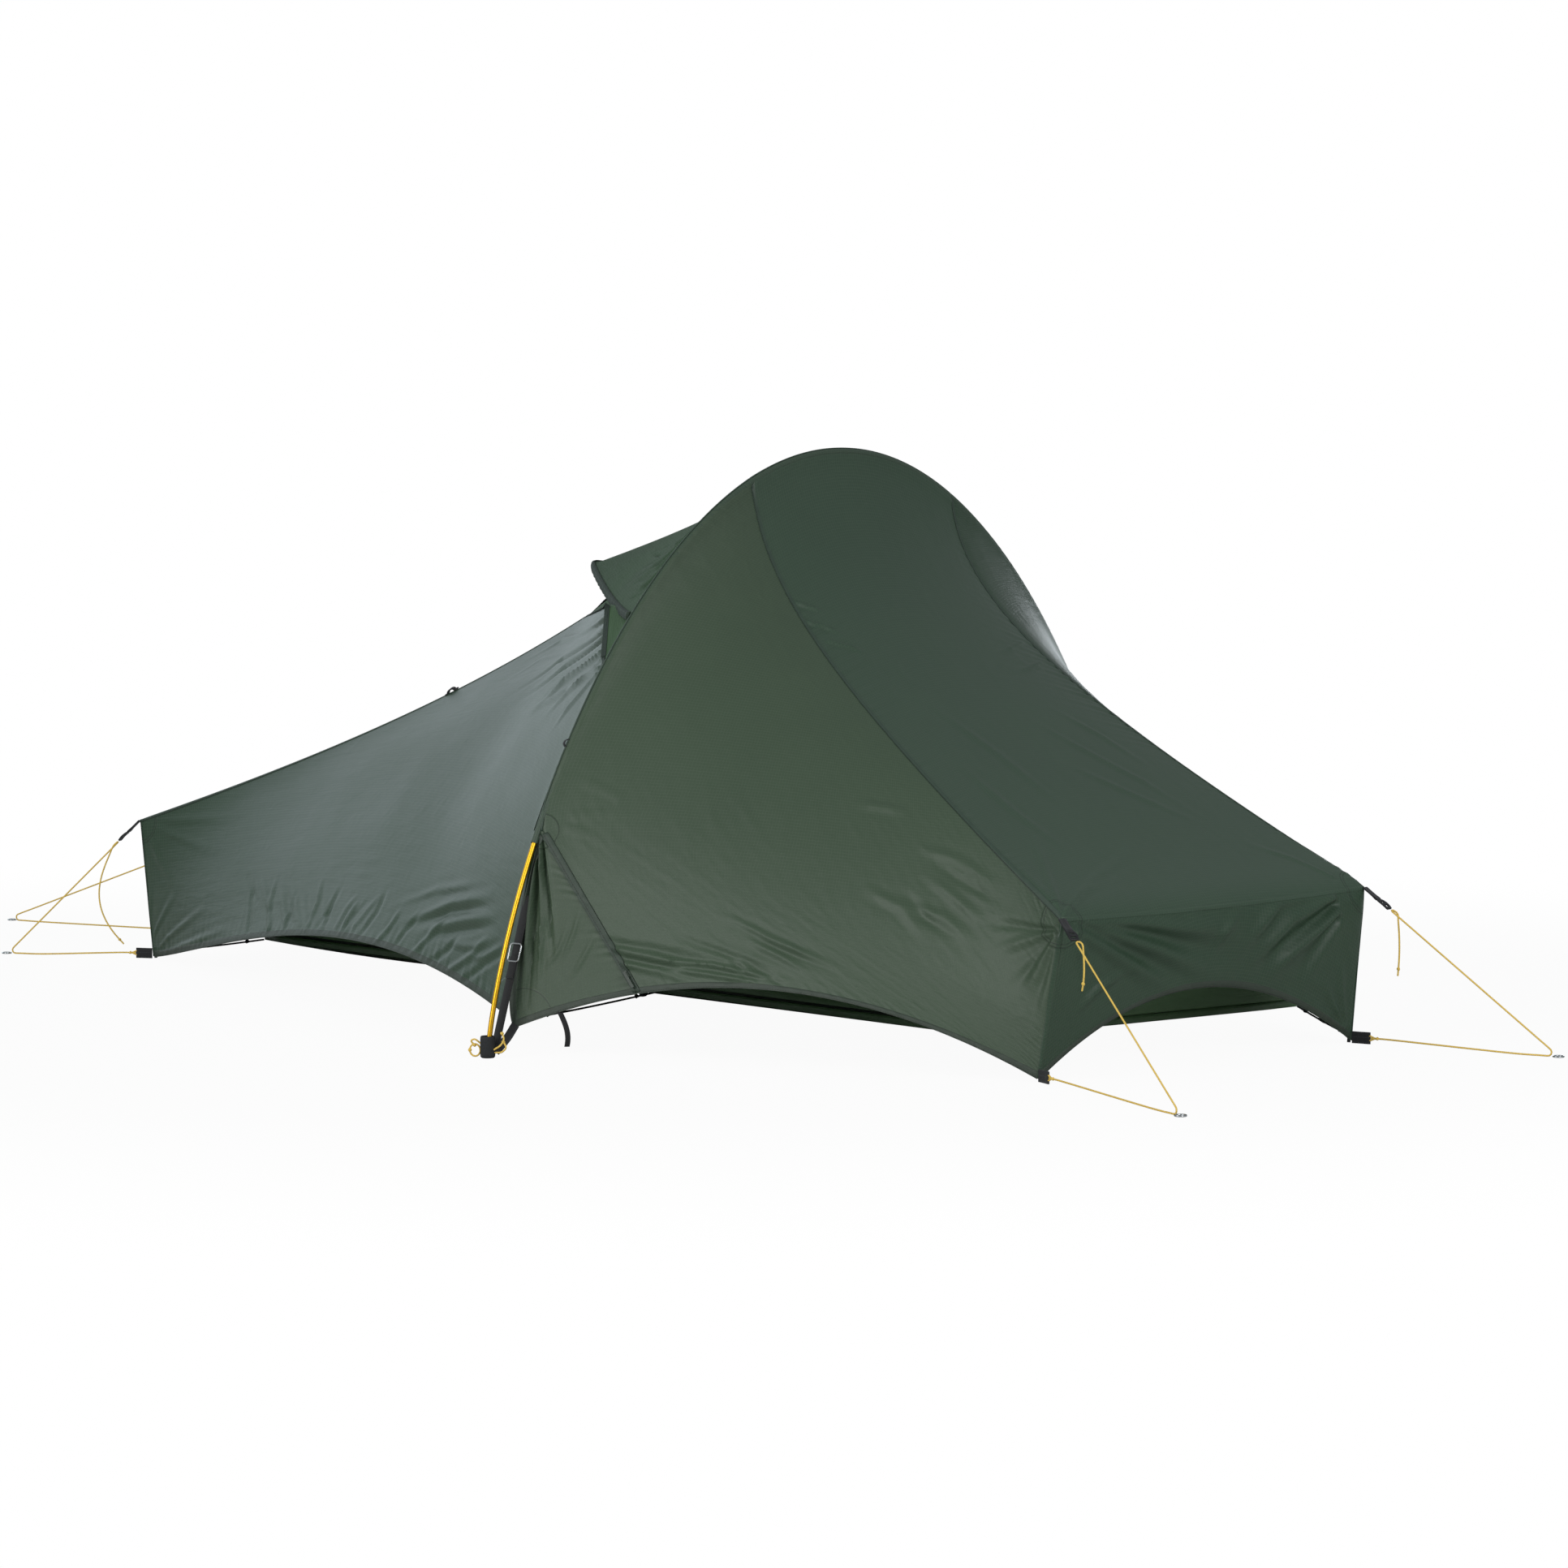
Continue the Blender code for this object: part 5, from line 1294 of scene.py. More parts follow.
# Creases that stand up from the hem
foot_near.photo_folds(0.01, 0.0016, [
    (470, 1102, 452, 1120, 436, 1141), (444, 1098, 428, 1118, 416, 1141), (400, 1108, 399, 1124, 401, 1141),
    (358, 1086, 364, 1114, 368, 1140), (346, 1092, 348, 1118, 351, 1139),
    (322, 1076, 326, 1098, 331, 1120)], held="end")
foot_near.photo_folds(0.009, -0.0014, [
    (457, 1104, 440, 1124, 426, 1141), (412, 1104, 404, 1124, 392, 1141), (352, 1088, 356, 1116, 359, 1140),
    (376, 1096, 380, 1120, 382, 1141), (304, 1072, 310, 1092, 316, 1112)], held="end")
# The corner peg gathers the cloth in a fan
foot_near.photo_folds(0.005, 0.002, [
    (176, 1180, 190, 1150, 222, 1092), (176, 1180, 204, 1158, 262, 1112), (178, 1182, 214, 1170, 292, 1140),
    (174, 1178, 182, 1130, 186, 1080)], fan=2.0)
foot_near.photo_folds(0.006, 0.0018, [
    (172, 1008, 220, 1010, 300, 1006), (172, 1010, 214, 1030, 280, 1056), (172, 1012, 196, 1060, 222, 1104)], fan=2.4)
wet = np.exp(-((foot_near.uv[..., 0] - 1.05) / 0.42) ** 2) * np.exp(-((foot_near.uv[..., 1] - 0.22) / 0.2) ** 2)
foot_near.crumple(0.0016, 1.5, 0.1, 0.02, 11, 0.25 + wet)
foot_near.gather(0.006, ("bottom", 0.0022, 0.024, 0.026, 3), ("bottom", 0.0022, 0.012, 0.015, 2),
                 ("right", 0.0009, 0.01, 0.017, 4))

foot_far, _ = side_wall(FAR_FOOT_CORNER, FAR_FOOT_TOP, far_pole_foot_side, far_spine_seam, far_spine_end, far_knee,
                        1.0, 230, 90)
vent_corner = foot_far.at(0.985, 0.93)
for u, v, deep in ((0.9, 0.7, -0.004), (0.88, 0.78, 0.0034), (0.87, 0.62, 0.003), (0.92, 0.58, -0.003)):
    foot_far.fold([vent_corner, foot_far.at(u, v)], 0.009, deep, fan=0.5, held="start")
for u, v, deep in ((0.76, 0.2, 0.005), (0.78, 0.13, -0.0045), (0.8, 0.07, 0.004), (0.82, 0.27, -0.003)):
    foot_far.fold([foot_far.at(0.985, v * 0.8), foot_far.at(u, v)], 0.015, deep)
for u in (0.3, 0.38, 0.46, 0.52, 0.6):
    foot_far.fold([foot_far.at(u + 0.02, 0.13), foot_far.at(u, 0.0)], 0.008, 0.003, held="end")
foot_far.crumple(0.0014, 1.5, 0.12, 0.022, 12)
foot_far.gather(0.006, ("bottom", 0.0016, 0.016, 0.019, 5))

spine = Cut((near_spine_seam, far_spine_seam, line(NEAR_FOOT_TOP, FAR_FOOT_TOP),
             line(near_spine_end, far_spine_end)), 170, 34)
spine.crumple(0.001, 1.55, 0.15, 0.024, 13)
spine.gather(0.006, ("bottom", 0.001, 0.01, 0.018, 6), ("top", 0.001, 0.01, 0.018, 7))



def end_wall(near, far, rise, top, columns, rows):
    """An upright wall between two ground corners, with its top edge above them."""
    low, high = ground(near), ground(far)
    return Cut((hem(low, high, rise), top, line(low, top(0.0)), line(high, top(1.0))), columns, rows)


foot_wall = end_wall(NEAR_FOOT_CORNER, FAR_FOOT_CORNER, FOOT_HEM_RISE, line(NEAR_FOOT_TOP, FAR_FOOT_TOP), 64, 44)
for u in (0.0, 1.0):
    for v in (0.35, 0.6, 0.85):
        foot_wall.fold([foot_wall.at(u, 0.0), foot_wall.at(0.5, v)], 0.005, 0.0022, fan=2.2)
foot_wall.crumple(0.0012, 1.2, 0.4, 0.022, 14)
foot_wall.gather(0.006, ("bottom", 0.0012, 0.012, 0.018, 8))



def over_sleeve(edge, start=0.0):
    """An edge at the hoop moved up on to the sleeve, so that the panel covers it. It climbs over the
    share given as its start."""

    def climbed(t):
        ahead = (edge(min(t + 0.01, 1.0)) - edge(max(t - 0.01, 0.0))).normalized()
        out = ahead.cross(Vector((1.0, 0.0, 0.0)))
        out = out if out.dot(edge(t) - Vector((0.0, 0.0, 0.2))) > 0 else -out
        share = min(t / start, 1.0) if start else 1.0
        share = share * share * (3.0 - 2.0 * share)
        return edge(t) + (out * (SLEEVE_RADIUS + 0.0007) - Vector((SEAM_X + 0.001, 0.0, 0.0))) * share

    return climbed


def from_sleeve(edge, start):
    """A roof seam whose hoop end follows the panels up on to the sleeve."""
    shift = start - edge(0.0)
    return lambda t: edge(t) + shift * max(1.0 - t / 0.1, 0.0) ** 2


HOOP_ROLL, HOOP_ROLL_REACH = 0.0045, 0.01
RIDGE_ROLL, RIDGE_ROLL_REACH = 0.008, 0.045
HOOP_CLIMB = 0.07
roof_hoop = over_sleeve(hoop_edge(DOOR_SEAM_Y, FAR_SEAM_Y, SEAM_X))
door_seam, far_seam = from_sleeve(door_seam, roof_hoop(0.0)), from_sleeve(far_seam, roof_hoop(1.0))
door_pieces = [reverse(zip_line), over_sleeve(hoop_edge(-SLEEVE_END_Y, DOOR_SEAM_Y, SEAM_X), HOOP_CLIMB)]
door = Cut((
    lambda t: door_hem(ZIP_HEM_FRACTION + (1.0 - ZIP_HEM_FRACTION) * t),
    door_seam,
    chain(door_pieces),
    line(ground(NEAR_HEAD_CORNER), NEAR_HEAD_TOP),
), 300, 160)
# Long streaks that the zip foot pulls along the hem
door.photo_folds(0.006, 0.0034, [
    (790, 1190, 870, 1200, 980, 1218), (790, 1180, 880, 1190, 985, 1212)])
door.photo_folds(0.008, 0.003, [
    (876, 1122, 958, 1160, 1042, 1198), (902, 1142, 972, 1169, 1037, 1196), (912, 1153, 964, 1181, 1011, 1206)])
door.photo_folds(0.0075, 0.0026, [
    (756, 1170, 806, 1180, 872, 1198), (764, 1186, 814, 1197, 868, 1212)], fan=0.5, held="start")
door.photo_folds(0.0075, -0.0026, [
    (760, 1178, 810, 1189, 868, 1205), (750, 1160, 810, 1170, 880, 1188)], fan=0.5, held="start")
door.photo_folds(0.008, -0.0026, [
    (890, 1134, 962, 1165, 1036, 1199), (897, 1179, 912, 1194, 928, 1211), (912, 1184, 944, 1200, 975, 1219),
    (820, 1150, 900, 1178, 990, 1210)])
door.photo_folds(0.012, 0.0028, [
    (1053, 990, 1090, 996, 1126, 1003), (1120, 1040, 1180, 1060, 1244, 1100), (1130, 1070, 1170, 1100, 1230, 1150),
    (1100, 1110, 1160, 1130, 1210, 1170), (1060, 1090, 1110, 1120, 1150, 1170)])
door.photo_folds(0.01, -0.0026, [
    (1140, 1056, 1190, 1090, 1250, 1120), (1110, 1090, 1140, 1130, 1180, 1160)])
# The head corner pulls a fan of folds down and across
door.photo_folds(0.007, 0.0036, [
    (1300, 1150, 1284, 1176, 1262, 1204), (1301, 1152, 1280, 1196, 1252, 1240), (1302, 1154, 1284, 1210, 1262, 1262),
    (1303, 1156, 1290, 1220, 1276, 1284), (1299, 1148, 1262, 1160, 1216, 1174)], fan=1.6, held="start")
door.photo_folds(0.006, -0.0034, [
    (1300, 1151, 1276, 1184, 1246, 1222), (1302, 1154, 1288, 1200, 1270, 1250),
    (1298, 1146, 1252, 1140, 1200, 1136)], fan=1.6, held="start")
door.photo_folds(0.006, 0.0018, [
    (672, 1016, 712, 1024, 760, 1040), (672, 1012, 720, 1006, 772, 1000), (700, 960, 740, 972, 780, 990)])
door.round_edge("left", np.clip((door.vs - 0.32) / 0.08, 0.0, 1.0)[:, None] * HOOP_ROLL, HOOP_ROLL_REACH)
door.crumple(0.0011, 0.6, 0.35, 0.034, 21)
door.crumple(0.0007, 1.3, 0.3, 0.016, 22)
zip_share = piece_shares(door_pieces)[1]
door.gather(0.003, ("left", 0.0024, 0.015, 0.016, 9), ("bottom", 0.0014, 0.014, 0.019, 10),
            ("top", 0.001, 0.012, 0.02, 11))

# The gathers of the gore reach a little past its cut edge, towards the pole
GATHER, GATHER_BOW = Vector((-0.011, -0.006, -0.006)), Vector((-0.022, -0.002, 0.0))


def gathered_edge(t):
    along = near_pole_head_side.lerp(near_sleeve_end, t)
    return along + GATHER * (1.0 - t) + GATHER_BOW * math.sin(math.pi * t ** 0.62)


gore = Cut((
    lambda t: door_hem(ZIP_HEM_FRACTION * t) + GATHER * (1.0 - t) ** 2,
    line(near_sleeve_end, near_sleeve_end + ZIP_TOP_STEP),
    gathered_edge,
    reverse(zip_line),
), 64, 130, smoothing=40)
gore.photo_folds(0.004, 0.0062, [
    (664, 1026, 652, 1130, 640, 1258), (666, 1028, 668, 1130, 662, 1240)], fan=0.8, held="start")
gore.photo_folds(0.0038, -0.0064, [
    (664, 1028, 659, 1130, 648, 1258), (667, 1030, 676, 1110, 682, 1196),
    (664, 1026, 647, 1120, 632, 1240)], fan=0.8, held="start")
gore.photo_folds(0.006, 0.0018, [
    (690, 1190, 706, 1150, 722, 1108), (700, 1210, 724, 1170, 744, 1140), (668, 1200, 688, 1170, 704, 1130)])
gore.gather(0.004, ("right", 0.0022, 0.014, 0.015, 15), ("bottom", 0.0012, 0.012, 0.018, 16))

head_top_edge = hem(NEAR_HEAD_TOP, FAR_HEAD_TOP, HEAD_TOP_SAG)
roof = Cut((door_seam, far_seam, roof_hoop, head_top_edge), 400, 100)
roof.photo_folds(0.007, 0.0034, [
    (980, 742, 998, 748, 1018, 756), (996, 766, 1018, 774, 1042, 784),
    (1022, 790, 1046, 796, 1070, 806)], held="start")
roof.photo_folds(0.008, 0.0026, [
    (1268, 786, 1244, 800, 1226, 806), (1298, 808, 1268, 824, 1246, 830)])
roof.photo_folds(0.013, 0.0022, [
    (1258, 880, 1335, 922, 1409, 963, 1494, 1016), (1306, 936, 1372, 967, 1494, 1020),
    (1288, 866, 1360, 908, 1430, 953), (1140, 860, 1230, 930, 1330, 1010), (1180, 940, 1250, 1000, 1330, 1060)])
roof.photo_folds(0.006, 0.002, [
    (1300, 1140, 1340, 1090, 1400, 1044), (1301, 1141, 1330, 1106, 1370, 1078), (1296, 1136, 1290, 1080, 1270, 1010),
    (1640, 1086, 1588, 1060, 1524, 1036)], fan=1.8, held="start")
roof.round_edge("right", RIDGE_ROLL, RIDGE_ROLL_REACH)
roof.round_edge("left", HOOP_ROLL, HOOP_ROLL_REACH)
roof.crumple(0.0008, 1.5, 0.3, 0.04, 23)
roof.gather(0.003, ("bottom", 0.0016, 0.015, 0.021, 17), ("bottom", 0.0032, 0.038, 0.022, 34, (0.36, 0.15)),
            ("top", 0.0016, 0.015, 0.02, 18), ("top", 0.0032, 0.042, 0.022, 35, (0.5, 0.2)),
            ("right", 0.001, 0.01, 0.018, 19))

head_wall = end_wall(NEAR_HEAD_CORNER, FAR_HEAD_CORNER, HEAD_HEM_RISE, head_top_edge, 150, 76)
head_wall.photo_folds(0.013, 0.006, [
    (1306, 1112, 1391, 1109, 1526, 1101), (1316, 1118, 1428, 1139, 1570, 1150), (1320, 1126, 1409, 1165, 1520, 1216),
    (1326, 1146, 1387, 1185, 1440, 1213)], fan=0.9, held="start")
head_wall.photo_folds(0.013, -0.0062, [
    (1310, 1114, 1410, 1124, 1540, 1122), (1318, 1122, 1420, 1152, 1550, 1186),
    (1322, 1136, 1400, 1178, 1470, 1210)], fan=0.8, held="start")
head_wall.photo_folds(0.012, 0.006, [
    (1640, 1106, 1590, 1130, 1521, 1206), (1638, 1104, 1577, 1106, 1503, 1200),
    (1642, 1124, 1596, 1168, 1549, 1216)], fan=0.8, held="start")
head_wall.photo_folds(0.012, -0.0058, [
    (1641, 1114, 1577, 1165, 1540, 1206), (1643, 1134, 1612, 1180, 1586, 1220)], fan=0.7, held="start")
head_wall.photo_folds(0.005, 0.0024, [
    (1656, 1268, 1640, 1230, 1622, 1196), (1655, 1268, 1630, 1248, 1598, 1230),
    (1658, 1266, 1652, 1220, 1650, 1176)], fan=1.8, held="start")
head_wall.photo_folds(0.012, 0.005, [
    (1312, 1128, 1330, 1180, 1336, 1230), (1320, 1250, 1352, 1216, 1392, 1190), (1410, 1108, 1460, 1120, 1500, 1142),
    (1530, 1112, 1500, 1150, 1488, 1190)])
head_wall.round_edge("top", RIDGE_ROLL, RIDGE_ROLL_REACH)
head_wall.crumple(0.0018, 1.1, 0.5, 0.036, 24)
head_wall.gather(0.006, ("bottom", 0.0014, 0.013, 0.018, 20))

head_side_far = Cut((
    hem(far_pole_head_side, ground(FAR_HEAD_CORNER), DOOR_HEM_RISE),
    far_seam,
    chain([line(far_pole_head_side, hoop_point(SLEEVE_END_Y, SEAM_X)),
           over_sleeve(hoop_edge(SLEEVE_END_Y, FAR_SEAM_Y, SEAM_X), HOOP_CLIMB)]),
    line(ground(FAR_HEAD_CORNER), FAR_HEAD_TOP),
), 150, 110)
for u, v, deep in ((0.75, 0.5, 0.003), (0.7, 0.3, -0.003), (0.72, 0.7, 0.0026), (0.6, 0.15, 0.003)):
    head_side_far.fold([head_side_far.at(0.99, 0.93), head_side_far.at(u, v)], 0.006, deep, fan=1.6, held="start")
for u, v, deep in ((0.4, 0.2, 0.004), (0.45, 0.12, -0.0036), (0.35, 0.3, 0.003)):
    head_side_far.fold([head_side_far.at(0.01, 0.05), head_side_far.at(u, v)], 0.01, deep, fan=0.8)
head_side_far.round_edge("left", HOOP_ROLL, HOOP_ROLL_REACH)
head_side_far.crumple(0.0011, 0.6, 0.35, 0.034, 25)
head_side_far.gather(0.006, ("bottom", 0.0014, 0.014, 0.019, 26), ("top", 0.0012, 0.012, 0.02, 27))

for cut, name, finish, slot, node in (
    (foot_near, "foot_side_near_cloth", FLY_CLOTH, "fly_cloth", "foot_side_panel_near"),
    (foot_far, "foot_side_far_cloth", FLY_CLOTH, "fly_cloth", "foot_side_panel_far"),
    (spine, "roof_spine_cloth", SPINE_CLOTH, "fly_cloth", "roof_spine_panel"),
    (foot_wall, "foot_end_cloth", FLY_CLOTH, "fly_cloth", "foot_end_panel"),
    (door, "door_cloth", DOOR_CLOTH, "door_cloth", "door_panel"),
    (gore, "door_gore_cloth", DOOR_CLOTH, "door_cloth", "door_gore_panel"),
    (roof, "head_roof_cloth", ROOF_CLOTH, "fly_cloth", "head_roof_panel"),
    (head_wall, "head_end_cloth", FLY_CLOTH, "fly_cloth", "head_end_panel"),
    (head_side_far, "head_side_far_cloth", FLY_CLOTH, "fly_cloth", "head_side_panel_far"),
):
    cut.sew(name, finish, slot, node)

# Hems, bindings and seams
spine_part = piece_shares([near_spine_seam, line(near_spine_end, near_knee)])[1]
for name, cut, side, start, end in (
    ("foot_side_near_hem", foot_near, "bottom", 0.004, 0.998), ("foot_side_far_hem", foot_far, "bottom", 0.004, 0.998),
    ("foot_end_hem", foot_wall, "bottom", 0.01, 0.99), ("door_hem_tape", door, "bottom", 0.002, 0.996),
    ("door_gore_hem", gore, "bottom", 0.01, 0.99), ("head_end_hem", head_wall, "bottom", 0.004, 0.996),
    ("head_side_far_hem", head_side_far, "bottom", 0.002, 0.996), ("gore_edge_tape", gore, "left", 0.006, 0.98),
    ("foot_side_near_edge", foot_near, "right", 0.004, near_shares[1]),
    ("foot_side_far_edge", foot_far, "right", 0.004, near_shares[1]),
    ("vent_knee_edge_near", foot_near, "right", near_shares[2], 0.999),
    ("vent_knee_edge_far", foot_far, "right", near_shares[2], 0.999),
    ("vent_lip_edge_near", foot_near, "top", spine_part, 0.999),
    ("vent_lip_edge_far", foot_far, "top", spine_part, 0.999),
    ("vent_lip_edge_middle", spine, "right", 0.01, 0.99),
):
    band(name, cut, side, HEM_PROFILE, BRIM_CLOTH if "vent" in name else HEM_TAPE, start=start, end=end)

seam("door_roof_seam", (door, "top", 1.0), (roof, "bottom", 1.0))
seam("far_roof_seam", (roof, "top", 1.0), (head_side_far, "top", 1.0))
seam("near_spine_seam_tape", (foot_near, "top", spine_part), (spine, "bottom", 1.0), end=0.995)
seam("far_spine_seam_tape", (foot_far, "top", spine_part), (spine, "top", 1.0), end=0.995)
seam("foot_ridge_seam", (foot_wall, "top", 1.0), (spine, "left", 1.0), width=0.004)
seam("foot_near_corner_seam", (foot_near, "left", 1.0), (foot_wall, "left", 1.0), width=0.004)
seam("foot_far_corner_seam", (foot_far, "left", 1.0), (foot_wall, "right", 1.0), width=0.004)
seam("head_ridge_seam", (head_wall, "top", 1.0), (roof, "right", 1.0), finish=ROOF_CLOTH, lift=0.0006)
seam("head_near_corner_seam", (door, "right", 1.0), (head_wall, "left", 1.0), finish=FLY_CLOTH, width=0.004)
seam("head_far_corner_seam", (head_side_far, "right", 1.0), (head_wall, "right", 1.0), width=0.004)
seam("door_zip_tape", (door, "left", zip_share), (gore, "right", 1.0), ZIP_TAPE, 0.0074, 0.002, 0.01, 0.985, 0.004)

# Vent: the hood, its stiffened brim and the mesh below it


def brim_point(y):
    share = 1.0 - math.sqrt(y * y + BRIM_TIP_ROUNDING ** 2) / BRIM_FOOT_Y
    share = max(share, 0.0)
    x = -BRIM_HOOP_GAP - (BRIM_REACH + BRIM_STRETCH - BRIM_HOOP_GAP) * share
    z = hoop_height(BRIM_FOOT_Y) + BRIM_RISE * share ** BRIM_SWEEP
    return Vector((x, y, z))


brim_clear = BRIM_RADIUS + 2.0 * CORD_GAP
brim_above = Vector((brim_clear * HOOD_OVER_BRIM[0], 0.0, brim_clear * HOOD_OVER_BRIM[1]))
hood_arch = hoop_edge(-BRIM_FOOT_Y, BRIM_FOOT_Y, -SEAM_X)


def hood_rim(t):
    return brim_point(-BRIM_FOOT_Y + 2.0 * BRIM_FOOT_Y * t) + brim_above




def between_edges(low, high, columns, rows, smoothing=160):
    """A cut between two edges that run side by side, and the shares of its points along and across."""
    cut = Cut((low, high, line(low(0.0), high(0.0)), line(low(1.0), high(1.0))), columns, rows, smoothing)
    return cut, cut.us[None, :], cut.vs[:, None]


hood, u, v = between_edges(hood_rim, hood_arch, 400, 150, 30)
hood.bow(-HOOD_CREST_SAG * np.sin(math.pi * u) * np.sin(math.pi * v))


def from_hoop(width, depth, lines):
    """Folds of the hood that run out from its seam at the hoop, through pixels of the photograph."""
    for pixels in lines:
        spots = [hood.spot(x, y) for x, y in zip(pixels[::2], pixels[1::2])]
        near = np.linalg.norm(hood.points[-1] - spots[0], axis=1).argmin()
        hood.fold([hood.points[-1, near]] + spots, width, depth, fan=0.3, held="start")


from_hoop(0.0068, -0.005, [
    (807, 708, 788, 714, 770, 728), (805, 713, 791, 721, 778, 730), (815, 694, 796, 705, 778, 714),
    (823, 685, 804, 693, 786, 704), (831, 676, 815, 684, 796, 693), (840, 665, 823, 673, 802, 682),
    (799, 721, 788, 728, 778, 736), (794, 728, 783, 734, 772, 738)])
from_hoop(0.0068, 0.004, [
    (811, 700, 792, 709, 772, 721), (819, 690, 800, 699, 782, 709), (835, 670, 819, 678, 798, 688),
    (802, 717, 789, 724, 776, 732)])
for t in (0.34, 0.39, 0.44):
    hood.fold([hood.at(t + 0.03, 0.98), hood.at(t, 0.25)], 0.006, 0.0016, held="start")
for t in (0.66, 0.73, 0.8, 0.87):
    hood.fold([hood.at(t, 0.05), hood.at(t + 0.03, 0.95)], 0.01, 0.003)
hood.crumple(0.0012, 0.9, 0.3, 0.024, 31)
crest = np.exp(-((hood.us - 0.5) / 0.1) ** 2)[None, :]
hood.height *= 1.0 - 0.9 * crest
hood.gather(0.006, ("top", 0.0016, 0.012, 0.018, 32))
hood_item = hood.sew("hood_cloth", HOOD_CLOTH, "fly_cloth", "vent_hood", body=None)
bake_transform(hood_item)

# The brim: a doubled band of stiffened tape that follows the hood's free edge
band_path = even([brim_point(-BRIM_FOOT_Y + 2.0 * BRIM_FOOT_Y * k / 160) for k in range(161)], 0.006)
BRIM_TAPE = ((-0.003, 0.0092), (0.0002, 0.0086), (0.0026, 0.0056), (0.0036, 0.001), (0.0034, -0.004),
             (0.002, -0.0062), (-0.0006, -0.0064), (-0.0018, -0.004), (-0.0018, 0.001), (-0.0022, 0.0052))
BRIM_WRAP = BRIM_TAPE + (BRIM_TAPE[0],)
rows, uv = [], []
for point, ahead, along in zip(band_path, headings(band_path), lengths_along(band_path)):
    out = ahead.cross(UPRIGHT)
    out = (out if out.x < 0 else -out).normalized()
    ripple = 0.0005 * math.sin(along * 310.0) + 0.0004 * math.sin(along * 127.0 + 1.3)
    rows.append([tuple(point + out * (a + ripple) + Vector((0.0, 0.0, b))) for a, b in BRIM_WRAP])
    uv.append([(along, n * 0.0032) for n in range(len(BRIM_WRAP))])
brim_item = link("brim_tape", surface("brim_tape", rows, uv, closed=True), BRIM_CLOTH, "fly_cloth", "brim")
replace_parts(brim_item, "hood_brim")

mesh_end = VENT_FOOT_Y - MESH_FOOT_GAP
lip_shift = Vector((MESH_LIP_SHIFT, 0.0, 0.0))
lip_corners = [hoop_point(-mesh_end, -SEAM_X), near_knee, near_spine_end, far_spine_end, far_knee,
               hoop_point(mesh_end, -SEAM_X)]
shifted = [lip_corners[0]] + [p + lip_shift for p in lip_corners[1:-1]] + [lip_corners[-1]]
lip = chain([line(p, q) for p, q in zip(shifted, shifted[1:])])
mesh_arch = hoop_edge(MESH_FOOT_GAP - mesh_end, mesh_end - MESH_FOOT_GAP, -SEAM_X, MESH_TOP_DROP)
vent_net, u, v = between_edges(lip, mesh_arch, 150, 40, 20)
# The mesh stands up from the lip before it runs in to the hoop
rise, wide, reach = MESH_TENT
tent = rise * np.exp(-((u - 0.5) / wide) ** 2) * (v / reach) * np.exp(1.0 - v / reach)
vent_net.bow(tent - MESH_SAG * np.sin(math.pi * u) * np.sin(math.pi * v))
vent_net.crumple(0.0012, 1.2, 0.4, 0.03, 33)
vent_net.settle()
vent_net.sew("vent_net", INSECT_MESH, "vent_mesh", "vent_mesh")
for name, side, inner in (("vent_net_lower_tape", "bottom", 0.001), ("vent_net_upper_tape", "top", 0.01)):
    flat_tape = ((inner, -0.0006), (-0.009, -0.0006), (-0.009, 0.0007), (inner, 0.0007))
    band(name, vent_net, side, flat_tape, BRIM_CLOTH, "webbing", 0.02, 0.98)
stay_share = piece_shares([line(p, q) for p, q in zip(lip_corners, lip_corners[1:])])
for name, share in (("near_vent_stay", stay_share[2]), ("far_vent_stay", stay_share[3])):
    j = int(np.abs(vent_net.us - share).argmin())
    rise = [Vector(vent_net.points[k, j] + vent_net.normals[k, j] * 0.0012) for k in range(0, 14, 2)]
    stay = sweep(name, smooth_route(rise, 0.006), flat_section(0.009, 0.0014), across=(0.0, 1.0, 0.0))
    link(name, stay, BLACK_WEBBING, "webbing")


# Hoop: five plug-together tube sections, the sleeve over them and the two pole feet

def hoop_path():
    """Points of the hoop at even lengths, from the near foot to the far foot."""
    fine = [hoop_point(HOOP_HALF_SPAN * math.sin(math.pi * (k / 1280 - 0.5))) for k in range(1281)]
    along = lengths_along(fine)
    start = POLE_FOOT_CLEARANCE
    total = along[-1] - 2.0 * start
    path, k = [], 0
    for step in range(HOOP_SEGMENTS + 1):
        target = start + total * step / HOOP_SEGMENTS
        while along[k + 1] < target:
            k += 1
        path.append(fine[k].lerp(fine[k + 1], (target - along[k]) / (along[k + 1] - along[k])))
    return path


hoop = hoop_path()
bounds = [round(HOOP_SEGMENTS * k / POLE_SECTIONS) for k in range(POLE_SECTIONS + 1)]
for number in range(POLE_SECTIONS):
    piece = [p.copy() for p in hoop[bounds[number]:bounds[number + 1] + 1]]
    for end, inward, joined in ((0, 1, number > 0), (-1, -2, number < POLE_SECTIONS - 1)):
        piece[end] = piece[end] + (piece[inward] - piece[end]).normalized() * (SECTION_GAP if joined else 0.0)
    path = smooth_route(piece, 0.012)
    rounding = [POLE_END_SHARE] + [1.0] * (len(path) - 2) + [POLE_END_SHARE]
    name = "pole_section_%d" % (number + 1)
    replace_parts(round_piece(name + "_tube", path, POLE_RADIUS, GOLD_TUBE, "pole_tube", 20, swell=rounding), name)

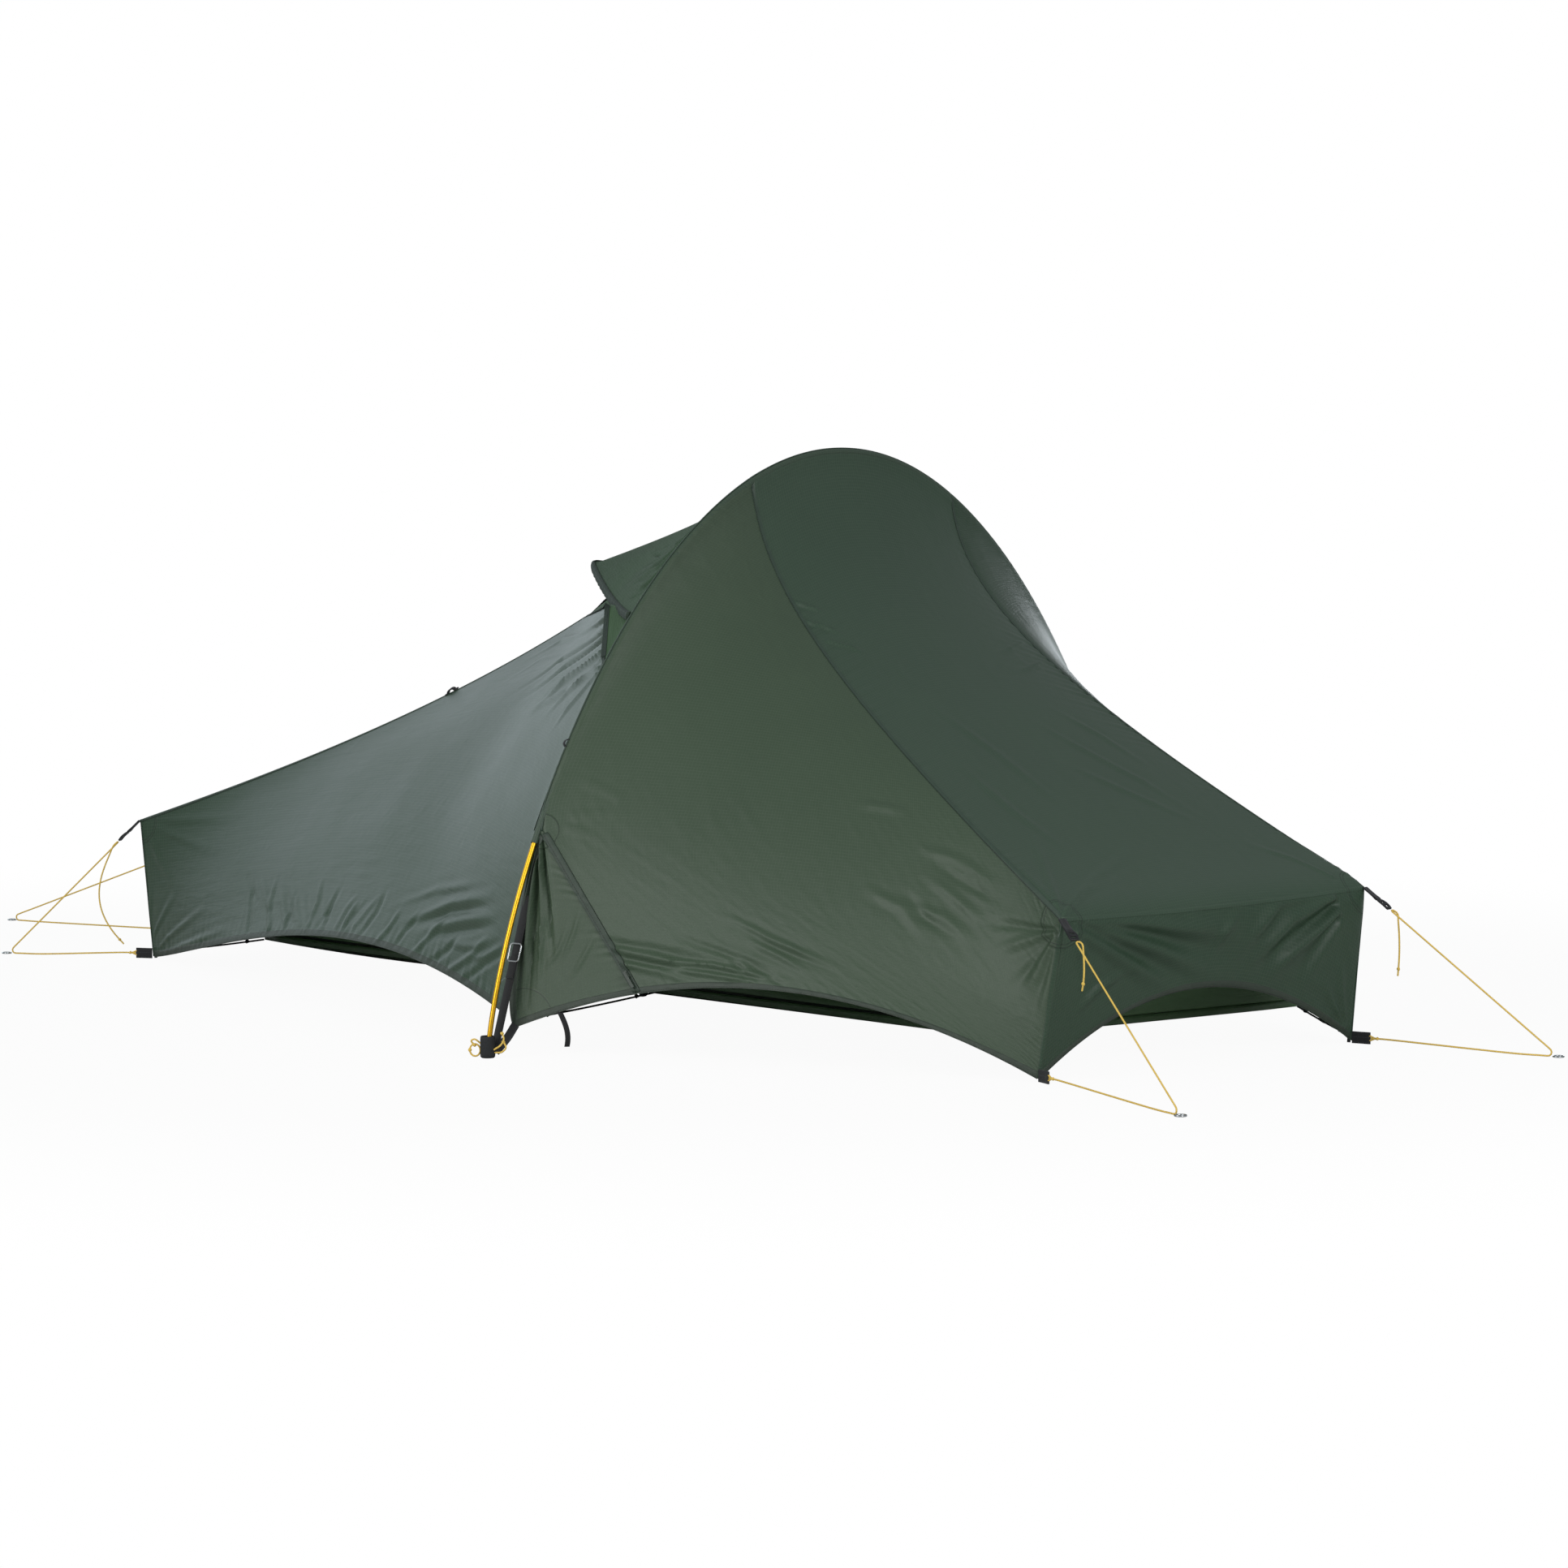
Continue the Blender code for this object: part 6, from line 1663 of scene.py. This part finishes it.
# The sleeve lies over the pole with its hem allowance on each side, slightly gathered
sleeve_points = [p for p in hoop if p.z > hoop_height(SLEEVE_END_Y) + SLEEVE_END_STEP - SLEEVE_LONGER]
sleeve_path = smooth_route(sleeve_points, 0.005)
gather = [1.0 + 0.035 * math.sin(k * 1.7) * math.sin(k * 0.37 + 0.6) for k in range(len(sleeve_path))]
sleeve_item = round_piece("sleeve_cloth", sleeve_path, SLEEVE_RADIUS, SLEEVE_CLOTH, "fly_cloth", 20, swell=gather,
                          across=(1.0, 0.0, 0.0), capped=False)
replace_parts(sleeve_item, "pole_sleeve")
sleeve_flat = (round(route_length(sleeve_path), 3), round(2.0 * math.pi * SLEEVE_RADIUS, 4))
# A round sleeve is measured as two layers, so its area is that of the tube pressed flat
SLEEVE_LAP = ((-0.0026, 0.0024), (-0.0008, 0.0019), (0.001, 0.0011), (0.0022, 0.0001))
# On the door side the panels run on over the sleeve and end in a fine piping
PIPING = ((0.0014, -0.0002), (-0.0004, -0.0009), (-0.0013, 0.0), (-0.0004, 0.0009), (0.0014, 0.0007))
for name, cut, side, start, end, finish in (
    ("sleeve_lap_foot_near", foot_near, "right", near_shares[1], near_shares[2], FLY_CLOTH),
    ("sleeve_lap_foot_far", foot_far, "right", near_shares[1], near_shares[2], FLY_CLOTH),
    ("sleeve_lap_door", door, "left", zip_share, 0.999, SEAM_TAPE),
    ("sleeve_lap_roof", roof, "left", 0.001, 0.999, SEAM_TAPE),
    ("sleeve_lap_head_far", head_side_far, "left", zip_share, 0.999, SEAM_TAPE),
    ("sleeve_lap_hood", hood, "top", 0.001, 0.999, FLY_CLOTH),
):
    profile = PIPING if side == "left" else SLEEVE_LAP
    thicken(band(name, cut, side, profile, finish, start=start, end=end, close=False), CLOTH_SHOWN, 0.0)


def pocket_cup(name, base):
    """A turned-up webbing cup: a revolved pocket with a rolled rim and a flat bottom."""
    shape = bmesh.new()
    profile = [(0.0003, 0.0), (0.01, 0.0), (0.012, 0.0018), (CUP_RADIUS, 0.006), (CUP_RADIUS, 0.03),
               (0.0121, 0.0345), (0.0112, CUP_HEIGHT), (0.01, 0.0352), (0.0096, 0.031), (0.0092, 0.01),
               (0.0003, 0.007)]
    dots = [shape.verts.new((r, 0.0, z)) for r, z in profile]
    for a, b in zip(dots, dots[1:]):
        shape.edges.new((a, b))
    bmesh.ops.spin(shape, geom=shape.verts[:] + shape.edges[:], axis=(0, 0, 1), cent=(0, 0, 0),
                   angle=2.0 * math.pi, steps=32, use_merge=True)
    weld(shape)
    bmesh.ops.translate(shape, vec=base, verts=shape.verts)
    return link(name, as_mesh(shape, name), CUP_WEBBING, "webbing")


def strap_piece(name, route, across, width, thick, finish=BLACK_WEBBING, step=0.004):
    mesh = sweep(name, smooth_route(route, step), flat_section(width, thick), across=across)
    return link(name, mesh, finish, "webbing")


def rounded_wire(name, middle, across, down, width, height, corner, wire, body):
    """A closed wire rectangle with round corners."""
    route = []
    for turn, (u, v) in enumerate(((1, 1), (-1, 1), (-1, -1), (1, -1))):
        for n in range(7):
            a = math.pi / 2.0 * (turn + n / 6.0)
            route.append(middle + across * (u * (width / 2 - corner) + math.cos(a) * corner)
                         + down * (v * (height / 2 - corner) + math.sin(a) * corner))
    return round_piece(name, route, wire, STEEL_WIRE, "steel_wire", 12, body, ring=True)


FORWARD = Vector((1.0, 0.0, 0.0))
for side, name in ((-1.0, "near"), (1.0, "far")):
    foot = hoop[0] if side < 0 else hoop[-1]
    base = Vector((foot.x, foot.y, 0.0))
    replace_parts(pocket_cup(name + "_cup_pocket", base), name + "_pole_cup")
    width, thick = STRAP
    hem_end = Vector((near_pole_foot_side.x, side * POLE_CORNER_Y, near_pole_foot_side.z))
    top = line(hem_end, hoop_point(side * SLEEVE_END_Y, -SEAM_X))(STRAP_TOP_SHARE) + Vector((width / 2.0, 0.0, 0.0))
    low = Vector((STRAP_FOOT[0] - 0.006, side * (0.012 - STRAP_FOOT[1]), STRAP_FOOT[2]))
    end = base + Vector((CUP_STRAP_END[0], -side * (CUP_RADIUS + thick / 2.0 + FITTING_GAP), CUP_STRAP_END[1]))
    down = (low - top).normalized()
    out = FORWARD.cross(down).normalized()
    out = out if out.z > 0 else -out
    middle = top.lerp(low, RING_FRACTION)
    route = [top, top.lerp(middle, 0.5), middle - down * 0.01, middle, middle + down * 0.012, middle.lerp(low, 0.6),
             low, low.lerp(end, 0.5), end]
    strap = strap_piece(name + "_strap_web", route, FORWARD, width, thick, STRAP_WEBBING)
    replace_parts(strap, name + "_pole_strap")
    turned = [middle + down * along + out * lift
              for along, lift in ((0.006, 0.0019), (0.012, 0.0023), (0.026, 0.0017), (0.044, 0.0024))]
    strap_piece(name + "_strap_tail", turned, FORWARD, width * 0.96, 0.0013, STRAP_WEBBING)
    corner_at = Vector((near_pole_head_side.x - 0.008, side * (POLE_CORNER_Y + 0.008), near_pole_head_side.z - 0.002))
    cup_side = base + Vector((0.0135, side * -0.004, 0.01))
    strap_piece(name + "_gore_strap", [corner_at, corner_at.lerp(cup_side, 0.5) + Vector((0.003, 0.0, 0.0)), cup_side],
                (cup_side - corner_at).cross(Vector((0.63, 0.77 * side, 0.11))), 0.014, 0.0014, STRAP_WEBBING)
    lift = STRAP[1] / 2.0 + RING_WIRE + FITTING_GAP
    ring = rounded_wire(name + "_ring_wire", middle + out * lift, FORWARD, down, *RING_SIZE, RING_CORNER, RING_WIRE,
                        name + "_ring")
    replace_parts(ring, name + "_strap_ring")

# Inner tent

tub_corners = TUB_RIM_NEAR_FOOT, TUB_RIM_NEAR_HEAD, TUB_RIM_FAR_HEAD, TUB_RIM_FAR_FOOT
floor_corners = FLOOR_NEAR_FOOT, FLOOR_NEAR_HEAD, FLOOR_FAR_HEAD, FLOOR_FAR_FOOT
tub_rim, tub_fold, tub_flat = ([Vector((*c, height)) for c in corners] for corners, height in (
    (tub_corners, TUB_RIM_HEIGHT), (tub_corners, TUB_FOLD_HEIGHT), (floor_corners, TUB_CLOTH / 2.0)))
INNER_LIFT = Vector((0.0, 0.0, INNER_GAP + TUB_CLOTH / 2.0))


def round_four(corners, share):
    """A point round four corners, by its share of the way."""
    k = int(share * 4.0) % 4
    return corners[k].lerp(corners[(k + 1) % 4], share * 4.0 - int(share * 4.0))


# The floor in three parts: from its middle to the edge of the flat, up to the fold, and up to the rim
floor_rows = []
middle = sum(tub_flat, Vector()) / 4.0
for part, level in [(0, 0.0), (0, 0.5), (0, 1.0)] + [(1, k / 8.0) for k in range(1, 9)] + [(2, 0.5), (2, 1.0)]:
    row = []
    for share in (n / 160.0 for n in range(161)):
        inner, fold_at, rim_at = (round_four(c, share % 1.0) for c in (tub_flat, tub_fold, tub_rim))
        low, high = ((middle, inner), (inner, fold_at), (fold_at, rim_at))[part]
        point = low.lerp(high, level)
        if part == 1:
            point.z = inner.z + (fold_at.z - inner.z) * level ** 1.6
        row.append(tuple(point))
    floor_rows.append(row)
floor_uv = [[(x, y) for x, y, _ in row] for row in floor_rows]
tub_item = link("tub_floor_cloth", surface("tub_floor_cloth", floor_rows, floor_uv), FLOOR_CLOTH, "floor_cloth")
weld_mesh(tub_item.data, capped=False)
thicken(tub_item, CLOTH, 0.0)
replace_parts(tub_item, "groundsheet")

near_foot_rim, near_head_rim, far_head_rim, far_foot_rim = (p + INNER_LIFT for p in tub_rim)
ridge_points = [Vector(p) for p in INNER_RIDGE]
INNER_HEM = ((0.004, -0.0007), (0.0, -0.0008), (0.0, 0.0009), (0.004, 0.0009))
for name, side, foot, head in (
    ("near", -1.0, near_foot_rim, near_head_rim), ("far", 1.0, far_foot_rim, far_head_rim),
):
    points = [p + Vector((0.0, side * INNER_RIDGE_GAP, 0.0)) for p in ridge_points]
    ridge = chain([line(p, q) for p, q in zip(points, points[1:])])
    wall_cut = Cut((line(foot, head), ridge, line(foot, points[0]), line(head, points[-1])), 150, 40)
    wall_cut.crumple(0.0022, 1.3, 0.35, 0.045, 41 + int(side))
    wall_cut.gather(0.012, ("bottom", 0.0016, 0.018, 0.022, 43))
    wall_cut.sew("inner_wall_%s_cloth" % name, INNER_CLOTH, "inner_cloth", "inner_wall_" + name)
    band("inner_wall_%s_seam" % name, wall_cut, "bottom", INNER_HEM, HEM_TAPE, "inner_cloth", 0.01, 0.99)
PEAK_HALF = Vector((0.0, 0.002, 0.0))
for name, left, right, peak in (("inner_foot", far_foot_rim, near_foot_rim, ridge_points[0]),
                                ("inner_head", near_head_rim, far_head_rim, ridge_points[-1])):
    end_cut, _, _ = between_edges(line(left, right), line(peak - PEAK_HALF, peak + PEAK_HALF), 50, 40)
    end_cut.crumple(0.002, 1.3, 0.4, 0.04, 45)
    end_cut.settle(0.012)
    end_cut.sew(name + "_cloth", INNER_CLOTH, "inner_cloth", name + "_wall")


# Corners: webbing, tensioners and peg rings

def tensioner_plate(name, start, direction, up, body):
    """A moulded three-bar line tensioner: a plate with two slots, dished and with round edges."""
    length, width, thick = TENSIONER
    shape = bmesh.new()
    bmesh.ops.create_grid(shape, x_segments=5, y_segments=4, size=0.5)
    slots = [f for f in shape.faces if round((f.calc_center_median().x + 0.5) * 5 - 0.5) in (1, 3)
             and abs(f.calc_center_median().y) < 0.3]
    bmesh.ops.delete(shape, geom=slots, context="FACES")
    bmesh.ops.scale(shape, vec=(length, width, 1.0), verts=shape.verts)
    for v in shape.verts:
        v.co.y *= 1.0 - 0.2 * (abs(v.co.x) / (length / 2.0)) ** 2
        v.co.z = 0.0012 * (1.0 - (2.0 * v.co.x / length) ** 2)
    bmesh.ops.solidify(shape, geom=shape.faces[:], thickness=-thick * 0.62)
    bmesh.ops.recalc_face_normals(shape, faces=shape.faces)
    sharp = [e for e in shape.edges if len(e.link_faces) == 2 and e.calc_face_angle(0.0) > 0.7]
    bmesh.ops.bevel(shape, geom=sharp, offset=0.0008, segments=3, affect="EDGES", profile=0.5, material=-1)
    bmesh.ops.recalc_face_normals(shape, faces=shape.faces)
    x = direction.normalized()
    y = up.cross(x).normalized()
    turn = Matrix((x, y, x.cross(y))).transposed().to_4x4()
    shift = Matrix.Translation(start + x * (length / 2.0) - x.cross(y) * (thick * 0.28))
    bmesh.ops.transform(shape, matrix=shift @ turn, verts=shape.verts)
    return link(name, as_mesh(shape, name), MOULDED_NYLON, "moulded_plastic", body)


def folded_webbing(start, way, beside, reach, gaps, ends):
    """Webbing folded over at its end: out along its way, round and back. Gaps are its distances beside
    the way at the start, in the middle and near the fold, ends how far it goes past the last of them."""
    first, second, third = gaps
    back, tip = ends
    legs = ((0.0, first), (reach * 0.6, second), (reach - back, third))
    out = [start + way * along + beside * gap for along, gap in legs]
    home = [start + way * along - beside * gap for along, gap in reversed(legs)]
    return out + [start + way * (reach + tip)] + home


for name, corner, top, peg, _ in CORNERS:
    peg, away, base, pull, web_start = corner_lines(corner, top, peg)
    beside = Vector((-away.y, away.x, 0.0))
    length, _, height = FOOT_WEBBING
    route = folded_webbing(base, away, beside, length, (0.0009, 0.0007, 0.0011), (0.003, 0.0))
    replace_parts(strap_piece(name + "_foot_web", route, UPRIGHT, height, 0.0011, step=0.0016), name + "_corner_webbing")
    level = pull.cross(UPRIGHT).normalized()
    up = level.cross(pull)
    route = folded_webbing(web_start, pull, up, GUY_WEBBING[0], (0.0007, 0.0007, 0.0012), (0.002, 0.0002))
    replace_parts(strap_piece(name + "_guy_web", route, level, GUY_WEBBING[1], 0.001, step=0.0016),
                name + "_guy_webbing")
    grip = web_start + pull * (GUY_WEBBING[0] + FITTING_GAP)
    plate = tensioner_plate(name + "_tensioner_plate", grip, pull, up, name + "_tensioner")
    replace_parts(plate, name + "_line_tensioner")
    centre = peg + Vector((0.0, 0.0, PEG_WIRE + PEG_GROUND_GAP))
    circle = [centre + (away * math.cos(a) + beside * math.sin(a)) * PEG_RING_RADIUS
              for a in (2.0 * math.pi * k / 40 for k in range(40))]
    ring = round_piece(name + "_peg_ring_wire", circle, PEG_WIRE, STEEL_WIRE, "steel_wire", 12, ring=True)
    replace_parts(ring, name + "_peg_ring")


# Small straps and loops

def hoop_tab(name, place_y):
    """A small black tab with a cord eye, sewn to the sleeve for a spare guy line."""
    spot = hoop_point(place_y)
    out = Vector((-0.25, place_y, spot.z - 0.25)).normalized()
    ahead = (hoop_point(place_y + 0.004) - spot).normalized()
    route = [spot + out * (SLEEVE_RADIUS - 0.001 + 0.007 * math.sin(a)) - ahead * (math.cos(a) * 0.007)
             for a in half_turn]
    strap_piece(name, route, ahead.cross(out), 0.006, 0.0014, step=0.0015)


half_turn = [math.pi * k / 8 for k in range(9)]
hoop_tab("near_sleeve_tab", -TAB_Y)
hoop_tab("far_sleeve_tab", TAB_Y)
loop_spot = near_spine_seam(GUY_LOOP_SHARE)
loop_out = GUY_LOOP_OUTWARD.normalized()
loop_along = (near_spine_seam(1.0) - loop_spot).normalized()
# A folded webbing tab that arches over the seam, with its ends sewn flat
low, high = ((loop_spot + loop_out * lift, loop_along * along) for lift, along in ((0.0012, 0.015), (0.0018, 0.01)))
loop_route = [low[0] - low[1], high[0] - high[1]]
loop_route += [loop_spot + loop_out * (0.002 + 0.0048 * math.sin(a)) - loop_along * (math.cos(a) * 0.0085)
               for a in half_turn]
loop_route += [high[0] + high[1], low[0] + low[1]]
loop_item = strap_piece("spine_loop_web", loop_route, loop_along.cross(loop_out), 0.01, 0.0026, step=0.0015)
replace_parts(loop_item, "spine_guy_loop")

strap_top = door_hem(DOOR_STRAP_SHARE) - Vector((0.0, 0.0, DOOR_STRAP_GAP))
sway, push, bend = DOOR_STRAP_CURL
hang = [strap_top + Vector((sway * math.sin(k / 12 * bend), push * k / 12, -DOOR_STRAP_HANG * k / 12))
        for k in range(13)]
door_strap = strap_piece("door_strap_web", hang, DOOR_STRAP_ACROSS, *DOOR_STRAP, step=0.003)
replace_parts(door_strap, "door_tie_strap")

# CAD pieces whose shape is right take a finish of their real material
for names, finish in (
    (("foot_near_strut", "foot_far_strut", "head_far_strut"), STRUT_ROD),
    (("zip_slider", "zip_pull"), ZIP_METAL),
):
    for node_name in names:
        for slot in bpy.data.objects[node_name].material_slots:
            slot.material = finish

# Floor, light and background

def backdrop_finish():
    """A plain pale floor. Camera and glass rays see it as white, and it keeps a soft shadow."""
    finish, tree, shader = new_finish("pale_floor")
    place = in_space(tree)
    feed(tree, shader, {"Base Color": tint(tree, noise(tree, place, 0.8, 2.0), "#d2d2d0", "#d8d8d6"),
                        "Roughness": 0.9})
    centre = add(tree, "ShaderNodeVectorMath", {0: place, 1: (0.5, 0.0, 0.0)}, operation="ADD").outputs[0]
    away = add(tree, "ShaderNodeVectorMath", {0: centre}, operation="LENGTH").outputs["Value"]
    far = ramp(tree, away, 1.6, 3.2, FLOOR_WHITE, 1.0, interpolation_type="SMOOTHSTEP")
    rays = add(tree, "ShaderNodeLightPath").outputs
    seen = sums(tree, "MAXIMUM", rays["Is Camera Ray"], rays["Is Transmission Ray"])
    white = add(tree, "ShaderNodeEmission", {"Color": (1.0, 1.0, 1.0, 1.0), "Strength": 1.0})
    mixed = add(tree, "ShaderNodeMixShader",
                {0: sums(tree, "MULTIPLY", seen, far), 1: shader.outputs[0], 2: white.outputs[0]})
    tree.links.new(mixed.outputs[0], tree.nodes["Material Output"].inputs["Surface"])
    return finish


FLOOR_WHITE = 0.95
floor_shape = bmesh.new()
bmesh.ops.create_grid(floor_shape, x_segments=1, y_segments=1, size=30.0)
bmesh.ops.translate(floor_shape, vec=(0.0, 0.0, -0.0004), verts=floor_shape.verts)
floor_mesh = as_mesh(floor_shape, "floor")
floor = bpy.data.objects.new("floor", floor_mesh)
floor_mesh.materials.append(backdrop_finish())
bpy.context.scene.collection.objects.link(floor)


def soft_light(name, place, aim, size, power, tall=None, colour=(1.0, 1.0, 1.0)):
    data = bpy.data.lights.new(name, "AREA")
    data.shape = "RECTANGLE"
    data.size = size
    data.size_y = tall or size
    data.energy = power
    data.color = colour
    lamp = bpy.data.objects.new(name, data)
    lamp.location = place
    lamp.rotation_euler = (Vector(aim) - Vector(place)).to_track_quat("-Z", "Y").to_euler()
    bpy.context.scene.collection.objects.link(lamp)


soft_light("side_sheen", (-5.5, 1.1, 1.7), (-0.6, -0.3, 0.4), 5.4, 48.0, 2.6, (0.82, 0.93, 1.0))
soft_light("front_key", (-0.8, -5.4, 2.8), (0.0, 0.0, 0.4), 3.2, 125.0)
soft_light("right_fill", (5.0, -1.6, 2.8), (0.5, 0.0, 0.3), 2.2, 95.0)
soft_light("back_glow", (-1.8, 6.0, 0.7), (0.4, 0.3, 0.4), 3.6, 52.0, 1.2, (0.88, 0.95, 1.0))

world = bpy.context.scene.world or bpy.data.worlds.new("studio")
bpy.context.scene.world = world
world.use_nodes = True
tree = world.node_tree
tree.nodes.clear()
rays = add(tree, "ShaderNodeLightPath")
dim = add(tree, "ShaderNodeBackground", {"Color": (0.8, 0.84, 0.88, 1.0), "Strength": 0.35})
white = add(tree, "ShaderNodeBackground", {"Color": (1.0, 1.0, 1.0, 1.0), "Strength": 1.0})
mixed = add(tree, "ShaderNodeMixShader", {0: rays.outputs["Is Camera Ray"], 1: dim.outputs[0], 2: white.outputs[0]})
add(tree, "ShaderNodeOutputWorld", {"Surface": mixed.outputs[0]})
bpy.context.scene.view_settings.view_transform = "Standard"
